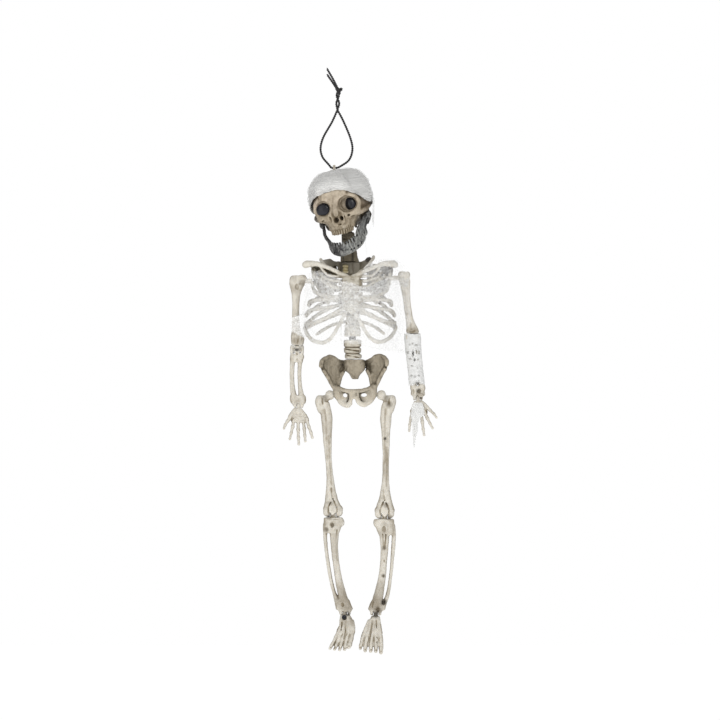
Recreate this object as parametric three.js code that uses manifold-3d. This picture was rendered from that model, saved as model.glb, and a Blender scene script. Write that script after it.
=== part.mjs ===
// Hanging jointed plastic skeleton, about 40 cm tall, dressed in torn gauze and
// hung by a cord loop from an eye on the crown.
// Frame: millimetres, +Z up, the figure faces -Y, its own left side is +X.
// The origin is the centre of the flat top of the hanging eye.
import * as THREE from 'three';
import { mergeVertices } from 'three/addons/utils/BufferGeometryUtils.js';
import Module from 'manifold-3d';

const wasm = await Module();
wasm.setup();
const { lerp, clamp, degToRad } = THREE.MathUtils;

// ---------------------------------------------------------------- driving dimensions
const GAP = 0.35;                 // clearance between neighbouring pieces
const BODY_X = 15.51;             // centre line of the rib cage
const CHEST_Z = -111.38;          // mid height of the rib cage
const SPINE_X = 15.1;
const SPINE_Y = 9;                // depth of the spine
const CHEST_DEPTH = 24;           // sternum to the middle of the rib cage
const BACK_DEPTH = 19;            // back of the rib cage
const RIB_R = 1.15;
const PELVIS_X = 16.75;           // centre line of the pelvis
const LIMB_Y = 2;                 // depth of the arms
const HIP_Y = 1;
const HIP_BALL_R = 4;
const SHOULDER_PEG_R = 1.9;
const WAIST_PEG_R = 2.9;
const NECK_FOOT = { x: 12.21, y: SPINE_Y - 1, r: 3.2 };

const HEAD_CENTRE = [5.61, 0, -28.88];
const HEAD_ROLL = -12.2;          // degrees about Y, crown leaning to the figure's right
const HEAD_YAW = -13;             // degrees about Z, face turned to the figure's right
const CRANIUM = [23.7, 28.0, 24.0];
const SKULL_WALL = 2.2;
const SKULL_SPLIT_Y = -3.3;       // front and rear skull shells meet here
const SKULL_HALF_SEAM = 0.17;     // each shell stops this far from the split
const JAW_AXIS = [0, 1.5, -16.5]; // in the head's own frame
const NOD_AXIS = [0, 6, -19.2];   // in the head's own frame
const SOCKET = { x: 10.5, z: -5 }; // eye sockets, in the head's own frame

const CORD_R = 0.9;
const LUG = { thick: 2.2, wide: 5.4, tall: 5, holeR: 1.3, holeZ: -2.2, shankR: 0.9 };
const DRAPE_THICK = 0.9;

// Pinned joints along X: a round tongue turns in a slot cut through a wider knuckle.
const PIN_R = 1.3;
const NECK = { pinR: PIN_R, pinLength: 12, tongueR: 3.3, tongueWidth: 5.2 };
const ELBOW = {
  pinR: PIN_R, pinLength: 8.8, tongueR: 3.2, tongueWidth: 3.4, knuckleR: 4, knuckleWidth: 9.6,
};
const WRIST = {
  pinR: 0.9, pinLength: 7, tongueR: 2, tongueWidth: 2.6, knuckleR: 2.6, knuckleWidth: 7.4,
};
const KNEE = {
  pinR: PIN_R, pinLength: 14, tongueR: 3.3, tongueWidth: 4.6, knuckleR: 4.6, knuckleWidth: 15,
};
const ANKLE = {
  pinR: 1.1, pinLength: 8.6, tongueR: 2.4, tongueWidth: 3.4, knuckleR: 3.2, knuckleWidth: 9,
};

// Joint centres [x, y, z] on the figure's right and left.
const JOINTS = {
  r: {
    shoulder: [-28.21, LIMB_Y, -95.7], elbow: [-30.69, LIMB_Y, -152.21],
    wrist: [-29.45, LIMB_Y, -197.59], hip: [-3.46, HIP_Y, -189.75],
    knee: [-0.99, 0, -285.45], ankle: [8.91, 0.5, -367.95],
  },
  l: {
    shoulder: [56.76, LIMB_Y, -93.22], elbow: [64.6, LIMB_Y, -142.31],
    wrist: [69.14, LIMB_Y, -191.4], hip: [38.86, HIP_Y, -189.75],
    knee: [41.5, 0, -286.69], ankle: [34.32, 0.5, -368.36],
  },
};

const FINISH = {
  lug: { color: 0xb9ac93, roughness: 0.5 },
  skull: { color: 0xb9ac93, roughness: 0.65 },
  bone: { color: 0xb9ac93, roughness: 0.7 },
  neck: { color: 0x8f836c, roughness: 0.7 },
  torso: { color: 0x8f836c, roughness: 0.75 },
  shoulderPeg: { color: 0x8f836c, roughness: 0.6 },
  jaw: { color: 0x6f6f6c, roughness: 0.6 },
  gauze: { color: 0xe6e6e2, roughness: 0.95 },
  eyeDisc: { color: 0x17161b, roughness: 0.15 },
  cord: { color: 0x141414, roughness: 0.8 },
  pin: { color: 0x4b4436, roughness: 0.5 },
  waistPeg: { color: 0x4b4436, roughness: 0.6 },
};

// ---------------------------------------------------------------- solids and meshes
// A welded, outward-facing manifold solid from a three.js geometry.
function solid(source) {
  source.deleteAttribute('normal');
  source.deleteAttribute('uv');
  const welded = mergeVertices(source, 1e-4);
  const positions = welded.attributes.position;
  const corner = (index) => new THREE.Vector3().fromBufferAttribute(positions, index);
  const index = welded.index.array;
  const triangles = [];
  let volume = 0;
  for (let i = 0; i < index.length; i += 3) {
    const [first, second, third] = index.slice(i, i + 3);
    if (first === second || second === third || first === third) continue;
    triangles.push([first, second, third]);
    volume += corner(first).dot(corner(second).cross(corner(third)));
  }
  if (volume < 0) {
    for (const triangle of triangles) {
      [triangle[1], triangle[2]] = [triangle[2], triangle[1]];
    }
  }
  return new wasm.Manifold(new wasm.Mesh({
    numProp: 3,
    vertProperties: Float32Array.from(positions.array),
    triVerts: Uint32Array.from(triangles.flat()),
  }));
}
const join = (...parts) => parts.reduce((sum, part) => sum.add(part));
const cut = (body, ...tools) => tools.reduce((rest, tool) => rest.subtract(tool), body);

function geometryOf(manifold) {
  const mesh = manifold.simplify(0.02).getMesh();
  const geometry = new THREE.BufferGeometry();
  const positions = Float32Array.from(mesh.vertProperties);
  geometry.setAttribute('position', new THREE.BufferAttribute(positions, 3));
  geometry.setIndex(new THREE.BufferAttribute(Uint32Array.from(mesh.triVerts), 1));
  geometry.computeVertexNormals();
  return geometry;
}

const group = new THREE.Group();
function add(name, manifold, finish) {
  // when only one body is larger than a sliver, the slivers beside it are dropped
  const bodies = manifold.decompose().filter((body) => body.volume() > 0.05);
  const geometry = geometryOf(bodies.length === 1 ? bodies[0] : manifold);
  const mesh = new THREE.Mesh(geometry, new THREE.MeshStandardMaterial(finish));
  mesh.name = name;
  group.add(mesh);
}

// ---------------------------------------------------------------- shapes
const box = (centre, size) => solid(new THREE.BoxGeometry(...size).translate(...centre));

function ball(centre, radii, seg = 10) {
  const geometry = new THREE.SphereGeometry(1, seg, Math.max(5, Math.round(seg * 0.6)));
  return solid(geometry.rotateX(Math.PI / 2).scale(...radii).translate(...centre));
}

// Cylinder about a line parallel to X, Y or Z.
function rod(axis, centre, r, length, seg) {
  const geometry = new THREE.CylinderGeometry(r, r, length, seg);
  if (axis === 'x') geometry.rotateZ(-Math.PI / 2);
  if (axis === 'z') geometry.rotateX(Math.PI / 2);
  return solid(geometry.translate(...centre));
}

// Moves every vertex of a unit geometry to place(x, y, z).
function reshape(geometry, place) {
  const positions = geometry.attributes.position;
  for (let i = 0; i < positions.count; i++) {
    const point = [positions.getX(i), positions.getY(i), positions.getZ(i)];
    positions.setXYZ(i, ...place(...point));
  }
  return solid(geometry);
}

// Upright bone: level rings [x, y, z, x radius, y radius] from the top down.
function bone(rings, seg = 8) {
  const last = rings.length - 1;
  return reshape(new THREE.CylinderGeometry(1, 1, 1, seg, last), (unitX, unitY, unitZ) => {
    const [x, y, z, radiusX, radiusY] = rings[Math.round((0.5 - unitY) * last)];
    return [x + unitX * radiusX, y - unitZ * radiusY, z];
  });
}

// Curved bar: stations [x, y, z, half size along ref, half size across it],
// with a number of steps between neighbouring stations.
function bar(stations, { ref = [0, 0, 1], seg = 6, steps = 2 } = {}) {
  const centres = stations.map(([x, y, z]) => new THREE.Vector3(x, y, z));
  const curve = new THREE.CatmullRomCurve3(centres, false, 'centripetal');
  const spans = stations.length - 1;
  const rows = spans * steps;
  const up = new THREE.Vector3(...ref);
  return reshape(new THREE.CylinderGeometry(1, 1, 1, seg, rows), (unitX, unitY, unitZ) => {
    const t = Math.round((0.5 - unitY) * rows) / rows;
    const tangent = curve.getTangent(t);
    const along = up.clone().addScaledVector(tangent, -up.dot(tangent)).normalize();
    const across = new THREE.Vector3().crossVectors(tangent, along);
    const k = Math.min(Math.floor(t * spans), spans - 1);
    const size = (column) => lerp(stations[k][column], stations[k + 1][column], t * spans - k);
    return curve.getPoint(t)
      .addScaledVector(along, unitX * size(3))
      .addScaledVector(across, unitZ * size(4))
      .toArray();
  });
}

// Thin curved sheet: at(u, v) gives [x, y, z], thickness grows towards -Y.
function sheet(at, columns, rows, thick) {
  const geometry = new THREE.BoxGeometry(1, 1, 1, columns, 1, rows);
  return reshape(geometry, (unitX, unitY, unitZ) => {
    const [x, y, z] = at(unitX + 0.5, unitZ + 0.5);
    return [x, y - (0.5 - unitY) * thick, z];
  });
}

// Flat plate between two depths, cut from an outline of [x, z] points.
function plate(outline, frontY, backY, holes = []) {
  const wind = (points, clockwise) => {
    const path = points.map(([x, z]) => new THREE.Vector2(x, z));
    return THREE.ShapeUtils.isClockWise(path) === clockwise ? path : path.reverse();
  };
  const shape = new THREE.Shape(wind(outline, false));
  for (const hole of holes) shape.holes.push(new THREE.Path(wind(hole, true)));
  const depth = backY - frontY;
  const geometry = new THREE.ExtrudeGeometry(shape, { depth, bevelEnabled: false });
  return solid(geometry.rotateX(Math.PI / 2).translate(0, backY, 0));
}

// ---------------------------------------------------------------- placing
const SIDES = [[-1, 'r'], [1, 'l']];
const bothSides = (make) => SIDES.map(([side]) => make(side));
const shift = ([x, y, z], dx, dy, dz) => [x + dx, y + dy, z + dz];
// Points drawn for the figure's left; side -1 reflects them in the plane x = centreX.
const reflect = (side, centreX, points) =>
  points.map(([x, ...rest]) => [centreX + side * (x - centreX), ...rest]);
// Rows [x, z, size, size] set at one depth.
const atDepth = (y, rows) => rows.map(([x, ...rest]) => [x, y, ...rest]);

// Linear interpolation in rows [key, value], held constant beyond both ends.
function lookUp(table, key) {
  const found = table.findIndex(([end], i) => i > 0 && key <= end);
  const i = found < 0 ? table.length - 1 : found;
  const [startKey, startValue] = table[i - 1];
  const [endKey, endValue] = table[i];
  const fraction = clamp((key - startKey) / (endKey - startKey), 0, 1);
  return startValue + fraction * (endValue - startValue);
}

const headMatrix = new THREE.Matrix4()
  .makeTranslation(...HEAD_CENTRE)
  .multiply(new THREE.Matrix4().makeRotationY(degToRad(HEAD_ROLL)))
  .multiply(new THREE.Matrix4().makeRotationZ(degToRad(HEAD_YAW)));
const headToWorld = (manifold) => solid(geometryOf(manifold).applyMatrix4(headMatrix));

const tongue = (joint, centre, seg) => rod('x', centre, joint.tongueR, joint.tongueWidth, seg);
const knuckle = (joint, centre, seg) =>
  rod('x', centre, joint.knuckleR, joint.knuckleWidth, seg);
const pin = (joint, centre) => rod('x', centre, joint.pinR, joint.pinLength, 12);
const pinHole = (joint, centre) => rod('x', centre, joint.pinR + GAP, 20, 8);
const slotWidth = (joint) => joint.tongueWidth + 2 * GAP;

// ---------------------------------------------------------------- hanging eye and cord
// Flat-topped lug with a cross hole and a shank into the skull.
function hangEye() {
  const lug = cut(
    box([0, 0, -LUG.tall / 2], [LUG.thick, LUG.wide, LUG.tall]),
    rod('x', [0, 0, LUG.holeZ], LUG.holeR, 6, 12));
  return join(lug, rod('z', [0, 0, -7.2], LUG.shankR, 5.2, 10));
}
const lugSlot = (z, height) => box([0, 0, z], [LUG.thick + 2 * GAP, LUG.wide + 2 * GAP, height]);

// Teardrop loop through the eye, tied at its apex, then two strands up to a knot
// and two free tails.
function hangCord() {
  // centre lines [x, y, z]
  const loop = [
    [2.81, 0.9, 45.79], [-1.81, 0.9, 35.48], [-8.83, 0.5, 23.1],
    [-11.22, 0, 14.02], [-9.65, 0, 6.6], [-4.7, 0, 0.58],
    [-2.2, 0, LUG.holeZ - 0.02], [0, 0, LUG.holeZ], [2.2, 0, LUG.holeZ - 0.02],
    [5.2, 0, -1.07], [12.21, 0, 4.12], [15.01, 0, 12.38],
    [13.45, -0.4, 21.86], [7.67, -0.9, 35.89], [2.47, -0.9, 45.79],
  ];
  const strands = [
    [[2.81, 0.8, 44.96], [1.81, -0.35, 51.15], [3.8, -0.42, 56.76], [3.96, 0, 61.88]],
    [[2.47, -0.8, 44.96], [4.12, 0.4, 50.9], [2.06, 0.38, 57.09], [3.55, 0, 61.88]],
  ];
  const tails = [
    [[3.14, -0.8, 62.7], [-0.58, -1.2, 70.12], [-5.69, -1, 78.79]],
    [[2.72, 1.6, 61.88], [-0.99, 1.4, 67.65], [-5.44, 1, 73.92]],
  ];
  const cord = (points) =>
    bar(points.map((point) => [...point, CORD_R, CORD_R]), { ref: [0, 1, 0] });
  const knot = ball([3.96, 0, 61.38], [3.6, 3.2, 3.9], 12);
  const apex = ball([2.64, 0, 45.46], [1.6, 1.9, 1.6], 8);
  return join(cord(loop), ...strands.map(cord), knot, apex, ...tails.map(cord));
}

add('hang_eye', hangEye(), FINISH.lug);
add('hang_cord', hangCord(), FINISH.cord);

// ---------------------------------------------------------------- skull (head's own frame)
const craniumInner = ball([0, 0, 0], CRANIUM.map((radius) => radius - SKULL_WALL), 14);
const cranium = cut(ball([0, 0, 0], CRANIUM, 18), craniumInner);
const jawHole = () => rod('x', JAW_AXIS, PIN_R + GAP, 60, 12);

// Rear shell: back of the cranium, mastoids, cheeks for the neck pin and jaw pin blocks.
function skullRear() {
  const body = join(cranium,
    ...bothSides((side) => ball([side * 16, 8, -17.5], [4, 4.5, 6])),
    ...bothSides((side) => box([side * 4.9, NOD_AXIS[1], -18.6], [2.8, 8, 9])),
    ...bothSides((side) => box([side * 16.2, JAW_AXIS[1], -15.5], [2.2, 9, 7])));
  const rear = cut(body,
    box([0, SKULL_SPLIT_Y + SKULL_HALF_SEAM - 40, 0], [80, 80, 80]),
    ...bothSides((side) => box([side * 22.2, 0, -19.5], [8.4, 15, 16])),   // jaw recesses
    box([0, NOD_AXIS[1], -22], [2 * (2.7 + GAP), 15, 14]),                 // neck slot
    pinHole(NECK, NOD_AXIS),
    jawHole());
  return cut(headToWorld(rear),
    rod('z', [0, 0, -7], LUG.shankR + GAP, 8, 10),
    lugSlot(-2.8, 5.2 + 2 * GAP));
}

// Front shell: forehead, brows, eye sockets, nose, cheekbones and upper jaw.
function skullFace() {
  const upperJaw = [
    [0, -16.5, -14, 10.8, 8.8], [0, -17.2, -21, 9.8, 8.6],
    [0, -17.6, -25.2, 9.2, 8.6], [0, -17.6, -28.9, 8.7, 8.4],
  ];
  const cheekbone = [
    [10.5, -22.5, -13.2, 3.2, 2.4], [17, -17.5, -13.2, 2.6, 1.9],
    [21.3, -10, -11.6, 2.0, 1.5], [22.6, -3, -9.8, 1.9, 1.4],
  ];
  const body = join(cranium,
    ball([0, -17, -14], [12.5, 9, 12], 14),
    bone(upperJaw, 14),
    ...bothSides((side) => ball([side * SOCKET.x, -19.5, SOCKET.z], [8.9, 6.8, 8.3], 12)),
    ...bothSides((side) => bar(reflect(side, 0, cheekbone), { steps: 3 })),
    ball([0, -25.4, -10], [2.6, 2.6, 5.5], 8));
  return headToWorld(cut(body,
    craniumInner,
    box([0, SKULL_SPLIT_Y - SKULL_HALF_SEAM + 40, 0], [80, 80, 80]),
    ...bothSides((side) => ball([side * SOCKET.x, -25, SOCKET.z], [6.4, 11, 5.8], 12)),
    // nostrils
    ball([-2.5, -27, -15.8], [1.5, 4, 2.9], 8),
    ball([2.5, -27, -15.3], [1.5, 4, 2.9], 8),
    // hollow under the upper jaw, and the lower edge trimmed beside the split
    ball([0, -14.5, -30], [6.6, 8.2, 8], 12),
    box([0, -6, -30], [13.2, 14, 16]),
    box([0, -3, -28.5], [80, 6.4, 21])));
}

// Lower jaw: two upright rami running into a bent body, with round hinge discs.
function lowerJaw() {
  const half = [
    [20, 1.0, -17, 3.6, 1.25], [19.2, -1.0, -24, 4.2, 1.4], [17, -5.5, -32.5, 4.4, 1.6],
    [13, -13.5, -38.2, 4.4, 1.7], [6.5, -21, -40.6, 4.6, 1.9], [0, -23, -40.9, 4.8, 2.1],
  ];
  const body = join(
    ...bothSides((side) => bar(reflect(side, 0, half), { ref: [0, -0.35, 0.6] })),
    ...bothSides((side) => rod('x', shift(JAW_AXIS, side * 20.2, 0, 0), 3.2, 2.6, 10)),
    ball([0, -23.2, -43.5], [6.5, 2.6, 2.4]));
  return headToWorld(cut(body, jawHole()));
}

add('skull_rear', skullRear(), FINISH.skull);
add('skull_face', skullFace(), FINISH.skull);
// Glossy black discs that close the eye sockets from inside.
for (const [side, tag] of SIDES) {
  const disc = rod('y', [side * SOCKET.x, -13.8, SOCKET.z], 5.1, 2, 16);
  add('eye_' + tag, headToWorld(disc), FINISH.eyeDisc);
}
add('jaw', lowerJaw(), FINISH.jaw);
for (const [side, tag] of SIDES) {
  const jawPin = rod('x', shift(JAW_AXIS, side * 19.1, 0, 0), PIN_R, 6.4, 12);
  add('jaw_pin_' + tag, headToWorld(jawPin), FINISH.pin);
}
add('neck_pin', headToWorld(pin(NECK, NOD_AXIS)), FINISH.pin);

// ---------------------------------------------------------------- neck post
function neckPost() {
  const post = [
    [11.22, 6, -54.86, 3.6, 3.6], [11.39, 6, -56.51, 5.4, 4.2], [11.71, 6.3, -66, 5.4, 4.4],
    [12.05, 7, -71.77, 6.6, 5], [NECK_FOOT.x, NECK_FOOT.y, -79.53, 7, 5.4],
  ];
  const top = join(
    tongue(NECK, NOD_AXIS, 16),
    box(shift(NOD_AXIS, 0, 0, -5), [NECK.tongueWidth, 6, 9]));
  const foot = rod('z', [NECK_FOOT.x, NECK_FOOT.y, -85.39], NECK_FOOT.r, 12, 14);
  return cut(join(headToWorld(top), bone(post, 12), foot),
    headToWorld(pinHole(NECK, NOD_AXIS)));
}

add('neck_post', neckPost(), FINISH.neck);

// ---------------------------------------------------------------- rib cage
// Front and rear shells meet at the side seam, y = 0.
// Ribs of the figure's left side, [x, z] from the middle out to the side seam.
const FRONT_RIBS = [
  [[20.46, -101.89], [26.24, -100.24], [33.66, -96.94], [41.09, -92.4]],
  [[20.46, -109.31], [27.89, -109.31], [36.14, -107.25], [41.91, -103.95], [44.39, -98.17]],
  [[20.46, -112.61], [29.54, -111.38], [38.61, -111.13], [44.39, -112.03], [46.86, -114.67]],
  [[20.46, -115.5], [29.54, -116.74], [38.61, -118.8], [46.04, -120.45], [49.34, -123.75]],
  [[18.81, -119.62], [29.54, -124.57], [38.61, -127.88], [46.04, -129.11], [49.34, -130.35]],
  [[17.16, -122.1], [22.94, -133.65], [28.71, -141.9], [35.31, -146.03], [42.74, -144.38],
    [47.69, -139.42], [50.16, -134.89]],
];
const REAR_RIBS = [
  [[18.81, -84.97], [27.89, -84.15], [36.96, -86.62], [41.09, -92.4]],
  [[18.81, -94.05], [26.24, -95.29], [37.79, -95.7], [44.39, -98.17]],
  [[18.81, -101.47], [26.24, -102.71], [36.96, -106.42], [46.86, -114.67]],
  [[18.81, -108.07], [26.24, -109.31], [38.61, -115.09], [49.34, -123.75]],
  [[18.81, -113.85], [26.24, -115.5], [39.44, -122.51], [49.34, -130.35]],
  [[18.81, -121.27], [26.24, -122.51], [39.44, -128.7], [50.16, -134.89]],
  [[18.81, -128.7], [26.24, -130.35], [35.31, -135.3], [41.91, -141.07]],
];

// Left and right bars of one rib, bent round an ellipse; depth is negative at the front.
// innerY, where given, replaces the depth of the innermost station.
function ribPair(points, depth, innerY) {
  const halfWidth = points.at(-1)[0] - BODY_X + 0.4;
  const stations = points.map(([x, z], i) => {
    const onEllipse = depth * Math.sqrt(Math.max(0, 1 - ((x - BODY_X) / halfWidth) ** 2));
    const y = i === 0 ? innerY ?? onEllipse : onEllipse;
    return [x, y, z, RIB_R, RIB_R * 0.9];
  });
  return bothSides((side) => bar(reflect(side, BODY_X, stations), { seg: 5 }));
}

function ribcageFront() {
  const sternum = [
    [13.45, -CHEST_DEPTH + 3.2, -89.1, 9, 1.6], [13.45, -CHEST_DEPTH + 1.6, -91.99, 7.2, 1.7],
    [13.86, -CHEST_DEPTH + 1, -103.12, 7.6, 1.7], [14.27, -CHEST_DEPTH + 1, -113.85, 7.2, 1.7],
    [14.69, -CHEST_DEPTH + 1.4, -122.92, 3, 1.4],
  ];
  // collar bone, then the thinner bar from the sternum back to the side seam
  const collar = [
    [22.51, -CHEST_DEPTH + 2.5, -89.1, 1.8, 1.6], [33.51, -CHEST_DEPTH + 6.5, -84.15, 1.7, 1.6],
    [42.51, -14, -81.67, 1.7, 1.6], [49.11, -8, -80.52, 2.0, 2.0],
  ];
  const topBar = [
    [21.51, -CHEST_DEPTH + 3, -87.86, 1.2, 1.1], [26.51, -17.5, -83.32, 1.2, 1.1],
    [31.01, -9, -78.79, 1.3, 1.2], [32.51, -0.4, -79.2, 1.3, 1.2],
  ];
  const body = join(bone(sternum),
    ...bothSides((side) => join(
      bar(reflect(side, BODY_X, collar)), bar(reflect(side, BODY_X, topBar)))),
    ...FRONT_RIBS.flatMap((points) => ribPair(points, -CHEST_DEPTH)));
  return cut(body, box([BODY_X, 20 - GAP / 2, CHEST_Z], [120, 40, 120]));
}

// Shoulder blade with two bars to the shoulder and a third joining their ends.
function scapula(side) {
  const blade = [
    [28.71, -80.02], [41.09, -82.5], [46.86, -84.97], [46.04, -91.57],
    [42.74, -103.12], [34.49, -112.2], [27.89, -99.82],
  ];
  const upper = [
    [31.51, 13, -87.45, 1.5, 1.4], [42.51, 10, -84.97, 1.6, 1.5], [46.91, 4, -86.62, 2.2, 2.0],
  ];
  const lower = [
    [42.51, 13, -98.17, 1.6, 1.4], [45.11, 7.5, -94.05, 1.8, 1.6],
    [45.31, 2.2, -92.4, 2.0, 1.8],
  ];
  const link = [
    [46.91, 4.6, -86.62, 2.0, 2.0], [45.31, 2.2, -92.4, 2.2, 2.0],
    [45.31, 2.2, -97.35, 2.2, 2.0],
  ];
  return join(
    plate(reflect(side, BODY_X, blade), 12, 14.4),
    bar(reflect(side, BODY_X, upper)),
    bar(reflect(side, BODY_X, lower)),
    bar(reflect(side, BODY_X, link), { ref: [0, 1, 0] }));
}

function ribcageRear() {
  const spine = [
    [14.69, SPINE_Y + 3, -80.85, 6.2, 5.2], [SPINE_X, SPINE_Y + 6, -111.38, 5.2, 5],
    [SPINE_X, SPINE_Y + 4, -126.22, 5.6, 5.6], [SPINE_X, SPINE_Y, -134.47, 7, 6.2],
    [SPINE_X, SPINE_Y, -141.32, 7, 6.2],
  ];
  const topOutline = [
    [-10.48, -78.38], [-3.46, -77.14], [2.31, -79.61], [22.11, -79.61], [26.24, -76.31],
    [29.54, -76.72], [28.71, -84.97], [21.29, -89.92], [8.09, -89.92], [-10.06, -86.62],
  ];
  const topHole = [[-0.16, -83.57], [1.81, -83.57], [1.98, -85.8], [0, -85.96]];
  const neckBlock = [[4.79, -80.02], [19.64, -80.02], [19.64, -89.92], [4.79, -89.92]];
  const body = join(bone(spine, 10),
    plate(topOutline, 8, 11.5, [topHole]),
    ...bothSides(scapula),
    ...REAR_RIBS.flatMap((points) => ribPair(points, BACK_DEPTH, SPINE_Y + 4.5)),
    plate(neckBlock, 3, 12));
  const shoulderHole = (centre) => rod('x', centre, SHOULDER_PEG_R + GAP, 18, 12);
  return cut(body,
    // flat landing on the back of the spine
    box([SPINE_X, SPINE_Y + 20.4, CHEST_Z], [12, 20, 44]),
    box([BODY_X, -20 + GAP / 2, CHEST_Z], [120, 40, 120]),
    rod('z', [NECK_FOOT.x, NECK_FOOT.y, -83.02], NECK_FOOT.r + GAP, 21, 14),
    rod('z', [SPINE_X, SPINE_Y, -138.6], WAIST_PEG_R + GAP, 16, 14),
    shoulderHole(shift(JOINTS.r.shoulder, 5, 0, 0)),
    shoulderHole(shift(JOINTS.l.shoulder, -6, 0, 0)));
}

const shoulderPeg = (tag, x, length) =>
  rod('x', [x, LIMB_Y, JOINTS[tag].shoulder[2]], SHOULDER_PEG_R, length, 12);

add('ribcage_front', ribcageFront(), FINISH.torso);
add('ribcage_rear', ribcageRear(), FINISH.torso);
add('waist_peg', rod('z', [SPINE_X, SPINE_Y, -142.89], WAIST_PEG_R, 15, 14), FINISH.waistPeg);
add('shoulder_peg_r', shoulderPeg('r', -25.33, 14.6), FINISH.shoulderPeg);
add('shoulder_peg_l', shoulderPeg('l', 50.57, 17.5), FINISH.shoulderPeg);

// ---------------------------------------------------------------- lumbar spine and pelvis
function lumbarSpine() {
  const rings = atDepth(SPINE_Y, [
    [SPINE_X, -144.54, 7, 6.2], [SPINE_X, -149.32, 7, 6.2], [SPINE_X, -150.31, 6, 5.4],
    [SPINE_X, -151.3, 7, 6.2], [SPINE_X, -154.6, 7, 6.2], [15.26, -155.43, 5.9, 5.4],
    [15.51, -156.42, 6.8, 6.2], [15.92, -159.72, 6.6, 6],
  ]);
  return cut(bone(rings, 10), rod('z', [SPINE_X, SPINE_Y, -145.2], WAIST_PEG_R + GAP, 14, 14));
}

// Hip blade: u runs from the sacrum outward, v from the crest down to the hip socket.
function hipBlade(side) {
  // rows [u, value]
  const crestZ = [
    [0, -162.11], [0.25, -161.7], [0.55, -158.81], [0.72, -157.25], [0.9, -158.81],
    [1, -160.88],
  ];
  const lowerZ = [
    [0, -170.77], [0.2, -178.2], [0.35, -186.45], [0.6, -185.62], [0.8, -176.55],
    [1, -165.82],
  ];
  const crestX = [[0, 21.7], [0.3, 28.71], [0.6, 34.9], [1, 44.06]];
  const crestY = [[0, 11], [0.3, 8.5], [0.6, 3], [1, -7]];
  const bulgeY = [[0, 0], [0.5, -4], [1, 2]];
  const LEAN_X = -8.613;   // inward shift of the outer lower corner
  return sheet((u, v) => {
    const x = lookUp(crestX, u) + LEAN_X * u * v;
    const y = lookUp(crestY, u) + v * lookUp(bulgeY, u);
    const z = lerp(lookUp(crestZ, u), lookUp(lowerZ, u), v);
    return reflect(side, PELVIS_X, [[x, y, z]])[0];
  }, 6, 4, 3);
}

function halfPelvis(side) {
  const socket = [30.52, -1, -188.1];
  const upperLoop = [
    [30.36, -3, -183.15, 2.4, 2.4], [24.59, -9, -184.63, 1.9, 1.9],
    [16.5, -12, -186.95, 2.2, 2.0],
  ];
  const lowerLoop = [
    [16.5, -12, -186.95, 2.6, 2.2], [18.31, -10.5, -192.22, 2.2, 2.2],
    [22.52, -6.5, -197.84, 2.2, 2.2], [27.06, -1.5, -196.35, 2.2, 2.4],
    [30.77, 0, -190.57, 2.8, 2.8],
  ];
  return join(hipBlade(side),
    ball(reflect(side, PELVIS_X, [socket])[0], [4.6, 6.2, 6.0], 12),
    bar(reflect(side, PELVIS_X, upperLoop), { steps: 3 }),
    bar(reflect(side, PELVIS_X, lowerLoop), { ref: [0, 1, 0], steps: 3 }));
}

function pelvis() {
  const sacrum = [
    [16.75, SPINE_Y, -160.21, 8.6, 6], [16.75, SPINE_Y + 0.6, -164.17, 8.6, 5.6],
    [17, SPINE_Y + 2, -169.95, 7.6, 4.4], [17.16, SPINE_Y + 2.6, -174.07, 4, 3],
    [17.32, SPINE_Y + 2, -177.38, 2.4, 2],
  ];
  const socketR = HIP_BALL_R + GAP;
  const hips = SIDES.map(([side, tag]) => [side, JOINTS[tag].hip]);
  return cut(join(bone(sacrum, 10), ...bothSides(halfPelvis)),
    ...hips.map(([, hip]) => ball(hip, [socketR, socketR, socketR], 14)),
    ...hips.map(([side, hip]) => rod('x', shift(hip, -side * 7, 0, 0), PIN_R + GAP, 14, 12)));
}

add('lumbar_spine', lumbarSpine(), FINISH.bone);
add('pelvis', pelvis(), FINISH.torso);
for (const [side, tag] of SIDES) {
  const centre = shift(JOINTS[tag].hip, -side * 2.6, 0, 0);
  add('hip_pin_' + tag, rod('x', centre, PIN_R, 10, 12), FINISH.pin);
}

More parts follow.
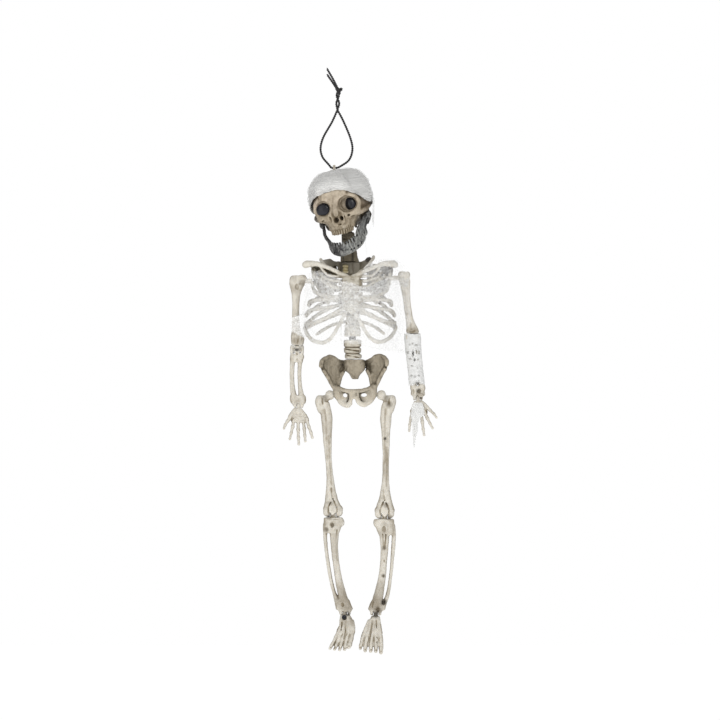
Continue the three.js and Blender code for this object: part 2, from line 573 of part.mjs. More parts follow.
// ---------------------------------------------------------------- arms
// Rings and bar stations are [x, z, size, size] at LIMB_Y, from the top down.
// Fingers are [base x, y, z, tip x, y, z].
const ARMS = {
  r: {
    humerus: [
      [-29.86, -92.4, 4, 3.6], [-30.03, -98.17, 5, 4], [-30.85, -103.95, 4.2, 3.4],
      [-31.51, -108.9, 3.3, 2.9], [-31.93, -126.22, 3.2, 2.7], [-31.84, -138.6, 3.7, 2.9],
      [-31.02, -144.38, 5.2, 3.2], [-30.69, -150.56, 5.2, 3.6],
    ],
    elbowEnd: [[-30.69, -156.91, 5.2, 2.8], [-30.69, -158.9, 5.2, 2.8], [-31.19, -161.7, 4.8, 2.6]],
    shafts: [
      [[-34.32, -159.22, 2.0, 2.2], [-34.9, -173.25, 1.8, 2.0], [-33.66, -192.22, 2.1, 2.2]],
      [[-28.21, -159.22, 2.0, 2.2], [-28.88, -175.72, 1.8, 2.0], [-27.22, -192.22, 2.3, 2.2]],
    ],
    wristEnd: [[-30.28, -190.99, 5.6, 2.4], [-29.86, -193.88, 6.5, 2.6], [-29.54, -197.59, 5.6, 2.5]],
    palm: [[-29.45, -201.46, 3.8, 2.0], [-29.04, -205.42, 5, 2.1]],
    palmEnd: [-28.38, LIMB_Y - 0.5, -211.61, 6.1, 1.9],
    fingers: [
      [-32.67, LIMB_Y, -202.95, -41.09, -2.4, -216.48],
      [-32.84, 1.2, -210.38, -36.63, -2.6, -226.05],
      [-29.86, 1.2, -211.2, -29.54, -2.8, -230.5],
      [-26.89, 1.2, -211.2, -23.76, -2.6, -227.7],
      [-24.09, 1.2, -210.38, -18.31, -2, -224.9],
    ],
  },
  l: {
    humerus: [
      [57.59, -88.69, 3.8, 3.4], [58, -94.05, 4.4, 3.8], [58.41, -99.82, 4, 3.4],
      [59.73, -108.07, 3.1, 2.8], [61.71, -123.75, 3.2, 2.7], [63.36, -132.82, 3.9, 2.9],
      [64.35, -137.78, 4.9, 3.2], [64.6, -140.91, 5, 3.6],
    ],
    elbowEnd: [[64.68, -147.01, 5.0, 2.8], [64.85, -149, 5.0, 2.8], [65.17, -151.8, 4.6, 2.6]],
    shafts: [
      [[62.04, -149.32, 2.0, 2.2], [63.36, -162.52, 1.8, 2.0], [65.17, -185.62, 2.1, 2.2]],
      [[68.31, -149.32, 2.0, 2.2], [69.63, -165, 1.8, 2.0], [71.94, -185.62, 2.2, 2.2]],
    ],
    wristEnd: [[68.31, -183.97, 5.6, 2.4], [68.81, -187.27, 6.3, 2.6], [69.14, -191.4, 5.2, 2.5]],
    palm: [[68.81, -195.28, 3.4, 2.0], [69.14, -198.82, 4.8, 2.1]],
    palmEnd: [69.63, LIMB_Y - 0.5, -204.6, 6, 1.9],
    fingers: [
      [72.44, LIMB_Y, -196.35, 84.31, -2.4, -207.4],
      [73.76, 1.2, -203.77, 81.18, -2.6, -216.65],
      [71.11, 1.2, -204.6, 74.25, -2.8, -222.59],
      [68.31, 1.2, -204.6, 66.33, -2.6, -224.4],
      [65.51, 1.2, -203.77, 61.71, -2, -219.12],
    ],
  },
};
const sideways = { ref: [1, 0, 0] };

// Upper arm: its elbow slot is open to the front and below.
function humerus({ shoulder, elbow }, shape) {
  const body = join(
    ball(shoulder, [4.6, 4.8, 5.2], 12),
    bone(atDepth(LIMB_Y, shape.humerus), 10),
    knuckle(ELBOW, elbow, 12));
  const width = slotWidth(ELBOW);
  return cut(body,
    rod('x', shoulder, SHOULDER_PEG_R + GAP, 16, 12),
    box(shift(elbow, 0, -8, 0), [width, 16 + 2 * (3.4 + GAP), 2 * (3.3 + GAP)]),
    box(shift(elbow, 0, 0, -6), [width, 20, 12]),
    pinHole(ELBOW, elbow));
}

// Radius and ulna moulded as one frame.
function forearm({ elbow, wrist }, shape) {
  const body = join(
    tongue(ELBOW, elbow, 12),
    box(shift(elbow, 0, 0, -4.2), [ELBOW.tongueWidth, 4.4, 5.4]),
    bone(atDepth(LIMB_Y, shape.elbowEnd)),
    ...shape.shafts.map((shaft) => bar(atDepth(LIMB_Y, shaft), sideways)),
    bone(atDepth(LIMB_Y, shape.wristEnd)),
    knuckle(WRIST, wrist, 12));
  return cut(body,
    pinHole(ELBOW, elbow),
    box(shift(wrist, 0, 0, -1), [slotWidth(WRIST), 20, 2 * (2.2 + GAP) + 2]),
    pinHole(WRIST, wrist));
}

function finger([baseX, baseY, baseZ, tipX, tipY, tipZ]) {
  const r = 1.15;
  return bar([
    [baseX, baseY, baseZ, r, r * 1.1],
    [(baseX + tipX) / 2, (baseY + tipY) / 2 - 0.6, (baseZ + tipZ) / 2, r, r],
    [tipX, tipY, tipZ, r * 0.6, r * 0.6],
  ], sideways);
}

function hand({ wrist }, shape) {
  const body = join(
    tongue(WRIST, wrist, 12),
    box(shift(wrist, 0, 0, -3.2), [WRIST.tongueWidth, 2.6, 4]),
    bone([...atDepth(LIMB_Y, shape.palm), shape.palmEnd]),
    ...shape.fingers.map(finger));
  return cut(body, pinHole(WRIST, wrist));
}

for (const [, tag] of SIDES) {
  const joints = JOINTS[tag];
  add('humerus_' + tag, humerus(joints, ARMS[tag]), FINISH.bone);
  add('elbow_pin_' + tag, pin(ELBOW, joints.elbow), FINISH.pin);
  add('forearm_' + tag, forearm(joints, ARMS[tag]), FINISH.bone);
  add('wrist_pin_' + tag, pin(WRIST, joints.wrist), FINISH.pin);
  add('hand_' + tag, hand(joints, ARMS[tag]), FINISH.bone);
}

// ---------------------------------------------------------------- legs
// tibia and fibula are [x, z, size, size]; other rings are [x, y, z, x radius, y radius].
// Toes are [base x, y, z, tip x, y, z, radius].
const LEGS = {
  r: {
    trochanterX: -11.39,
    neckEndX: -11.3,
    femur: [
      [-10.56, 0.5, -193.05, 4.2, 3.6], [-7.59, 0.5, -197.17, 4.6, 3.8],
      [-5.94, 0, -205.42, 4.2, 3.6], [-4.79, -0.5, -218.62, 3.4, 3.3],
      [-3.96, -0.5, -242.55, 2.6, 2.9], [-3.3, 0, -263.18, 3.1, 3.1],
      [-2.14, 0, -274.72, 5.4, 3.6], [-1.32, 0, -281.32, 7.4, 4.3],
      [-0.99, 0, -286.77, 8, 4.3],
    ],
    kneeEnd: [
      [-0.74, 0.2, -290.89, 7.6, 5], [-0.74, 0.2, -293.7, 7.8, 4.6],
      [-1.32, 0, -301.12, 6.2, 3.8], [-2.14, 0, -306.07, 4.8, 3.2],
    ],
    tibia: [
      [0.99, -301.12, 3.2, 3.0], [1.98, -313.5, 2.5, 2.6], [4.29, -337.42, 2.1, 2.3],
      [8.58, -357.22, 3.2, 2.6], [9.9, -363.82, 3.8, 2.8],
    ],
    fibula: [
      [-6.76, -301.12, 2.2, 2.4], [-6.76, -309.38, 1.5, 1.8], [-2.97, -335.77, 1.3, 1.5],
      [2.47, -357.22, 1.7, 2], [5.61, -364.65, 2.2, 2.4],
    ],
    ankleEnd: [
      [7.67, 0.4, -359.7, 5.2, 3], [8.5, 0.5, -364.24, 6.2, 3.2], [8.75, 0.5, -367.95, 6, 3.2],
    ],
    instep: [
      [9.41, 0.5, -372.57, 4.4, 4.4], [9.41, 0, -375.38, 5.6, 5.2],
      [8.58, -2, -381.97, 6.4, 4], [6.44, -5, -388.57, 7, 3],
    ],
    heel: [10.56, 5, -376.2],
    toes: [
      [1.49, -5, -386.1, -4.29, -9.5, -398.47, 1.2],
      [4.46, -5.4, -387.75, 0.33, -10, -399.63, 1.3],
      [7.1, -5.6, -388.57, 4.46, -10.2, -400.12, 1.35],
      [9.74, -5.6, -387.75, 8.58, -10, -399.8, 1.5],
      [12.21, -5, -385.27, 12.54, -9.4, -397.65, 1.9],
    ],
  },
  l: {
    trochanterX: 47.02,
    neckEndX: 46.86,
    femur: [
      [46.04, 0.5, -193.05, 4.2, 3.6], [43.89, 0.5, -197.17, 4.8, 3.8],
      [43.06, 0, -205.42, 4.8, 3.6], [42.74, -0.5, -218.62, 4, 3.3],
      [42.57, -0.5, -242.55, 2.7, 2.9], [42.24, 0, -263.18, 3.2, 3.1],
      [41.75, 0, -274.72, 5.6, 3.6], [41.58, 0, -281.32, 7.4, 4.3],
      [41.58, 0, -288.01, 8.2, 4.3],
    ],
    kneeEnd: [
      [41.09, 0.2, -292.13, 8, 5], [41.25, 0.2, -294.94, 8, 4.6],
      [42.41, 0, -301.95, 6.6, 3.8], [43.56, 0, -306.9, 5, 3.2],
    ],
    tibia: [
      [41.25, -301.95, 3.2, 3.0], [41.75, -314.32, 2.7, 2.6], [40.1, -337.42, 2.5, 2.3],
      [36.14, -357.22, 3.4, 2.6], [34.16, -363.82, 3.8, 2.8],
    ],
    fibula: [
      [48.84, -301.95, 2.2, 2.4], [49.01, -310.2, 1.5, 1.8], [46.36, -337.42, 1.4, 1.5],
      [41.91, -357.22, 1.8, 2], [38.61, -364.65, 2.4, 2.4],
    ],
    ankleEnd: [
      [35.81, 0.4, -359.7, 5.4, 3], [34.81, 0.5, -364.24, 6.4, 3.2],
      [34.49, 0.5, -368.36, 6, 3.2],
    ],
    instep: [
      [33.99, 0.5, -372.98, 4.4, 4.4], [33.82, 0, -375.79, 5.4, 5.2],
      [32.51, -2, -381.97, 6.6, 4], [30.36, -5, -389.4, 7.4, 3],
    ],
    heel: [33.66, 5, -376.61],
    toes: [
      [24.26, -5, -386.1, 21.12, -9.4, -398.47, 1.3],
      [27.06, -5.4, -388.57, 25.25, -10, -400.12, 1.35],
      [30.03, -5.6, -389.4, 29.54, -10.2, -400.78, 1.35],
      [33, -5.6, -389.4, 33.82, -10, -401.28, 1.4],
      [35.81, -5, -387.75, 38.11, -9.6, -402.27, 1.9],
    ],
  },
};

// Thigh: its knee slot is open to the back and below.
function femur({ hip, knee }, shape) {
  const neck = [[hip[0], HIP_Y, -190.57, 2.8, 2.6], [shape.neckEndX, HIP_Y, -193.88, 3, 2.8]];
  const body = join(
    ball(hip, [HIP_BALL_R, HIP_BALL_R, HIP_BALL_R], 14),
    ball([shape.trochanterX, 0, -192.72], [4.2, 4.2, 4.8]),
    bar(neck, { seg: 8 }),
    bone(shape.femur),
    knuckle(KNEE, knee, 16));
  return cut(body,
    rod('x', hip, PIN_R + GAP, 9, 12),
    box(shift(knee, 0, 8 - 3.6 - GAP, -4), [slotWidth(KNEE), 16, 8 + 2 * (3.4 + GAP)]),
    pinHole(KNEE, knee));
}

// Tibia and fibula moulded as one frame.
function shin({ knee, ankle }, shape) {
  const body = join(
    tongue(KNEE, knee, 14),
    box(shift(knee, 0, 0.4, -4.2), [KNEE.tongueWidth, 5, 5]),
    bone(shape.kneeEnd),
    bar(atDepth(-0.2, shape.tibia), sideways),
    bar(atDepth(0.8, shape.fibula), sideways),
    bone(shape.ankleEnd),
    knuckle(ANKLE, ankle, 14));
  return cut(body,
    pinHole(KNEE, knee),
    box(shift(ankle, 0, 0, -1.2), [slotWidth(ANKLE), 20, 2 * (2.6 + GAP) + 2.4]),
    pinHole(ANKLE, ankle));
}

function toe([baseX, baseY, baseZ, tipX, tipY, tipZ, r]) {
  const bend = 0.55;   // fraction of the way to the tip
  return bar([
    [baseX, baseY, baseZ, r * 1.1, r * 1.2],
    [lerp(baseX, tipX, bend), lerp(baseY, tipY, bend) - 1, lerp(baseZ, tipZ, bend), r, r],
    [tipX, tipY, tipZ, r * 0.8, r * 0.8],
  ], sideways);
}

function foot({ ankle }, shape) {
  const body = join(
    tongue(ANKLE, ankle, 14),
    box(shift(ankle, 0, 0, -3), [ANKLE.tongueWidth, 3.4, 4.6]),
    bone(shape.instep),
    ball(shape.heel, [5, 8.6, 5]),
    ...shape.toes.map(toe));
  return cut(body, pinHole(ANKLE, ankle));
}

for (const [, tag] of SIDES) {
  const joints = JOINTS[tag];
  add('femur_' + tag, femur(joints, LEGS[tag]), FINISH.bone);
  add('knee_pin_' + tag, pin(KNEE, joints.knee), FINISH.pin);
  add('shin_' + tag, shin(joints, LEGS[tag]), FINISH.bone);
  add('ankle_pin_' + tag, pin(ANKLE, joints.ankle), FINISH.pin);
  add('foot_' + tag, foot(joints, LEGS[tag]), FINISH.bone);
}

// ---------------------------------------------------------------- gauze (closed solids)
// Cap over the cranium, open below, lower edge sloping down from the forehead to the back.
function headWrap() {
  const shell = cut(
    ball([0, 0, 0], [25.8, 29.9, 25.9], 18), ball([0, 0, 0], [24.5, 28.8, 24.8], 18));
  const below = solid(new THREE.BoxGeometry(120, 160, 80)
    .translate(0, 0, -40).rotateX(degToRad(-23)).translate(0, -26, 8.7));
  return cut(headToWorld(cut(shell, below)), lugSlot(-3, 12));
}

// Waved strip hanging at the left of the head; u runs backward, v downward.
function headTail() {
  return reshape(new THREE.BoxGeometry(1, 1, 1, 1, 4, 3), (unitX, unitY, unitZ) => {
    const u = unitY + 0.5;
    const v = 0.5 - unitZ;
    const x = 32.34 + Math.sin(u * 3) - v + unitX * 0.8;
    return [x, 1 + 15 * u, lerp(-35.48, -47.85 - 4 * u, v)];
  });
}

// Hanging panel; depth, top and bottom are rows [x, y] or [x, z], and top sets its width.
function drape({ depth, top, bottom }, columns, rows) {
  return sheet((u, v) => {
    const x = lerp(top[0][0], top.at(-1)[0], u);
    return [x, lookUp(depth, x), lerp(lookUp(top, x), lookUp(bottom, x), v)];
  }, columns, rows, DRAPE_THICK);
}
const CHEST_R = {
  depth: [[-35.64, -4.4], [-28.21, -5], [-19.96, -15.4], [-7.59, -24], [5.61, -26.6]],
  top: [
    [-35.64, -126.22], [-27.39, -124.57], [-25.33, -99.82], [-20.79, -98.17],
    [-7.59, -106.42], [5.61, -112.2],
  ],
  bottom: [[-35.64, -136.95], [-20.79, -146.03], [-5.11, -150.56], [5.61, -145.2]],
};
const CHEST_L = {
  depth: [
    [6.11, -26.6], [21.29, -26.6], [34.49, -24], [46.86, -15.5], [54.29, -6], [61.71, -4.4],
  ],
  top: [[6.11, -112.2], [21.29, -116.32], [34.49, -111.38], [46.86, -98.17], [61.71, -99.82]],
  bottom: [
    [6.11, -145.2], [20.46, -146.03], [34.49, -150.15], [50.99, -136.12], [61.71, -129.53],
  ],
};
// Small veil over the left shoulder.
const VEIL_L = {
  depth: [[46.86, -12], [54.29, -5.6], [61.71, -4.6]],
  top: [[46.86, -83.32], [61.71, -83.32]],
  bottom: [[46.86, -97.35], [61.71, -97.35]],
};

// Sleeve around the left forearm.
function forearmWrap() {
  const wall = 1;
  const inside = atDepth(LIMB_Y, [
    [65.34, -152.62, 6.3, 3.6], [66.33, -162.52, 6.2, 3.4], [67.81, -179.85, 6.6, 3.4],
  ]);
  const outside = inside.map(([x, y, z, radiusX, radiusY]) =>
    [x, y, z, radiusX + wall, radiusY + wall]);
  // the bore runs past both ends
  const bore = [
    [65.26, LIMB_Y, -151.8, 6.3, 3.6], ...inside, [67.9, LIMB_Y, -180.67, 6.6, 3.4],
  ];
  return cut(bone(outside, 14), bone(bore, 14));
}

// Tapering strand in front of the left hand.
function handStrand() {
  const middleX = [[0, 71.61], [0.6, 68.31], [1, 65.84]];
  const depth = [[0, -2.2], [0.5, -3.4], [1, -4.6]];
  return sheet((u, v) => {
    const x = lookUp(middleX, v) + (u - 0.5) * (5.5 - 3.5 * v);
    return [x, lookUp(depth, v), lerp(-194.7, -232.4, v)];
  }, 2, 6, 0.8);
}

add('gauze_head_wrap', headWrap(), FINISH.gauze);
add('gauze_head_tail', headTail(), FINISH.gauze);
add('gauze_chest_r', drape(CHEST_R, 16, 5), FINISH.gauze);
add('gauze_chest_l', drape(CHEST_L, 18, 5), FINISH.gauze);
add('gauze_veil_l', drape(VEIL_L, 6, 3), FINISH.gauze);
add('gauze_forearm_l', forearmWrap(), FINISH.gauze);
add('gauze_hand_strand_l', handStrand(), FINISH.gauze);

export default group;
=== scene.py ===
"""A hanging plastic skeleton: riveted bones, a black jaw, torn gauze and a twisted cord loop.

The figure hangs upright with +Z up and faces -Y, so its left side lies towards +X.
Shapes are modelled in millimetres in the CAD frame; make_object writes them in metres.
"""
import copy
import functools
import itertools
import math

import bmesh
import bpy
import numpy as np
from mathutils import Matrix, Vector


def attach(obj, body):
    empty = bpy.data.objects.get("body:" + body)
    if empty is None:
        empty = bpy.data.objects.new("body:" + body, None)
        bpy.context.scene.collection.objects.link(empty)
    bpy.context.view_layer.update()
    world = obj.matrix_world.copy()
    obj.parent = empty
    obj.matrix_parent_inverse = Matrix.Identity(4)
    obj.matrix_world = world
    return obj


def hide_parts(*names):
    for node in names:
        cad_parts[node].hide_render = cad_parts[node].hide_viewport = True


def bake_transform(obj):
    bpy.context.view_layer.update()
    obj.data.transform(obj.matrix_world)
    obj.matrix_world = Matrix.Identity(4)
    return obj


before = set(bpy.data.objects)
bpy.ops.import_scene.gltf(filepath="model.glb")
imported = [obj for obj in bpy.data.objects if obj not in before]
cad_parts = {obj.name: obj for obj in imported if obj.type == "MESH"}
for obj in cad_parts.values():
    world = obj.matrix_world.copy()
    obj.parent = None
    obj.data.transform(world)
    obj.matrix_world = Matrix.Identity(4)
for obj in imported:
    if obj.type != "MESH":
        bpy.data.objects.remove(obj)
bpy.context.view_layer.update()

F32 = np.float32
RNG = np.random.RandomState
MM = 0.001                       # metres in a millimetre
TURN = 2 * math.pi
CORNERS = list(itertools.product((0, 1), repeat=3))
ADD, CUT = "add", "cut"          # how a primitive joins the field

# Pivots (x, y, z) and the radii of the pin holes through them
ARM_Y = 2.0
SPINE_X, SPINE_Y = 15.1, 9.0
SHOULDER = {"r": (-28.21, ARM_Y, -95.7), "l": (56.76, ARM_Y, -93.22)}
ELBOW = {"r": (-30.69, ARM_Y, -152.21), "l": (64.6, ARM_Y, -142.31)}
WRIST = {"r": (-29.45, ARM_Y, -197.59), "l": (69.14, ARM_Y, -191.4)}
HIP = {"r": (-3.46, 1, -189.75), "l": (38.86, 1, -189.75)}
KNEE = {"r": (-0.99, 0, -285.45), "l": (41.5, 0, -286.69)}
ANKLE = {"r": (8.91, 0.5, -367.95), "l": (34.32, 0.5, -368.36)}
JAW_Y, JAW_Z = 1.5, -16.5        # jaw and nod pivots lie in the head's own frame
NOD_Y, NOD_Z = 6, -19.2
NOD_HOLE = HIP_HOLE = 1.6
JAW_HOLE = ELBOW_HOLE = KNEE_HOLE = 1.62
WRIST_HOLE, ANKLE_HOLE = 1.2, 1.42


# ------------------------------------------------------------------ distance-field modelling
def soft_min(a, b, blend):
    near = np.maximum(blend - np.abs(a - b), 0.0) / blend
    return np.minimum(a, b) - near * near * blend * 0.25


def rounded(rnd, *sides):
    """Distance to the solid that several sides enclose, with edges rounded by rnd."""
    sides = [side + rnd for side in sides]
    outer = np.sqrt(sum(np.maximum(side, 0) ** 2 for side in sides))
    return (outer + np.minimum(functools.reduce(np.maximum, sides), 0) - rnd).astype(F32)


def to_local(x, y, z, centre, turn):
    x, y, z = x - centre[0], y - centre[1], z - centre[2]
    if turn is None:
        return x, y, z
    return [turn[0, k] * x + turn[1, k] * y + turn[2, k] * z for k in range(3)]


def spline(points, steps):
    """Catmull-Rom curve through points; two points give a straight line."""
    p = np.array(points, float)
    if len(p) == 2:
        t = np.linspace(0, 1, steps + 1)[:, None]
        return p[0] * (1 - t) + p[1] * t
    ends = np.vstack([2 * p[0] - p[1], p, 2 * p[-1] - p[-2]])
    out = []
    for i in range(1, len(ends) - 2):
        a, b, c, d = ends[i - 1:i + 3]
        for t in np.arange(steps) / steps:
            out.append(0.5 * (2 * b + (c - a) * t + (2 * a - 5 * b + 4 * c - d) * t * t
                              + (3 * b - a - 3 * c + d) * t ** 3))
    out.append(p[-1])
    return np.array(out)


def rotation(rx=0, ry=0, rz=0):
    """Turn about Z, then X, then Y, in degrees."""
    rx, ry, rz = map(math.radians, (rx, ry, rz))
    about_x = [[1, 0, 0], [0, math.cos(rx), -math.sin(rx)], [0, math.sin(rx), math.cos(rx)]]
    about_y = [[math.cos(ry), 0, math.sin(ry)], [0, 1, 0], [-math.sin(ry), 0, math.cos(ry)]]
    about_z = [[math.cos(rz), -math.sin(rz), 0], [math.sin(rz), math.cos(rz), 0], [0, 0, 1]]
    return np.array(about_y) @ np.array(about_x) @ np.array(about_z)


def mirror(side, points, axis=0.0, onto=None):
    """Points with x measured from axis and laid out from onto, to side +1 or -1."""
    start = axis if onto is None else onto
    return [(start + side * (p[0] - axis), *p[1:]) for p in points]


class Field:
    """Signed distances in mm on a grid, negative inside the solid.

    Primitives take (x, y, z) places. Tubes take stations (x, z, y, radius), grooves and
    digits (x, z, y), rings (x, z, y, half width, half depth). Blend is the fillet size.
    """

    def __init__(self, low, high, step=0.4):
        self.step = step
        self.low = np.array(low, float) - 3 * step
        span = np.array(high, float) + 3 * step - self.low
        self.count = np.ceil(span / step).astype(int) + 1
        self.axes = [(self.low[k] + step * np.arange(self.count[k])).astype(F32)
                     for k in range(3)]
        self.dist = np.full(tuple(self.count), 6.0, F32)

    def window(self, low, high, blend):
        """Slices of the grid that a shape between low and high can change."""
        reach = max(3.0, blend + 1.0)
        first = np.floor((np.array(low) - reach - self.low) / self.step).astype(int)
        last = np.ceil((np.array(high) + reach - self.low) / self.step).astype(int) + 1
        first, last = np.clip(first, 0, self.count - 1), np.clip(last, 1, self.count)
        return tuple(slice(a, b) for a, b in zip(first, last))

    def merge(self, part, dist, blend, mode):
        if mode == ADD:
            self.dist[part] = soft_min(self.dist[part], dist, blend)
        else:
            self.dist[part] = -soft_min(-self.dist[part], dist, blend)

    def put(self, distance, low, high, blend, mode):
        part = self.window(low, high, blend)
        axes = [axis[cut] for axis, cut in zip(self.axes, part)]
        self.merge(part, distance(*np.meshgrid(*axes, indexing="ij", sparse=True)), blend, mode)

    def keep_side(self, y, side):
        """Copy with only the part in front of (side 1) or behind (side -1) depth y."""
        out = copy.copy(self)
        plane = self.axes[1][None, :, None]
        out.dist = np.maximum(self.dist, plane - y if side > 0 else y - plane).astype(F32)
        return out

    def ball(self, centre, radii, blend=0.8, mode=ADD, turn=None):
        radii = np.zeros(3) + radii
        centre = np.array(centre, float)
        matrix = np.eye(3) if turn is None else turn
        extent = np.sqrt((matrix ** 2) @ (radii ** 2))

        def distance(*grid):
            x, y, z = to_local(*grid, centre, turn)
            k0 = np.sqrt((x / radii[0]) ** 2 + (y / radii[1]) ** 2 + (z / radii[2]) ** 2)
            k1 = np.sqrt((x / radii[0] ** 2) ** 2 + (y / radii[1] ** 2) ** 2
                         + (z / radii[2] ** 2) ** 2)
            return (k0 * (k0 - 1.0) / np.maximum(k1, 1e-6)).astype(F32)
        self.put(distance, centre - extent, centre + extent, blend, mode)

    def box(self, centre, half, rnd=0.5, blend=0.5, mode=ADD, turn=None):
        half = np.array(half, float)
        centre = np.array(centre, float)
        extent = np.abs(np.eye(3) if turn is None else turn) @ half

        def distance(*grid):
            local = to_local(*grid, centre, turn)
            return rounded(rnd, *[np.abs(v) - h for v, h in zip(local, half)])
        self.put(distance, centre - extent, centre + extent, blend, mode)

    def rod(self, a, b, radius, blend=0.3, mode=ADD, rnd=0.25):
        """Flat-ended cylinder from a to b."""
        a, b = np.array(a, float), np.array(b, float)
        length = np.linalg.norm(b - a)
        axis = (b - a) / length
        middle = (a + b) / 2

        def distance(*grid):
            x, y, z = to_local(*grid, middle, None)
            t = x * axis[0] + y * axis[1] + z * axis[2]
            out = np.sqrt(np.maximum(x * x + y * y + z * z - t * t, 0))
            return rounded(rnd, out - radius, np.abs(t) - length / 2)
        self.put(distance, np.minimum(a, b) - radius, np.maximum(a, b) + radius, blend, mode)

    def axle(self, pivot, half, radius, blend=0.3, mode=ADD, rnd=0.25):
        """Rod along X, centred on pivot."""
        x, y, z = pivot
        self.rod((x - half, y, z), (x + half, y, z), radius, blend, mode, rnd)

    def cone(self, a, b, radius_a, radius_b, blend=0.8, mode=ADD, stretch=(1, 1, 1)):
        """Round-ended taper; stretch scales its section along the axes."""
        a, b, stretch = np.array(a, float), np.array(b, float), np.array(stretch, float)
        start = a / stretch
        along = b / stretch - start
        square = max(float(along @ along), 1e-9)
        thinnest = float(min(stretch))

        def distance(X, Y, Z):
            x = X / stretch[0] - start[0]
            y = Y / stretch[1] - start[1]
            z = Z / stretch[2] - start[2]
            t = np.clip((x * along[0] + y * along[1] + z * along[2]) / square, 0, 1)
            dx, dy, dz = x - t * along[0], y - t * along[1], z - t * along[2]
            out = np.sqrt(dx * dx + dy * dy + dz * dz) - (radius_a + (radius_b - radius_a) * t)
            return (out * thinnest).astype(F32)
        reach = max(radius_a, radius_b) * stretch
        self.put(distance, np.minimum(a, b) - reach, np.maximum(a, b) + reach, blend, mode)

    def tube(self, stations, blend=0.8, mode=ADD, stretch=(1, 1, 1), steps=4, joint=0.35):
        """Smooth tube, built alone and merged once so that its own joints stay smooth."""
        curve = spline([(p[0], p[2], p[1], p[3]) for p in stations], steps)
        reach = curve[:, 3].max() * np.array(stretch)
        part = self.window(curve[:, :3].min(0) - reach, curve[:, :3].max(0) + reach, blend)
        own = copy.copy(self)
        own.dist = np.full(self.dist[part].shape, 6.0, F32)
        own.low = self.low + np.array([cut.start for cut in part]) * self.step
        own.count = np.array(own.dist.shape)
        own.axes = [axis[cut] for axis, cut in zip(self.axes, part)]
        for a, b in zip(curve[:-1], curve[1:]):
            own.cone(a[:3], b[:3], a[3], b[3], joint, stretch=stretch)
        self.merge(part, own.dist, blend, mode)

    def groove(self, points, radius=0.5, blend=0.5):
        self.tube([(*p, radius) for p in points], blend, CUT, steps=3, joint=0.2)

    def pit(self, centre, radii, blend=0.4):
        self.ball(centre, radii, blend, CUT)

    def rings(self, rows, blend=0.8, power=2.0):
        """Upright bone whose level sections are superellipses."""
        rows = sorted(rows, key=lambda row: row[1])
        bottom, top = float(rows[0][1]), float(rows[-1][1])
        low = (min(r[0] - r[3] for r in rows), min(r[2] - r[4] for r in rows), bottom)
        high = (max(r[0] + r[3] for r in rows), max(r[2] + r[4] for r in rows), top)
        dense = spline(rows, 8)
        dense = dense[np.argsort(dense[:, 1])]

        def distance(X, Y, Z):
            z = np.clip(Z, bottom, top)
            cx, cy, rx, ry = [np.interp(z, dense[:, 1], dense[:, k]) for k in (0, 2, 3, 4)]
            ratio = np.abs((X - cx) / rx) ** power + np.abs((Y - cy) / ry) ** power
            side = (ratio ** (1.0 / power) - 1.0) * np.minimum(rx, ry)
            return rounded(0.6, side, np.maximum(Z - top, bottom - Z))
        self.put(distance, low, high, blend, ADD)

    def digit(self, points, r0, r1, steps, knuckles, thin, swell, blend):
        """Finger or toe, swollen at knuckles (place along it, width); returns its curve."""
        curve = spline([(x, y, z) for x, z, y in points], steps)
        last = len(curve) - 1

        def radius(t):
            bulge = sum(math.exp(-((t - at) / width) ** 2) for at, width in knuckles)
            return (r0 + (r1 - r0) * t) * (thin + swell * bulge)
        for i in range(last):
            self.cone(curve[i], curve[i + 1], radius(i / last), radius((i + 1) / last), blend)
        return curve

    def roughen(self, *layers):
        """Add the unevenness of hand-finished moulds: layers of (height, size, seed)."""
        for height, size, seed in layers:
            cells = np.maximum((self.count * self.step / size).astype(int) + 3, 3)
            lattice = RNG(seed).uniform(-1, 1, tuple(cells))
            for axis in range(3):
                u = np.linspace(0, cells[axis] - 1.001, self.count[axis])
                i = u.astype(int)
                f = u - i
                shape = [1, 1, 1]
                shape[axis] = -1
                f = (f * f * (3 - 2 * f)).reshape(shape)
                lattice = (np.take(lattice, i, axis) * (1 - f)
                           + np.take(lattice, i + 1, axis) * f)
            self.dist = (self.dist + height * lattice).astype(F32)

    def sample(self, points):
        place = np.clip((points - self.low) / self.step, 0, self.count - 1.001)
        cell = place.astype(int)
        part = place - cell
        out = 0
        for corner in CORNERS:
            weight = np.prod(np.where(corner, part, 1 - part), axis=1)
            out = out + weight * self.dist[tuple((cell + corner).T)]
        return out

    def gradient(self, points):
        slope = np.stack([self.sample(points + self.step * v) - self.sample(points - self.step * v)
                          for v in np.eye(3)], 1)
        return slope / np.maximum(np.linalg.norm(slope, axis=1, keepdims=True), 1e-9)

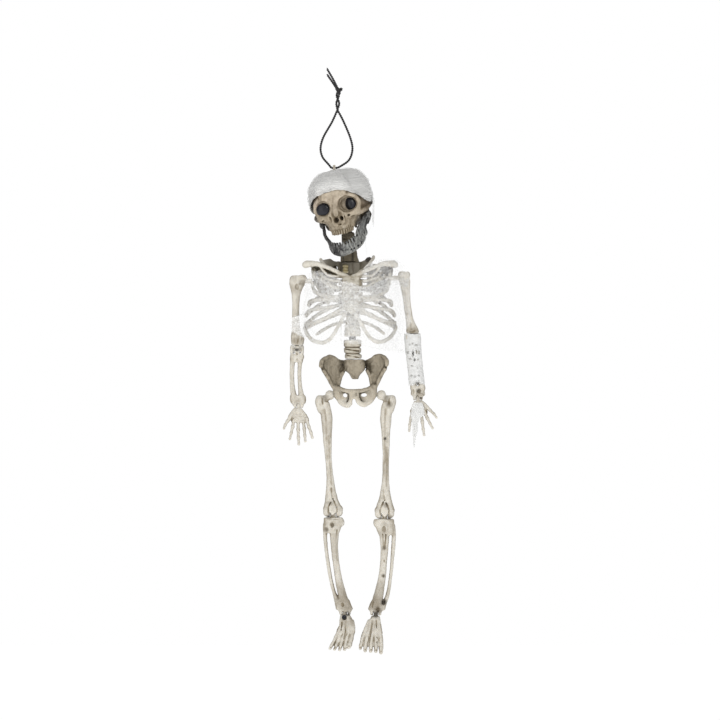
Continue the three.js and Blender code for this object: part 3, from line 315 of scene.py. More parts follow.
    def mesh(self):
        """Surface net: one vertex in every grid cell that the surface crosses."""
        dist = self.dist.copy()
        for axis in range(3):                # closed at the grid's border
            for end in (0, -1):
                face = [slice(None)] * 3
                face[axis] = end
                dist[tuple(face)] = np.maximum(dist[tuple(face)], 0.5)
        inside = dist < 0
        nx, ny, nz = dist.shape
        cells = [inside[i:nx - 1 + i, j:ny - 1 + j, k:nz - 1 + k] for i, j, k in CORNERS]
        crossed = np.logical_or.reduce(cells) & ~np.logical_and.reduce(cells)
        where = np.argwhere(crossed)
        index = np.full(crossed.shape, -1, np.int64)
        index[crossed] = np.arange(len(where))
        total = np.zeros((len(where), 3))
        hits = np.zeros(len(where))
        values = [dist[tuple((where + corner).T)] for corner in CORNERS]
        for a, b in itertools.combinations(range(8), 2):
            start, end = np.array(CORNERS[a]), np.array(CORNERS[b])
            if np.abs(start - end).sum() != 1:
                continue
            cut = (values[a] < 0) != (values[b] < 0)
            t = np.where(cut, values[a] / np.where(cut, values[a] - values[b], 1), 0)[:, None]
            total += np.where(cut[:, None], start + t * (end - start), 0)
            hits += cut
        verts = self.low + self.step * (where + total / hits[:, None])
        quads = []
        for axis in range(3):
            others = [k for k in range(3) if k != axis]
            low, high = [slice(1, -1)] * 3, [slice(1, -1)] * 3
            low[axis], high[axis] = slice(0, -1), slice(1, None)
            here, there = inside[tuple(low)], inside[tuple(high)]
            edge = np.argwhere(here != there)
            if not len(edge):
                continue
            flip = here[tuple(edge.T)]
            edge[:, others] += 1
            u, v = np.zeros(3, int), np.zeros(3, int)
            u[others[0]], v[others[1]] = 1, 1
            quad = np.stack([index[tuple(place.T)]
                             for place in (edge - u - v, edge - v, edge, edge - u)], 1)
            if axis == 1:
                flip = ~flip
            quad[~flip] = quad[~flip][:, ::-1]
            quads.append(quad)
        return verts, np.concatenate(quads)


# ------------------------------------------------------------------ objects
def make_object(name, verts_mm, faces, material, attribute=None):
    """Smooth-shaded object from millimetres; attribute is (name, colours)."""
    mesh = bpy.data.meshes.new(name)
    faces = faces.tolist() if isinstance(faces, np.ndarray) else faces
    mesh.from_pydata((np.asarray(verts_mm) * MM).tolist(), [], faces)
    mesh.polygons.foreach_set("use_smooth", [True] * len(mesh.polygons))
    mesh.materials.append(material)
    if attribute:
        layer = mesh.color_attributes.new(attribute[0], "FLOAT_COLOR", "POINT")
        layer.data.foreach_set("color", np.asarray(attribute[1], F32).ravel())
    mesh.update()
    piece = bpy.data.objects.new(name, mesh)
    bpy.context.scene.collection.objects.link(piece)
    return piece


def register(piece, body, nodes=()):
    if body:
        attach(piece, body)
    if nodes:
        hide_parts(*nodes)
    return piece


def relax(verts, quads, field):
    """Even out the net, then pull its points back onto the surface."""
    edges = np.concatenate([quads[:, [k, (k + 1) % 4]] for k in range(4)])
    for _ in range(2):
        total = np.zeros_like(verts)
        count = np.zeros(len(verts))
        for a, b in ((0, 1), (1, 0)):
            np.add.at(total, edges[:, a], verts[edges[:, b]])
            np.add.at(count, edges[:, a], 1)
        verts = verts * 0.5 + 0.5 * total / np.maximum(count, 1)[:, None]
    normal = field.gradient(verts)
    return verts - normal * np.clip(field.sample(verts), -0.25, 0.25)[:, None]


def bone_object(field, name, body, node, material=None, move=None):
    """Mesh a field; its attribute holds recess, edge and sideways-facing masks, for wash and
    painted shade in the recesses and painted shade on surfaces turned sideways.
    """
    verts, quads = field.mesh()
    verts = relax(verts, quads, field)
    normal = field.gradient(verts)
    recess, edge = np.zeros(len(verts)), np.zeros(len(verts))
    # recess: how closed in each point is, painted as wash and as shade
    for reach, weight in ((0.7, 0.3), (1.5, 0.35), (2.8, 0.35)):
        recess += weight * np.clip(1 - field.sample(verts + normal * reach) / reach, 0, 1)
    for reach, weight in ((0.5, 0.5), (1.0, 0.5)):
        edge += weight * np.clip(1 + field.sample(verts - normal * reach) / reach, 0, 1)
    # sideways-facing mask, painted as shade on surfaces turned away from the front
    side = np.clip(1 - np.abs(normal[:, 1]), 0, 1)
    wash = np.stack([recess, edge, side, np.ones(len(verts))], 1)
    if move:
        verts = move(verts)
    piece = make_object(name, verts, quads, material or PALE, ("wash", wash))
    return register(piece, body, [node] if node else [])


def ring_faces(rings, segments, start_cap=True):
    """Quads between successive rings of vertices, and a cap at each end."""
    faces = []
    for i in range(rings - 1):
        for k in range(segments):
            a, b = i * segments + k, i * segments + (k + 1) % segments
            faces.append((a, b, b + segments, a + segments))
    if start_cap:
        faces.append(tuple(range(segments))[::-1])
    faces.append(tuple(range((rings - 1) * segments, rings * segments)))
    return faces


def clean(piece, weld=False):
    """Point all faces outward, after welding coincident vertices if asked."""
    mesh = bmesh.new()
    mesh.from_mesh(piece.data)
    if weld:
        bmesh.ops.remove_doubles(mesh, verts=mesh.verts, dist=1e-6)
    bmesh.ops.recalc_face_normals(mesh, faces=mesh.faces)
    mesh.to_mesh(piece.data)
    mesh.free()


# ------------------------------------------------------------------ shader graphs
def srgb(*rgb):
    """Linear colour from 8-bit sRGB."""
    return tuple(c / 255 / 12.92 if c / 255 <= 0.04045 else ((c / 255 + 0.055) / 1.055) ** 2.4
                 for c in rgb)


class Signal:
    """A shader output; arithmetic on it adds Math nodes, and & multiplies and clamps."""

    def __init__(self, graph, socket):
        self.graph, self.socket = graph, socket

    def math(self, operation, other=None, clamp=False):
        inputs = {0: self} if other is None else {0: self, 1: other}
        return self.graph.signal("ShaderNodeMath", inputs, operation=operation,
                                 use_clamp=clamp)

    def __add__(self, other):
        return self.math("ADD", other)

    def __sub__(self, other):
        return self.math("SUBTRACT", other)

    def __mul__(self, other):
        return self.math("MULTIPLY", other)

    def __truediv__(self, other):
        return self.math("DIVIDE", other)

    def __pow__(self, other):
        return self.math("POWER", other)

    def __and__(self, other):
        return self.math("MULTIPLY", other, clamp=True)

    def __abs__(self):
        return self.math("ABSOLUTE")

    def ramp(self, start, end, at_start, at_end):
        """Smooth step from at_start to at_end as the signal goes from start to end."""
        inputs = {"Value": self, "From Min": start, "From Max": end,
                  "To Min": at_start, "To Max": at_end}
        return self.graph.signal("ShaderNodeMapRange", inputs, "Result",
                                 interpolation_type="SMOOTHSTEP")

    def rise(self, start, end):
        return self.ramp(start, end, 0.0, 1.0)

    def fall(self, start, end):
        return self.ramp(start, end, 1.0, 0.0)

    def toward(self, colour, amount):
        return self.graph.mix(amount, self, colour)


class Graph:
    """A material's node tree. Positions are object coordinates in metres."""

    def __init__(self, name):
        self.material = bpy.data.materials.new(name)
        self.material.use_nodes = True
        self.tree = self.material.node_tree
        self.tree.nodes.clear()
        self.out = self.node("ShaderNodeOutputMaterial")
        self.place = self.signal("ShaderNodeTexCoord", output="Object")

    def node(self, kind, inputs=None, **settings):
        node = self.tree.nodes.new(kind)
        for key, value in settings.items():
            setattr(node, key, value)
        for key, value in (inputs or {}).items():
            socket = node.inputs[key]
            if isinstance(value, Signal):
                self.tree.links.new(value.socket, socket)
            elif isinstance(value, tuple) and socket.type == "RGBA":
                socket.default_value = (*value, 1.0)
            else:
                socket.default_value = value
        return node

    def signal(self, kind, inputs=None, output=0, **settings):
        return Signal(self, self.node(kind, inputs, **settings).outputs[output])

    def noise(self, scale, detail, rough=0.55, place=None, distortion=0.0):
        inputs = {"Scale": scale, "Detail": detail, "Roughness": rough,
                  "Distortion": distortion, "Vector": place or self.place}
        return self.signal("ShaderNodeTexNoise", inputs, "Fac")

    def mapping(self, place, **changes):
        return self.signal("ShaderNodeMapping", {"Vector": place, **changes}, "Vector")

    def mix(self, amount, first, second):
        return self.signal("ShaderNodeMix", {0: amount, 6: first, 7: second}, 2,
                           data_type="RGBA", blend_type="MIX")

    def position(self):
        node = self.node("ShaderNodeSeparateXYZ", {0: self.place})
        return [Signal(self, output) for output in node.outputs]

    def attribute(self, name):
        """The four channels of a colour attribute."""
        source = self.node("ShaderNodeAttribute", attribute_name=name)
        parts = self.node("ShaderNodeSeparateColor", {0: Signal(self, source.outputs["Color"])})
        return [Signal(self, out) for out in (*parts.outputs, source.outputs["Alpha"])]

    def bump(self, height, distance, strength, under=None):
        inputs = {"Strength": strength, "Distance": distance, "Height": height}
        if under:
            inputs["Normal"] = under
        return self.signal("ShaderNodeBump", inputs, "Normal")

    def surface(self, colour, roughness, specular, normal=None, **extra):
        inputs = {"Base Color": colour, "Roughness": roughness, "Specular IOR Level": specular}
        if normal:
            inputs["Normal"] = normal
        inputs.update({key.replace("_", " "): value for key, value in extra.items()})
        shader = self.node("ShaderNodeBsdfPrincipled", inputs)
        self.tree.links.new(shader.outputs[0], self.out.inputs["Surface"])
        return self.material


# ------------------------------------------------------------------ bone paint
def washed(mat, place, masks, fine, light, mid, dark, wash, streak):
    """Thin brown wash and painted shade in the hollows, painted shade on surfaces turned sideways,
    pale rubbed edges; the darkening starts and is full over the given range.
    """
    recess, edge, side = masks
    patches = mat.noise(scale=55, detail=4, rough=0.55, place=place)
    drawn = mat.mapping(place, Scale=(1.0, 1.0, 0.16))
    streaks = mat.noise(scale=520, detail=4, rough=0.6, place=drawn)
    # hollows hold the wash and painted shade, with loose patches and streaks
    amount = recess + (patches - 0.5) * 0.42
    amount = amount + (streaks - 0.5) * streak
    amount = amount - edge * 0.22
    # painted shade on surfaces turned sideways to the front
    amount = amount + side ** 2.2 * 0.36
    # the deepest hollows go nearly black: wash and painted shade
    deep_shade = (recess + (fine - 0.5) * 0.6).rise(0.50, 1.0)
    colour = mat.mix(amount.rise(*wash), light, mid).toward(dark, deep_shade)
    rubbed = edge.rise(0.45, 0.95) & fine.rise(0.35, 0.65)
    brighter = tuple(min(1.0, c * 1.22 + 0.02) for c in light)
    colour = colour.toward(brighter, rubbed * 0.45)
    specks = mat.noise(scale=900, detail=2, rough=0.5, place=place).rise(0.62, 0.74)
    colour = colour.toward(mid, specks * 0.45)
    stains = mat.noise(scale=150, detail=4, rough=0.6, place=place).rise(0.52, 0.72)
    return colour.toward(mid, stains * 0.30)


def bone_material(name, seed, tint=None, gloss=0.55, **paint):
    """Moulded plastic; seed shifts the noise, gloss is the lowest roughness."""
    mat = Graph(name)
    # masks for wash and painted shade (recess, side) and for rubbed edges
    recess, edge, side, _ = mat.attribute("wash")
    place = mat.mapping(mat.place, Location=(seed, seed * 0.7, seed * 1.3))
    fine = mat.noise(scale=420, detail=5, rough=0.6, place=place)
    grain = mat.noise(scale=1500, detail=3, rough=0.6, place=place)
    colour = washed(mat, place, (recess, edge, side), fine, **paint) if paint else None
    if tint:
        colour = tint(mat, colour, recess, edge, fine)
    normal = mat.bump(grain, distance=0.00012, strength=0.35)
    normal = mat.bump(fine, distance=0.00035, strength=0.35, under=normal)
    return mat.surface(
        colour, fine.ramp(0.3, 0.7, gloss, gloss + 0.18), specular=0.3, normal=normal,
        Subsurface_Weight=0.06, Subsurface_Radius=(0.004, 0.003, 0.002), Subsurface_Scale=0.3)


# nose holes: x, z, radius in metres
NOSE_HOLES = [(0.00165, -0.04636, 0.0024), (0.00602, -0.04488, 0.0021),
              (0.00479, -0.04999, 0.0012)]


def face_tint(mat, colour, recess, edge, fine):
    """Olive-brown lower face and left cheek, painted shade in the left temple and the nose holes,
    nearly black-brown base behind the jaw.
    """
    x, y, z = mat.position()
    patch = (mat.noise(scale=120, detail=4, rough=0.6) - 0.5) * 0.012
    low = (z + patch).fall(-0.046, -0.030)
    colour = colour.toward(srgb(118, 108, 86), low * 0.42)
    cheek = (x + patch).rise(0.0165, 0.0225) & z.fall(-0.047, -0.040)
    colour = colour.toward(srgb(82, 73, 60), cheek * 0.6)
    # painted shade in the hollow of the left temple
    temple_shade = (x + patch).rise(0.0195, 0.0245) & y.rise(-0.0225, -0.017)
    colour = colour.toward(srgb(96, 82, 66), temple_shade * 0.55)
    under = y.rise(-0.0175, -0.011) & z.fall(-0.045, -0.038)
    colour = colour.toward(srgb(62, 58, 52), under * 0.9)
    # painted shade inside the nose holes
    for hole_x, hole_z, radius in NOSE_HOLES:
        dx, dz = x - hole_x, z - hole_z
        away = (dx * dx + dz * dz).math("SQRT")
        hole = away.fall(radius * 0.6, radius * 1.15) & y.rise(-0.0262, -0.0245)
        colour = colour.toward(srgb(52, 42, 30), hole * 0.50)
    pink = mat.noise(scale=60, detail=3, rough=0.5).rise(0.45, 0.65) & x.fall(-0.020, -0.010)
    colour = colour.toward(srgb(170, 148, 140), pink * 0.35)
    mottle = mat.noise(scale=300, detail=5, rough=0.65).rise(0.46, 0.64)
    colour = colour.toward(srgb(92, 80, 62), mottle * 0.34)
    pale = mat.noise(scale=210, detail=4, rough=0.6).rise(0.56, 0.72)
    return colour.toward(srgb(196, 186, 168), pale * 0.35)


BREAST_BONE_X = 0.01386
SMALL_VERTEBRA = (0.00924, -0.08539)     # x, z


def rib_tint(mat, colour, recess, edge, fine):
    """Painted shade on the back of the cage, painted shade lines between the breast bone's
    cartilage rows, and a cream vertebra in front of the post.
    """
    x, y, z = mat.position()
    # painted shade on the back of the cage seen through the front ribs, lighter at the far -x side
    deep_shade = y.rise(0.0005, 0.0025) & z.rise(-0.122, -0.090)
    deep_shade = deep_shade & x.ramp(-0.01171, -0.00264, 0.62, 1.0)
    colour = colour.toward(srgb(84, 77, 61), deep_shade * 0.84)
    middle = abs(x - BREAST_BONE_X).fall(0.008, 0.013) & y.rise(-0.019, -0.022)
    middle = middle & z.rise(-0.12622, -0.11138)
    # painted shade lines in the gaps between the breast bone's cartilage rows
    gap_shade_bands = (z * 1750.0).math("SINE").rise(-0.5, 0.7)
    gap_shade_bands = gap_shade_bands & fine.rise(0.30, 0.62)
    colour = colour.toward(srgb(164, 157, 140), middle * 0.42)
    colour = colour.toward(srgb(120, 110, 90), (middle & gap_shade_bands) * 0.55)
    wedge = x.rise(0.02525, 0.02656) & z.rise(-0.08069, -0.0792)
    wedge = wedge & y.rise(0.003, 0.006)
    colour = colour.toward(srgb(40, 35, 33), wedge * 0.9)
    dx, dz = x - SMALL_VERTEBRA[0], z - SMALL_VERTEBRA[1]
    away = (dx * dx * 3.2 + dz * dz).math("SQRT")
    depth = y.rise(0.0022, 0.0014) & y.rise(-0.008, -0.006)
    return colour.toward(srgb(178, 164, 120), (away.fall(0.0040, 0.0052) & depth) * 0.8)


def pelvis_tint(mat, colour, recess, edge, fine):
    """Pubic bars and lower rings are paler away from the hollows; the wings stay brown."""
    z = mat.position()[2]
    patch = (mat.noise(scale=150, detail=4, rough=0.6) - 0.5) * 0.008
    exposed = recess.fall(0.30, 0.62)
    low = (z + patch).fall(-0.18727, -0.18067) & exposed
    colour = colour.toward(srgb(206, 198, 182), low * 0.38)
    rings = (z + patch).fall(-0.19635, -0.1914) & exposed
    colour = colour.toward(srgb(214, 210, 200), rings * 0.55)
    rim = edge.rise(0.10, 0.42) & exposed
    return colour.toward(srgb(196, 187, 168), rim * 0.30)


BROWN, SHADE_DUSK, SHADE_BLACK = srgb(120, 108, 88), srgb(84, 73, 56), srgb(30, 26, 22)
# wash stains on the limbs, and painted shade at the joints where the dusk and black spots sit in
# joint gaps, pits and holes: x, z, radius in mm, strength, colour
STAINS_AND_SHADE = [
    (8.09, -353.92, 14, 0.42, BROWN), (35.31, -352.27, 14, 0.36, BROWN),
    (1.49, -313.5, 14, 0.22, BROWN), (8.91, -358.88, 9, 0.40, BROWN),
    (9.74, -367.12, 5.5, 0.55, BROWN), (33.66, -361.35, 9, 0.62, BROWN),
    (36.14, -367.12, 4.2, 0.85, SHADE_DUSK), (40.84, -360.52, 3.4, 0.95, SHADE_BLACK),
    (-1.65, -297, 3, 0.75, SHADE_DUSK), (-6.27, -300.71, 2.8, 0.70, SHADE_DUSK),
    (41.09, -303.6, 6, 0.40, BROWN), (41.25, -315.97, 2.6, 0.55, SHADE_DUSK),
    (40.51, -338.83, 2.2, 0.85, SHADE_DUSK), (-2.64, -278.85, 3, 0.50, SHADE_DUSK),
    (42.74, -280.5, 3, 0.50, SHADE_DUSK), (-4.29, -290.4, 3.4, 0.60, SHADE_DUSK),
    (45.21, -290.4, 3.4, 0.60, SHADE_DUSK), (41.99, -225.64, 1.9, 0.90, SHADE_BLACK),
    (42.74, -251.62, 9, 0.35, BROWN), (-6.76, -216.97, 9, 0.28, BROWN),
    (45.21, -197.17, 3.6, 0.65, SHADE_DUSK), (-7.59, -192.22, 3.6, 0.55, SHADE_DUSK),
    (42.74, -192.22, 3.2, 0.55, SHADE_DUSK), (-30.69, -152.46, 2, 0.90, SHADE_BLACK),
    (-30.69, -145.2, 4.5, 0.60, BROWN), (-31.51, -134.47, 7, 0.22, BROWN),
    (-33.16, -103.12, 5, 0.30, BROWN), (-26.56, -97.35, 3.5, 0.45, SHADE_DUSK),
    (59.24, -97.35, 4, 0.50, BROWN), (65.01, -136.95, 5.5, 0.60, BROWN),
    (69.55, -186.45, 2.8, 0.85, SHADE_BLACK), (70.79, -191.4, 5.5, 0.50, BROWN),
    (-29.86, -195.52, 4.5, 0.30, BROWN), (8.09, -377.02, 5, 0.45, BROWN),
    (13.86, -377.02, 5, 0.40, BROWN), (10.97, -370.01, 2.8, 0.80, SHADE_BLACK),
    (34.07, -370.92, 3.6, 0.75, SHADE_BLACK), (32.01, -380.32, 6, 0.30, BROWN)]


def limb_tint(mat, colour, recess, edge, fine):
    """Ragged patches of wash and painted shade, mostly at the joints; the darkest sit in joint
    gaps, pits and holes.
    """
    ragged = (mat.noise(scale=330, detail=4, rough=0.65) - 0.5) * 0.9
    for x, z, radius, strength, stain_and_shade_colour in STAINS_AND_SHADE:
        flat = mat.signal("ShaderNodeVectorMath", {0: mat.place, 1: (1, 0.55, 1)},
                          operation="MULTIPLY")
        away = mat.signal("ShaderNodeVectorMath", {0: flat, 1: (x / 1000, -0.0012, z / 1000)},
                          "Value", operation="DISTANCE")
        reach = away / (radius / 1000) + ragged * 0.8
        # brown spots are wash stains; dusk and black spots are painted shade in joint gaps, pits
        # and holes
        colour = colour.toward(stain_and_shade_colour, reach.fall(0.25, 1.15) * strength)
    return colour


def neck_tint(mat, colour, recess, edge, fine):
    """Two black seams and a paler ground on the lower neck."""
    x, _, z = mat.position()
    below = z.fall(-0.0693, -0.06683)
    for seam_x in (0.00742, 0.01535):
        band = abs(x - seam_x).fall(0.0003, 0.0009)
        colour = colour.toward(srgb(20, 18, 16), band * below * 0.85)
    return colour.toward(srgb(128, 120, 100), below * 0.25)


def jaw_tint(mat, colour, recess, edge, fine):
    """Black base coat with silver dry-brushed on the grain, heavier and brighter on the left half
    as painted light, less so up the ramus as painted shade under the cheek; the deepest hollows get
    painted shade.
    """
    x, _, z = mat.position()
    drawn = mat.mapping(mat.place, Scale=(1.0, 1.0, 0.35), Rotation=(0, 0.5, 0))
    grain = mat.noise(scale=640, detail=5, rough=0.7, place=drawn)
    # painted light: the left half is lit, fading up the ramus into painted shade under the cheek
    left = x.rise(0.002, 0.012) * z.ramp(-0.05857, -0.04702, 1.0, 0.35)
    amount = grain + left * 0.09 + edge * 0.10 - recess * 0.25
    # lit and shaded copies of the silver
    silver = mat.mix(left, srgb(112, 111, 109), srgb(142, 143, 139))
    colour = mat.mix(amount.rise(0.42, 0.68), srgb(38, 37, 37), silver)
    # painted shade in the deepest hollows
    return colour.toward(srgb(20, 20, 20), recess.rise(0.5, 0.9))


PALE = bone_material(
    "pale_bone_plastic", seed=0.0, tint=limb_tint, wash=(-0.08, 0.56), streak=0.46,
    light=srgb(206, 201, 190), mid=srgb(138, 127, 107), dark=srgb(46, 36, 25))
FACE = bone_material(
    "skull_plastic", seed=1.3, tint=face_tint, wash=(-0.04, 0.40), streak=0.44,
    light=srgb(184, 171, 152), mid=srgb(104, 90, 70), dark=srgb(32, 24, 15))
PELVIS = bone_material(
    "pelvis_plastic", seed=2.1, tint=pelvis_tint, wash=(-0.08, 0.36), streak=0.46,
    light=srgb(168, 158, 140), mid=srgb(84, 76, 60), dark=srgb(32, 26, 18))
LUMBAR = bone_material(
    "lumbar_plastic", seed=4.4, wash=(0.03, 0.42), streak=0.44,
    light=srgb(208, 202, 188), mid=srgb(118, 106, 86), dark=srgb(34, 27, 18))
RIBS = bone_material(
    "rib_plastic", seed=3.7, tint=rib_tint, wash=(-0.06, 0.48), streak=0.46,
    light=srgb(212, 207, 196), mid=srgb(126, 117, 98), dark=srgb(40, 32, 22))
NECK = bone_material(
    "neck_plastic", seed=5.2, tint=neck_tint, wash=(0.0, 0.46), streak=0.44,
    light=srgb(108, 100, 84), mid=srgb(74, 67, 54), dark=srgb(26, 22, 17))
JAW = bone_material("jaw_plastic", seed=7.1, tint=jaw_tint, gloss=0.42)


# ------------------------------------------------------------------ other materials
def mottled(name, noise, colours, roughness, specular, spread=(0.3, 0.7), bump=None,
            bump_noise=None, **extra):
    """Two colours mixed by noise; spread is the noise range over which they change."""
    mat = Graph(name)
    spots = mat.noise(**noise)
    colour = mat.mix(spots.rise(*spread), *colours)
    if bump:
        height = mat.noise(**bump_noise) if bump_noise else spots
        extra["normal"] = mat.bump(height, **bump)
    if isinstance(roughness, tuple):
        roughness = spots.ramp(0.3, 0.7, *roughness)
    return mat.surface(colour, roughness, specular, **extra)


GLOSS = mottled("eye_gloss_black", dict(scale=260, detail=3), (srgb(14, 14, 18), srgb(28, 28, 38)),
                roughness=(0.24, 0.40), specular=0.35, spread=(0.35, 0.7),
                bump=dict(distance=0.0004, strength=0.35), bump_noise=dict(scale=420, detail=3))
CORD = mottled("cord_black_waxed", dict(scale=1600, detail=4),
               (srgb(14, 14, 15), srgb(46, 45, 46)),
               roughness=(0.5, 0.75), specular=0.3, spread=(0.35, 0.75),
               bump=dict(distance=0.00012, strength=0.6),
               bump_noise=dict(scale=2600, detail=3), Sheen_Weight=0.15)
PIN = mottled("pin_dark_plastic", dict(scale=900, detail=4), (srgb(34, 30, 25), srgb(66, 59, 48)),
              roughness=(0.4, 0.4 + 0.2), specular=0.5, bump=dict(distance=0.00015, strength=0.4))
# black pins for the ankles: the black is painted shade for the dark gaps there
PIN_SHADE_BLACK = mottled("pin_black_shade_plastic", dict(scale=900, detail=4),
                    (srgb(12, 10, 9), srgb(26, 22, 19)), roughness=(0.6, 0.6 + 0.2),
                    specular=0.15, bump=dict(distance=0.00015, strength=0.4))


def rivet(name, node, body, a, b, radius, head_radius=None, material=PIN, slot="pin_plastic"):
    """Turned pin with a rounded head and a shallow centre dimple at each end."""
    segments = 32
    a, b = np.array(a, float), np.array(b, float)
    length = np.linalg.norm(b - a)
    axis = (b - a) / length
    across = np.cross(axis, [0, 0, 1.0] if abs(axis[2]) < 0.9 else [0, 1.0, 0])
    across /= np.linalg.norm(across)
    other = np.cross(axis, across)
    head_r = head_radius or radius
    # radius, distance from the end
    profile = [(0.0, 0.22), (0.3 * head_r, 0.2), (0.45 * head_r, 0.06), (0.75 * head_r, 0.02),
               (0.94 * head_r, 0.16), (head_r, 0.42), (head_r, 0.7), (radius, 0.86)]
    profile += [(r, length - t) for r, t in profile[::-1]]
    verts = []
    for r, t in profile:
        for k in range(segments):
            angle = TURN * k / segments
            outward = across * math.cos(angle) + other * math.sin(angle)
            verts.append(a + axis * t + outward * max(r, 0.01))
    piece = make_object(name, verts, ring_faces(len(profile), segments), material)
    clean(piece)
    register(piece, body, [node])


def cross_rivet(name, node, body, pivot, half, radius, **finish):
    x, y, z = pivot
    rivet(name, node, body, (x - half, y, z), (x + half, y, z), radius, **finish)


# ------------------------------------------------------------------ head
# modelled upright about its own centre, then tilted, turned and moved into place
HEAD_TURN = rotation(ry=-12.2) @ rotation(rz=-13)
HEAD_CENTRE = np.array([5.61, 0.0, -28.875])


def head(points):
    return np.asarray(points) @ HEAD_TURN.T + HEAD_CENTRE


# tubes on each side of the skull: stations for the left side, blend, stretch
SKULL_TUBES = [
    # brow ridge round the top of the socket
    ([(1.5, -1.4, -25.8, 2.4), (6, 1.6, -26.2, 2.5), (11.5, 2.4, -24.2, 2.5),
      (16.8, -0.2, -19.8, 2.1), (18.3, -5.5, -17.6, 1.9)], 2.2, (1, 1, 1)),
    # lower rim of the socket
    ([(18.3, -5, -17.6, 1.9), (17, -9.8, -18.8, 2.3), (13, -13, -21.4, 2.9),
      (7.5, -13.3, -23.2, 2.7), (4.2, -9.5, -25.2, 2.2)], 1.8, (1, 1, 1)),
    # cheek arch
    ([(13, -13.4, -20.6, 3), (18.2, -12.6, -15.5, 2.4), (21.3, -11.4, -9.5, 1.8),
      (22.4, -9.8, -4, 1.5), (21.6, -8.4, 1, 1.4)], 1.4, (1, 1, 1)),
    # strut from the cheek down to the upper jaw
    ([(11.5, -13, -20, 3.2), (10.6, -17.5, -18.8, 2.6), (9.4, -22, -17, 2)], 2.5, (1, 1, 1)),
    # bony plate behind the upper jaw
    ([(8.5, -13, -9.5, 2), (9.2, -19, -8.5, 1.7), (9.6, -24.2, -8.2, 1.1)], 1.6, (0.9, 1.5, 1))]


def skull_bones(bone):
    bone.ball((0, 0, 0), (23.5, 27.8, 23.8))
    for side in (-1, 1):                        # temples fall in behind the brow
        bone.ball((side * 27.5, -15.5, 1), (6.2, 11, 10), 4, CUT)
    bone.ball((0, -26.6, 10), (14, 2.4, 8), 5)                       # forehead boss
    bone.ball((0, -15.5, -12.5), (14.5, 10.2, 11), 4)                # cheeks
    bone.rings([(0, -13, -16.2, 12.2, 9.6), (0, -18.5, -16.6, 10.4, 9.2),
                (0, -23, -17.2, 9.5, 8.9), (0, -27.2, -17.5, 8.9, 8.6)], 2.5)   # upper jaw
    bone.ball((0, -6, -14.5), (14.5, 8, 9.5), 3)                     # skull base
    for side in (-1, 1):
        for stations, blend, stretch in SKULL_TUBES:
            bone.tube(mirror(side, stations), blend, stretch=stretch)
        bone.ball((side * 16.4, 8, -16.5), (3.6, 4.6, 6.2), 3)       # mastoid
        bone.tube(mirror(side, [(12, -18.8, 13, 1.8), (7, -20.2, 20, 2),
                                (0.5, -20.6, 22.5, 2)]), 3)
    # nose bones
    bone.tube([(0, 0, -25.6, 2.4), (0, -4, -26.3, 2), (0, -8, -27.4, 2.2),
               (0, -11.5, -28.2, 2.3)], 2)
    for side in (-1, 1):
        bone.tube(mirror(side, [(2.6, -4, -25, 1.6), (4.2, -9.5, -25, 1.8),
                                (4.8, -14.5, -24.8, 1.6), (4, -18.5, -25.2, 1.4),
                                (1.2, -20.4, -26.2, 1.2)]), 1.6)


def skull_openings(bone):
    # eye sockets
    bone.ball((-10.7, -26.5, -4.9), (6.15, 10, 6.1), 1, CUT, rotation(rz=8))
    bone.ball((10.2, -26.5, -5), (7.1, 12.5, 6.5), 1, CUT, rotation(rz=-8))
    # raised lip round each: centre x, half width, half height, depth
    for lip_x, half_x, half_z, depth in ((-10.7, 6.5, 6.4, -22.8), (10.2, 7.4, 6.8, -22.9)):
        lip = []
        for i in range(25):
            angle = TURN * i / 24
            x = lip_x + half_x * math.cos(angle)
            lip.append((x, -4.9 + half_z * math.sin(angle),
                        depth + 0.020 * x * x - 1.3 * math.sin(angle), 0.75))
        bone.tube(lip, 1.5, steps=1)
    # nose holes and the small pit below them
    bone.ball((-1.4, -26.6, -16.2), (1.95, 6.2, 2.2), 0.3, CUT, rotation(ry=10))
    bone.ball((3.2, -26.6, -15.4), (1.6, 6.2, 2.05), 0.3, CUT, rotation(ry=-10))
    bone.pit((1, -27.4, -20.3), (1.3, 2, 0.75))
    # furrows from the inner corners of the eyes, and from the cheeks, to the tooth row
    for side in (-1, 1):
        bone.tube(mirror(side, [(4.6, -4.5, -25.6, 0.35), (6, -9.5, -26, 0.5),
                                (5.8, -14.5, -26, 0.5), (6.6, -19.5, -25.4, 0.35)]), 0.6, CUT)
        bone.tube(mirror(side, [(16.5, -12.9, -19.6, 0.3), (13, -15, -22.6, 0.34),
                                (9.6, -16.6, -24.9, 0.3)]), 0.5, CUT)
    bone.ball((-12.4, -23.2, -14.3), (1.5, 1.4, 0.42), 0.5, CUT, rotation(ry=-8))
    bone.pit((9.3, -24.2, -14.2), (1.1, 1.8, 0.7), 0.5)
    bone.ball((13.2, -22.6, -13.1), (1.8, 1.2, 0.4), 0.4, CUT, rotation(ry=-25))
    for side in (-1, 1):                        # hollow cheeks beside the tooth row
        bone.pit((side * 14.2, -22, -20.5), (4.3, 6, 4.6), 2)
        bone.pit((side * 17.6, -8.5, -15), (2.6, 5.5, 5.5), 1.5)


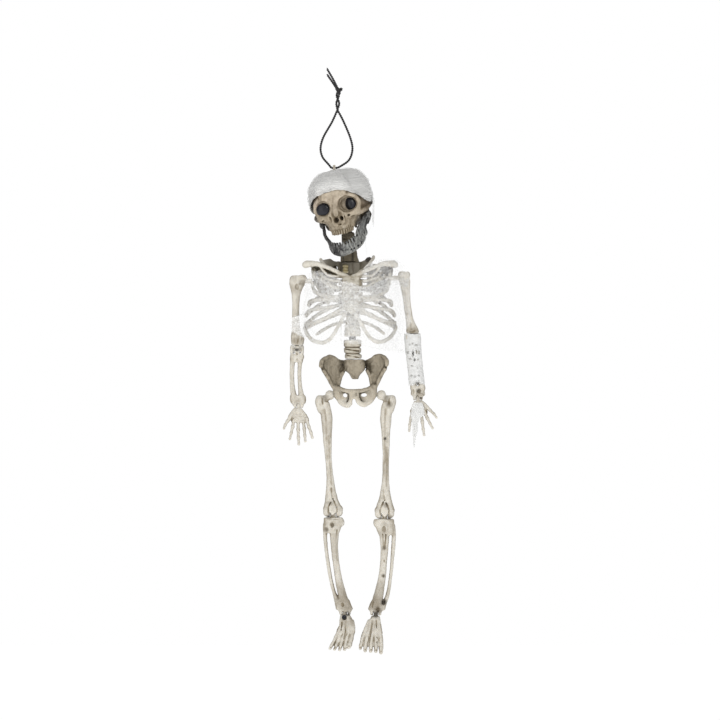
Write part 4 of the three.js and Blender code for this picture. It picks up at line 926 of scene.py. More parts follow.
def skull_teeth(bone):
    """Upper teeth on an arc, and grooves running up the gum between them."""
    pitch = 13.2
    for i in range(-6, 6):
        angle = math.radians(pitch * (i + 0.5))
        x, y = 8.55 * math.sin(angle), -17.4 - 8.9 * math.cos(angle)
        z = -26.7 + 1.5 * (1 - math.cos(angle)) + (0.25 if i % 2 else 0)
        bone.box((x, y, z), (0.88, 0.95, 2.05), 0.55, 0.25,
                 turn=rotation(rz=math.degrees(angle)))
    for i in range(-6, 7):
        angle = math.radians(pitch * i)
        x, y = 9.1 * math.sin(angle), -17.4 - 9.5 * math.cos(angle)
        bone.tube([(x * 0.98, -22.4, y * 0.985, 0.28), (x, -24.6, y, 0.42),
                   (x, -28.6 + 1.2 * (1 - math.cos(angle)), y, 0.5)], 0.3, CUT)
    bone.pit((0, -14.5, -30), (6.4, 8.4, 8), 1)                      # palate
    bone.pit((0, -2, -31), (9, 9, 9), 1.5)


def skull_joints(bone):
    bone.box((0, 6, -22), (3.4, 8.5, 8), 0.6, 0.3, CUT)              # slot for the neck tongue
    for side in (-1, 1):
        bone.box((side * 5.2, 6, -17.8), (1.5, 4.4, 5), 1.2, 0.8)
        bone.box((side * 24.3, 1, -19.5), (6.4, 7.5, 7.2), 1.2, 0.3, CUT)
        bone.box((side * 22.6, -2, -18.2), (8.2, 6.6, 5.4), 1.6, 0.6, CUT)   # for the jaw discs
    bone.axle((0, NOD_Y, NOD_Z), 12, NOD_HOLE, 0.2, CUT)


def skull_sutures(bone):
    """Wavering lines scribed across the vault and back from its middle."""
    rng = RNG(4)
    across = zip(np.linspace(-21, 21, 34), 6 + rng.uniform(-0.9, 0.9, 34))
    back = zip(rng.uniform(-0.9, 0.9, 18), np.linspace(7, 25, 18))
    lines = [
        [(x, 23.8 * math.sqrt(max(0, 1 - (x / 23.5) ** 2 - (y / 27.8) ** 2)), y, 0.3)
         for x, y in across],
        [(x, 23.8 * math.sqrt(max(0, 1 - (y / 27.8) ** 2)), y, 0.3) for x, y in back]]
    for stations in lines:
        bone.tube(stations, 0.3, CUT, steps=1, joint=0.1)


def build_skull():
    bone = Field((-26.5, -31, -30), (26.5, 30.5, 26.5), 0.42)
    skull_bones(bone)
    skull_openings(bone)
    skull_teeth(bone)
    skull_joints(bone)
    skull_sutures(bone)
    bone.roughen((0.22, 5, 11), (0.07, 1.6, 12))
    bone_object(bone.keep_side(-3.42, 1), "skull_front_shell", "head", "skull_face", FACE,
                move=head)
    rear = bone.keep_side(-3.18, -1)
    # the hanging lug passes upright through the crown
    inverse = np.linalg.inv(HEAD_TURN)
    centre = inverse @ (np.array([0, 0, -4.0]) - HEAD_CENTRE)
    upward = inverse @ np.array([0, 0, 1.0])
    rear.rod(centre - upward * 9, centre + upward * 9, 1.3, 0.1, CUT)
    bone_object(rear, "skull_rear_shell", "head", "skull_rear", FACE, move=head)


def build_eye(name, centre, half_x, half_z, node):
    """Glossy black cup: a domed disc with a rolled rim and a flat back."""
    rows = []                                   # half width, half height, y
    for i in range(15):
        t = i / 14 * math.pi / 2
        rows.append((half_x * math.sin(t), half_z * math.sin(t), -2.4 * math.cos(t)))
    rows += [(half_x * scale, half_z * scale, y)
             for scale, y in ((1.03, 0.5), (1.0, 1.2), (0.4, 1.3))]
    segments = 56
    verts = []
    for a, b, y in rows:
        for k in range(segments):
            t = TURN * k / segments
            verts.append((centre[0] + a * math.cos(t), centre[1] + y,
                          centre[2] + b * math.sin(t)))
    faces = ring_faces(len(rows), segments, start_cap=False)
    piece = make_object(name, head(verts), faces, GLOSS)
    clean(piece, weld=True)
    register(piece, "head", [node])


# left half of the jaw bow from hinge to chin: x at top, x at bottom, y, top z, bottom z
JAW_BOW = [
    (20.3, 20, 3.2, -16, -19), (19.7, 18.8, 1.2, -14.6, -24.5), (18.6, 17.2, -1.4, -15, -30.5),
    (17.2, 14.9, -4.2, -17.6, -33.6), (15.8, 13.8, -7.2, -22, -36.2),
    (14, 12.7, -10.6, -27, -38.4), (11.8, 10.9, -14.4, -32.4, -40.6),
    (9.2, 8.5, -18.2, -35.4, -42.6), (6, 5.6, -21.4, -36.6, -44.1), (2, 2, -23.7, -37.2, -45)]
# ridges on each side of the jaw: stations, blend
JAW_RIDGES = [
    ([(14.9, -33.8, -4.2, 1.2), (12.4, -38.8, -11.4, 1.3), (7.4, -43, -19.6, 1.4),
      (0.6, -45, -23.8, 1.6)], 0.8),
    ([(15.8, -22, -7.4, 1), (14.8, -25, -8.8, 1.1), (12.6, -31.5, -13, 1.2)], 0.7),
    ([(16.2, -30, -2.6, 0.8), (17.6, -25, 0.2, 0.9), (19.6, -19, 2.4, 1)], 0.7)]


def jaw_skew(verts):
    """The bow hangs slightly askew on its hinge."""
    v = np.array(verts)
    v[:, 0] += (0.12 * np.clip(v[:, 1] - JAW_Y, None, 0)
                - 1.7 * np.exp(-((v[:, 2] + 26.5) / 5.5) ** 2))
    w = (np.clip((-21.5 - v[:, 2]) / 5, 0, 1) * np.clip((v[:, 2] + 40) / 5, 0, 1)
         * np.clip(v[:, 0] / 8, 0, 1))
    v[:, 0] -= 0.25 * w * w * (3 - 2 * w)
    v[:, 2] -= 0.07 * v[:, 0] * np.clip((-22 - v[:, 2]) / 14, 0, 1)
    return head(v)


def build_jaw():
    bone = Field((-24, -28, -48), (24, 7, -12))
    right = [(-x, -low_x, y, top, bottom) for x, low_x, y, top, bottom in JAW_BOW[::-1]]
    for x, low_x, y, top, bottom in spline(JAW_BOW + right, 6):
        bone.cone((x, y, top - 0.9), (low_x, y, bottom + 1), 0.9, 1.1, 0.5)
    bone.ball((0, -24, -43.2), (5.4, 2.3, 2.5), 1.6)                 # chin
    for side in (-1, 1):
        bone.rod((side * 18.8, JAW_Y, JAW_Z), (side * 21.6, JAW_Y, JAW_Z), 3.2, 0.8, rnd=0.7)
        for stations, blend in JAW_RIDGES:
            bone.tube(mirror(side, stations), blend)
        # jagged top edge beside the tooth row, and scored sides
        bone.cone((side * 12.9, -12, -33), (side * 13.2, -11.4, -29), 1.3, 0.35, 0.4)
        bone.cone((side * 11.2, -15, -34), (side * 11.2, -14.6, -31), 1.1, 0.35, 0.4)
        for i in range(5):
            score = [(16.6 - i * 2.2, -34 - i * 1.6, -6.4 - i * 3.3, 0.3),
                     (15.4 - i * 2.2, -37 - i * 1.5, -9 - i * 3.4, 0.38)]
            bone.tube(mirror(side, score), 0.4, CUT, joint=0.15)
        bone.pit((side * 18.9, -0.8, -24), (0.9, 2.6, 4.6), 1.2)
        bone.pit((side * 7, -23, -39.5), (1.1, 1.2, 0.8))
    # lower teeth, then the gaps between them
    pitch = 14.5
    for i in range(-5, 6):
        angle = math.radians(pitch * i)
        x, y = 10.6 * math.sin(angle), -13.2 - 10.6 * math.cos(angle)
        z = -36.3 + 4.6 * (1 - math.cos(angle))
        bone.box((x, y, z), (0.9, 0.85, 1.6), 0.5, 0.25, turn=rotation(rz=math.degrees(angle)))
    for i in range(-5, 5):
        angle = math.radians(pitch * (i + 0.5))
        x, y = 11.4 * math.sin(angle), -13.2 - 11.5 * math.cos(angle)
        z = -36.3 + 4.6 * (1 - math.cos(angle))
        bone.cone((x, y, z - 2.4), (x, y, z + 1.8), 0.35, 0.5, 0.3, CUT)
    bone.axle((0, JAW_Y, JAW_Z), 24, JAW_HOLE, 0.1, CUT)
    bone.roughen((0.2, 3, 21), (0.09, 1.1, 22))
    bone_object(bone, "jaw_bow", "jaw", "jaw", JAW, jaw_skew)


def build_hang_lug():
    bone = Field((-2, -3.2, -11), (2, 3.2, 0.5), 0.2)
    bone.box((0, 0, -2.5), (1.1, 2.7, 2.5), 0.8, 0.2)
    bone.rod((0, 0, -4.8), (0, 0, -9.8), 0.9, 0.5)
    bone.rod((0, 0, -4.9), (0, 0, -5.3), 1.5, 0.3)
    bone.axle((0, 0, -2.2), 3, 1.25, 0.35, CUT)
    bone.roughen((0.04, 0.8, 3))
    bone_object(bone, "hang_lug", "head", "hang_eye")


build_skull()
build_eye("eye_cup_r", (-11.3, -20.4, -5.3), 6.3, 6.0, "eye_r")
build_eye("eye_cup_l", (11.3, -17.4, -5.5), 4.4, 6.0, "eye_l")
build_jaw()
for sign, side in ((-1, "r"), (1, "l")):
    inner, outer = head([(sign * 15.9, JAW_Y, JAW_Z), (sign * 22.3, JAW_Y, JAW_Z)])
    rivet("jaw_rivet_" + side, "jaw_pin_" + side, "head", inner, outer, 1.25, 1.3)
inner, outer = head([(-6.3, NOD_Y, NOD_Z), (6.3, NOD_Y, NOD_Z)])
rivet("nod_rivet", "neck_pin", "head", inner, outer, 1.25, 1.3)
build_hang_lug()


# ------------------------------------------------------------------ cord: two-ply twisted string
def join(parts):
    verts, faces = [], []
    for part_verts, part_faces in parts:
        base = len(verts)
        verts.extend(part_verts)
        faces += [tuple(k + base for k in face) for face in part_faces]
    return np.array(verts), faces


def sweep(centre, normal, binormal, radius, segments):
    angle = TURN * np.arange(segments) / segments
    ring = normal[:, None] * np.cos(angle)[:, None] + binormal[:, None] * np.sin(angle)[:, None]
    verts = (centre[:, None] + radius * ring).reshape(-1, 3)
    return verts, ring_faces(len(centre), segments)


def strand(path, radius, twist, plies=2, segments=8, step=0.35, phase=0.0):
    """Plies laid round a path of (x, y, z); twist is the length of one full turn."""
    curve = spline(path, 24)
    lengths = np.linalg.norm(np.diff(curve, axis=0), axis=1)
    along = np.concatenate([[0], np.cumsum(lengths)])
    count = max(4, int(along[-1] / step))
    place = np.linspace(0, along[-1], count)
    centre = np.stack([np.interp(place, along, curve[:, k]) for k in range(3)], 1)
    tangent = np.gradient(centre, axis=0)
    tangent /= np.linalg.norm(tangent, axis=1, keepdims=True)
    normal = np.zeros_like(centre)
    carried = np.array([0, 1.0, 0])
    for i in range(count):
        carried = carried - tangent[i] * (carried @ tangent[i])
        carried /= np.linalg.norm(carried)
        normal[i] = carried
    binormal = np.cross(tangent, normal)
    offset, ply_radius = (radius * 0.42, radius * 0.62) if plies > 1 else (0, radius)
    parts = []
    for k in range(plies):
        angle = (TURN * (place / twist) + TURN * k / plies + phase)[:, None]
        middle = centre + offset * (normal * np.cos(angle) + binormal * np.sin(angle))
        parts.append(sweep(middle, normal, binormal, ply_radius, segments))
    return join(parts)


# (x, y, z) paths: the loop through the lug, two legs up to the knot, two free ends
CORD_PATHS = [
    [(2.81, 0.9, 45.79), (-1.81, 0.9, 35.48), (-8.83, 0.5, 23.1), (-11.22, 0, 14.02),
     (-9.65, 0, 6.6), (-4.7, 0, 0.58), (-2.2, 0, -2.3), (0, 0, -2.25), (2.2, 0, -2.3),
     (5.2, 0, -1.07), (12.21, 0, 4.12), (15.01, 0, 12.38), (13.45, -0.4, 21.86),
     (7.67, -0.9, 35.89), (2.47, -0.9, 45.79)],
    [(2.81, 0.8, 44.96), (1.81, -0.35, 51.15), (3.8, -0.42, 56.76), (3.96, 0, 62.29)],
    [(2.47, -0.8, 44.96), (4.12, 0.4, 50.9), (2.06, 0.38, 57.09), (3.55, 0, 62.29)],
    [(3.14, -0.8, 62.7), (-0.58, -1.2, 70.12), (-5.69, -1, 78.95)],
    [(2.72, 1.6, 61.88), (-0.99, 1.4, 67.65), (-5.44, 1, 74.08)]]
KNOT_X, KNOT_Z = 3.96, 61.38


def build_cord():
    parts = [strand(path, 0.98 if i < 3 else 0.95, 3.4, phase=i)
             for i, path in enumerate(CORD_PATHS)]
    knot = []                                   # overhand knot: a trefoil pulled tight
    for i in range(0, 61, 2):
        t = TURN * i / 60
        knot.append((KNOT_X + 1.35 * (math.sin(t) + 1.15 * math.sin(2 * t)) * 0.82,
                     0.1 - 1.15 * math.sin(3 * t) * 0.9,
                     KNOT_Z + 1.45 * (math.cos(t) - 1.15 * math.cos(2 * t)) * 0.9))
    parts.append(strand(knot, 1.08, 3.0, step=0.3))
    rng = RNG(8)
    for path in CORD_PATHS[3:]:                 # frayed ends
        x, y, z = path[-1]
        for _ in range(7):
            dx, dy, dz = rng.uniform(-1.0, 0.6), rng.uniform(-0.5, 0.5), rng.uniform(0.5, 1.2)
            fibre = [(x + dx * 0.15, y, z - 0.4), (x + dx * 0.5, y + dy * 0.5, z + dz * 0.4),
                     (x + dx, y + dy, z + dz)]
            parts.append(strand(fibre, 0.17, 9, plies=1, segments=5))
    piece = make_object("cord_loop_twisted", *join(parts), CORD)
    register(piece, "cord", ["hang_cord"])


build_cord()


# ------------------------------------------------------------------ neck post
POST_X, POST_Y = 12.21, 8


def build_neck():
    bone = Field((-2, -1, -92), (28, 18, -43))
    bone.rod(head((-2.6, NOD_Y, NOD_Z)), head((2.6, NOD_Y, NOD_Z)), 3.2, 0.4)
    bone.cone(head((0, 6, -20)), (11.6, 6.2, -57.75), 2.5, 3.2, 1)
    bone.rings([(11.3, -55.27, 6, 4.6, 3.8), (11.39, -56.92, 6, 5.4, 4.2),
                (11.71, -66, 6.3, 5.4, 4.4), (12.05, -70.95, 7, 6.6, 5),
                (12.21, -79.53, 8, 7, 5.4)], 1.5, power=3.2)
    bone.rod((POST_X, POST_Y, -79.2), (POST_X, POST_Y, -90.75), 3.1, 0.4)
    bone.box((17.99, 5.5, -77.14), (1.5, 2.6, 3.4), 0.8, 1, turn=rotation(ry=-25))
    for x in (6.93, 15.18):                     # moulded seams down the front
        bone.tube([(x, -69.3, 2, 0.7), (x, -75.08, 2.2, 0.8), (x, -80.02, 2.6, 0.8)], 0.3, CUT)
    for z in (-60.64, -64.51, -68.97):          # cross ridges, front and back
        for outer_y, inner_y in ((4.2, 1.9), (8.5, 10.6)):
            bone.tube([(5.61, z, outer_y, 0.5), (8.91, z - 0.5, inner_y, 0.5),
                       (14.27, z - 0.5, inner_y, 0.5), (17.99, z, outer_y, 0.5)], 0.4, CUT)
    bone.rod(head((-8, NOD_Y, NOD_Z)), head((8, NOD_Y, NOD_Z)), NOD_HOLE, 0.1, CUT)
    bone.roughen((0.18, 2.5, 31))
    bone_object(bone, "neck_vertebrae", "neck", "neck_post", NECK)


build_neck()

# ------------------------------------------------------------------ rib cage, parted at y = 0
FRONT_X = 13.28                  # middle of the front shell

# front ribs from the side to the middle, left half: (x, z) places, radius
FRONT_RIBS = [
    ([(41.5, -91.99), (37.79, -94.46), (32.01, -98.17), (26.24, -100.9), (18.81, -102.3)], 1.25),
    ([(44.39, -97.35), (44.06, -101.47), (41.58, -105.1), (35.31, -108.07), (27.89, -109.06),
      (17.99, -109.23)], 1.3),
    ([(47.19, -115.09), (46.86, -112.86), (43.56, -111.87), (34.49, -111.21), (26.24, -111.87),
      (17.99, -113.02)], 1.2),
    ([(49.5, -123.75), (48.1, -121.11), (44.39, -119.62), (36.14, -118.47), (27.89, -116.98),
      (17.99, -115.17)], 1.25),
    ([(49.83, -130.35), (46.04, -129.85), (39.44, -128.2), (30.36, -124.25), (22.11, -119.13),
      (16.34, -117.15)], 1.3),
    ([(50.66, -134.15), (49.01, -138.6), (45.62, -142.72), (40.67, -145.36), (35.31, -145.86),
      (30.36, -143.22), (26.24, -138.1), (22.44, -131.17), (18.4, -123.75), (15.1, -118.8)], 1.3)]
# rim of the neck opening, right (-1) and left (1), as tube stations
NECK_RIM = {
    -1: [(-11.22, -77.71, 0.5, 1.25), (-10.23, -79.53, -3, 1.25), (-7.59, -82.83, -10, 1.15),
         (-4.29, -85.64, -15.5, 1.15), (0.16, -87.95, -18.6, 1.2), (5.61, -89.92, -21.4, 1.3)],
    1: [(32.67, -75.24, 0.5, 1.25), (32.01, -77.05, -3, 1.25), (29.86, -80.35, -10, 1.15),
        (27.39, -83.65, -15.5, 1.15), (24.59, -86.3, -18.6, 1.2), (20.96, -89.1, -21.4, 1.3)]}
COLLAR_BONE = [
    (50.32, -82.34, -6.4, 2.5), (47.27, -81.67, -9, 2.5), (41.09, -81.84, -13.5, 2),
    (34.07, -84.15, -18, 1.65), (27.06, -87.12, -21, 1.65), (20.46, -90.42, -22.6, 1.7),
    (14.69, -92.9, -22.9, 1.7)]
# struts below the collar bone
UPPER_STRUT = [(36.96, -84.97, -16, 1.2), (34.49, -88.27, -17.5, 1), (31.19, -91.57, -18, 1),
               (26.24, -91.99, -20.5, 1.2), (19.64, -92.4, -22, 1.4)]
LOWER_STRUT = [(22.11, -96.2, -21.8, 1.1), (27.89, -95.7, -20, 1.1), (34.9, -92.9, -15.5, 1),
               (37.79, -89.92, -9, 1.1), (38.61, -88.77, -1, 1.2)]
BREAST_BONE = [
    (13.36, -92.23, -22.6, 4.2, 1.3), (13.36, -93.72, -22.9, 6.6, 1.6),
    (13.45, -96.52, -23.3, 7.2, 1.6), (13.53, -104.77, -23.4, 7, 1.6),
    (13.7, -112.2, -23.3, 7.4, 1.6), (13.86, -115.5, -23.2, 6.2, 1.5),
    (14.19, -118.8, -22.8, 3.4, 1.4), (14.52, -123.34, -22.4, 2, 1.1)]


def arc_y(x, end_x, depth, middle_x):
    """Depth of a rib at x, falling to zero just past end_x."""
    width = abs(end_x - middle_x) + 0.35
    return depth * math.sqrt(max(0.0, 1 - min(1.0, abs(x - middle_x) / width) ** 2.2))


def build_ribs_front():
    bone = Field((-29.04, -27, -149.32), (55.11, 0.6, -73.42))
    for side in (-1, 1):
        for k, (places, radius) in enumerate(FRONT_RIBS):
            drop = -0.7 if side < 0 and k >= 4 else 0.0
            rib = []
            for i, (x, z) in enumerate(places):
                y = -22.6 if k == 5 and i > 6 else -arc_y(x, places[0][0], 23.2, FRONT_X)
                rib.append((x, z + drop, y, radius * (1 if i else 0.95)))
            rib = mirror(side, rib, FRONT_X)
            bone.tube(rib, 0.8, stretch=(1, 0.82, 1.22), steps=5)
            # knob where the rib turns round the side, joint of bone and cartilage
            bone.ball((rib[0][0], -1, rib[0][1]), (1.6, 1.8, 2), 1)
            x, z, y, _ = rib[max(1, len(rib) - 3)]
            bone.ball((x, y - 0.3, z), (1.9, 1.2, 1.9), 0.9)
        bone.tube(NECK_RIM[side], 0.8, stretch=(1, 1, 1.05))
        bone.tube(mirror(side, COLLAR_BONE, FRONT_X), 0.9, stretch=(1, 1, 1.05))
        bone.ball((FRONT_X + side * (48.67 - FRONT_X), -7.6, -81.67), (2.8, 2.8, 2.6), 1)
        bone.tube(mirror(side, UPPER_STRUT, FRONT_X))
        bone.tube(mirror(side, LOWER_STRUT, FRONT_X), 0.8, stretch=(1, 0.8, 1.2))
    bone.rings(BREAST_BONE, 1, power=3)
    # raised cartilage bands: z, half width
    middle = 13.53
    for z, half in ((-98.5, 9), (-102.46, 9.4), (-106.1, 9.2), (-109.4, 9.6), (-112.7, 9.4)):
        bone.tube([(middle - half, z, -22.2, 0.85), (middle - half * 0.5, z, -24, 1),
                   (middle, z, -24.3, 0.95), (middle + half * 0.5, z, -24, 1),
                   (middle + half, z, -22.2, 0.85)], 0.7, stretch=(1, 0.7, 1))
    for z in (-94.38, -100.4, -104.28, -111.05):
        bone.tube([(6.44, z, -24.9, 0.5), (middle, z - 0.15, -25.4, 0.62),
                   (20.46, z, -24.9, 0.5)], 0.4, CUT)
    bone.pit((15.35, -25, -94.21), (2, 1.1, 1), 0.5)
    bone = bone.keep_side(-0.17, 1)
    bone.roughen((0.2, 3.2, 41), (0.07, 1.3, 42))
    bone_object(bone, "rib_cage_front_shell", "torso", "ribcage_front", RIBS)


# rear ribs from the spine to the side, left half: (x, z) places, radius
REAR_RIBS = [
    ([(18.81, -84.97), (26.24, -83.98), (34.49, -85.47), (38.61, -88.77)], 1.1),
    ([(18.81, -88.69), (26.24, -87.95), (36.14, -88.6), (41.5, -91.99)], 1.1),
    ([(18.81, -94.71), (26.24, -95.7), (36.96, -96.2), (44.39, -97.35)], 1.2),
    ([(18.81, -101.47), (26.24, -102.8), (36.96, -106.42), (47.19, -115.09)], 1.25),
    ([(18.81, -108.07), (26.24, -109.23), (38.61, -114.26), (49.5, -123.75)], 1.25),
    ([(18.81, -113.85), (26.24, -115.17), (39.44, -121.69), (49.83, -130.35)], 1.25),
    ([(18.81, -121.27), (26.24, -122.6), (39.44, -128.29), (50.66, -134.15)], 1.25),
    ([(18.81, -128.7), (26.24, -130.19), (34.49, -134.15), (41.09, -139.01)], 1.1)]
# the top right rib passes above the hole in the plate
TOP_RIB_RIGHT = [(18.81, -82), (26.24, -80.52), (34.49, -82.83), (38.61, -88.77)]
# outline (x, z) of the plate that closes the neck opening at the back
PLATE = [(-10.48, -78.38), (-7.59, -77.71), (-3.46, -77.14), (-0.58, -78.79), (2.31, -79.61),
         (22.11, -79.61), (25, -78.38), (26.9, -76.15), (29.54, -75.57), (31.19, -77.05),
         (29.54, -83.32), (22.94, -89.1), (8.09, -89.92), (-3.46, -87.86), (-10.06, -81.67)]
# inner and outer edge of the left shoulder blade: x, z, y
BLADE_INNER = [(28.38, -81.67, 14.6), (27.89, -89.92, 14.6), (28.71, -99.82, 14.6),
               (34.16, -112.2, 14.6)]
BLADE_OUTER = [(42.74, -83, 12.6), (45.71, -88.27, 12.6), (44.88, -96.52, 12.6),
               (36.14, -112.61, 12.6)]
# tubes on the left shoulder blade, blend
BLADE_TUBES = [
    ([(45.21, -86.62, 11.6, 1.4), (44.88, -96.52, 12.4, 1.3), (36.14, -112.61, 13, 1.2),
      (33.33, -110.96, 13.8, 1.1), (27.89, -95.7, 15, 1.1)], 0.7),
    ([(28.3, -89.92, 16.6, 1.3), (36.14, -87.12, 16.2, 1.5), (42.74, -84.48, 13, 1.7),
      (46.86, -83.32, 7, 1.8), (48.18, -82.5, 0.6, 1.9)], 0.8),
    # socket block that holds the arm peg
    ([(43.23, -89.1, 13, 1.8), (44.88, -91.16, 8, 2.1), (45.38, -92.9, 2.4, 2.4)], 0.8),
    ([(46.86, -86.3, 5.4, 1.8), (45.38, -92.9, 2.2, 2.3), (44.88, -98.17, 2.4, 1.6)], 0.8)]


def plate_distance(X, Y, Z):
    outline = np.array(PLATE)
    shape = np.broadcast(X, Z).shape
    away = np.full(shape, 1e9)
    inside = np.zeros(shape, bool)
    x, z = np.broadcast_to(X, shape), np.broadcast_to(Z, shape)
    for (ax, az), (bx, bz) in zip(outline, np.roll(outline, -1, 0)):
        ex, ez = bx - ax, bz - az
        t = np.clip(((x - ax) * ex + (z - az) * ez) / (ex * ex + ez * ez), 0, 1)
        away = np.minimum(away, np.hypot(x - ax - t * ex, z - az - t * ez))
        crosses = (az > z) != (bz > z)
        inside ^= crosses & (x < ex * (z - az) / (ez if abs(ez) > 1e-9 else 1e-9) + ax)
    return rounded(0.5, np.where(inside, -away, away), np.abs(Y - 9.6) - 1.7)


def rear_ribs(bone, side):
    for k, (places, radius) in enumerate(REAR_RIBS):
        if side < 0 and k == 0:
            places = TOP_RIB_RIGHT
        end_x = places[-1][0]
        # both ends meet the front ribs, whose middle lies off the spine
        reach = end_x - SPINE_X if side > 0 else end_x - FRONT_X + SPINE_X - FRONT_X
        rib = []
        for i, (x, z) in enumerate(places):
            along = (x - SPINE_X) / (end_x - SPINE_X)
            y = arc_y(x, end_x, 18.6, SPINE_X) if i else 13.6
            if k == 7 and i == len(places) - 1:
                y = 6.5
            drop = -0.7 * along if side < 0 and k >= 5 else 0.0
            rib.append((SPINE_X + side * (along * reach if i else 3.6), z + drop, y, radius))
        bone.tube(rib, 0.9, stretch=(1, 0.85, 1.2), steps=6)
        if k != 7:
            bone.ball((rib[-1][0], 1, rib[-1][1]), (1.6, 1.8, 2), 1)


def rib_spine(bone):
    """Column of vertebrae with back spines, and grooves near its foot."""
    bone.rings([(SPINE_X - 0.4, -80.44, 12, 5.4, 4.6), (SPINE_X, -103.12, 14.2, 4.6, 4.4),
                (SPINE_X, -121.27, 14, 4.6, 4.6), (SPINE_X, -129.53, 11.6, 5.4, 5.2),
                (SPINE_X, -135.3, 9.4, 6.4, 5.8), (SPINE_X, -141.32, SPINE_Y, 6.9, 6.2)],
               1, power=2.6)
    for i in range(14):
        z = -80.44 - 2.6 - i * 4.15
        y = float(np.interp(z, [-141.07, -129.53, -121.27, -103.12, -80.02],
                            [9, 11.6, 14, 14.2, 12]))
        half = float(np.interp(z, [-141.07, -129.53, -103.12, -80.02], [7.4, 6.4, 5.6, 6.2]))
        bone.ball((SPINE_X, y, z), (half, 5.4, 1.45), 0.7)
        if z > -129.53 and not -124.57 < z < -98.17:
            bone.tube([(SPINE_X, z, y + 3, 1.1), (SPINE_X, z - 1.4, min(y + 6, 19), 0.8)])
    for z in (-135.71, -138.76):
        bone.tube([(SPINE_X + dx, z, y, 0.55)
                   for dx, y in ((-8, 6.5), (-4.5, 3), (0, 1.9), (4.5, 3), (8, 6.5))], 0.4, CUT)


def neck_plate(bone):
    x, z = np.array(PLATE).T
    bone.put(plate_distance, (x.min(), 7.6, z.min()), (x.max(), 11.6, z.max()), 0.8, ADD)
    bone.rod((0.91, 4, -84.81), (0.91, 21, -84.81), 1.8, 0.4, CUT)
    bone.box((SPINE_X - 1.4, 6.4, -84.97), (7.6, 4.2, 5), 1.4, 1.2)
    # seams carried down from the post, and a small vertebra standing in front of it
    for x in (7.42, 15.35):
        bone.tube([(x, -80.02, 2, 0.55), (x, -84.15, 2, 0.55), (x + 0.4, -88.27, 2, 0.55)],
                  0.3, CUT)
    x = 9.24
    for z, half in ((-83.32, 1.8), (-85.8, 1.5), (-88.27, 2.1)):
        bone.ball((x, 2.3, z), (half + 0.6, 2.1, 1.1), 0.6)
        bone.tube([(x - half, z - 0.4, 1.6, 0.5), (x, z, 0.9, 0.6),
                   (x + half, z - 0.4, 1.6, 0.5)], 0.5)


def shoulder_blade(bone, side):
    """Thin triangular plate with a ridge, out to the socket block."""
    axis = 15.51
    onto = axis if side > 0 else 14.02
    inner = spline(mirror(side, BLADE_INNER, axis, onto), 7)
    outer = spline(mirror(side, BLADE_OUTER, axis, onto), 7)
    for (ax, az, ay), (bx, bz, by) in zip(inner, outer):
        middle = ((ax + bx) / 2, 15.4, (az + bz) / 2)
        bone.cone((ax, ay, az), middle, 0.95, 0.85, 0.5)
        bone.cone(middle, (bx, by, bz), 0.85, 1, 0.5)
    for stations, blend in BLADE_TUBES:
        bone.tube(mirror(side, stations, axis, onto), blend)
    bone.ball((onto + side * (43.89 - axis), 3.2, -94.21), (2.6, 2.6, 3.6), 0.9)


def build_ribs_rear():
    bone = Field((-28.21, -2.6, -143.14), (55.11, 21, -73.42))
    for side in (-1, 1):
        rear_ribs(bone, side)
    rib_spine(bone)
    neck_plate(bone)
    for side in (-1, 1):
        shoulder_blade(bone, side)
    # flat on the back of the spine, then the holes for post, waist peg and arm pegs
    bone.box((SPINE_X, SPINE_Y + 10.4 + 6, -111.38), (5.6, 6, 22), 0.3, 0.1, CUT)
    bone.rod((POST_X, POST_Y, -75.9), (POST_X, POST_Y, -93.55), 3.55, 0.1, CUT)
    bone.rod((SPINE_X, SPINE_Y, -130.68), (SPINE_X, SPINE_Y, -146.03), 3.25, 0.1, CUT)
    bone.rod((-33.16, 2, -95.7), (-13.36, 2, -95.7), 2.25, 0.1, CUT)
    bone.rod((41.09, 2, -93.22), (60.89, 2, -93.22), 2.25, 0.1, CUT)
    bone = bone.keep_side(0.17, -1)
    bone.roughen((0.2, 3.2, 43), (0.07, 1.3, 44))
    bone_object(bone, "rib_cage_rear_shell", "torso", "ribcage_rear", RIBS)


build_ribs_front()
build_ribs_rear()
WAIST_Z = -142.89
rivet("waist_peg_turned", "waist_peg", "torso", (SPINE_X, SPINE_Y, WAIST_Z - 7.5),
      (SPINE_X, SPINE_Y, WAIST_Z + 7.5), 2.9)
for side, x, half in (("r", -25.33, 7.3), ("l", 50.57, 8.7)):
    cross_rivet("arm_peg_" + side, "shoulder_peg_" + side, "torso",
                (x, ARM_Y, SHOULDER[side][2]), half, 1.9, material=PALE, slot="dark_bone")

# ------------------------------------------------------------------ lower spine and pelvis
# lumbar column: z, half width, half depth
LUMBAR_ROWS = [
    (-144.29, 6.9, 6.2), (-145.53, 7.3, 6.5), (-148.17, 7.2, 6.4), (-149.57, 7, 6.2),
    (-150.4, 5.9, 5.3), (-151.39, 7, 6.2), (-153.61, 6.9, 6.2), (-154.77, 6.6, 5.9),
    (-155.51, 5.6, 5.1), (-156.5, 6.8, 6.1), (-158.4, 6.9, 6.1), (-159.8, 6.5, 5.8)]


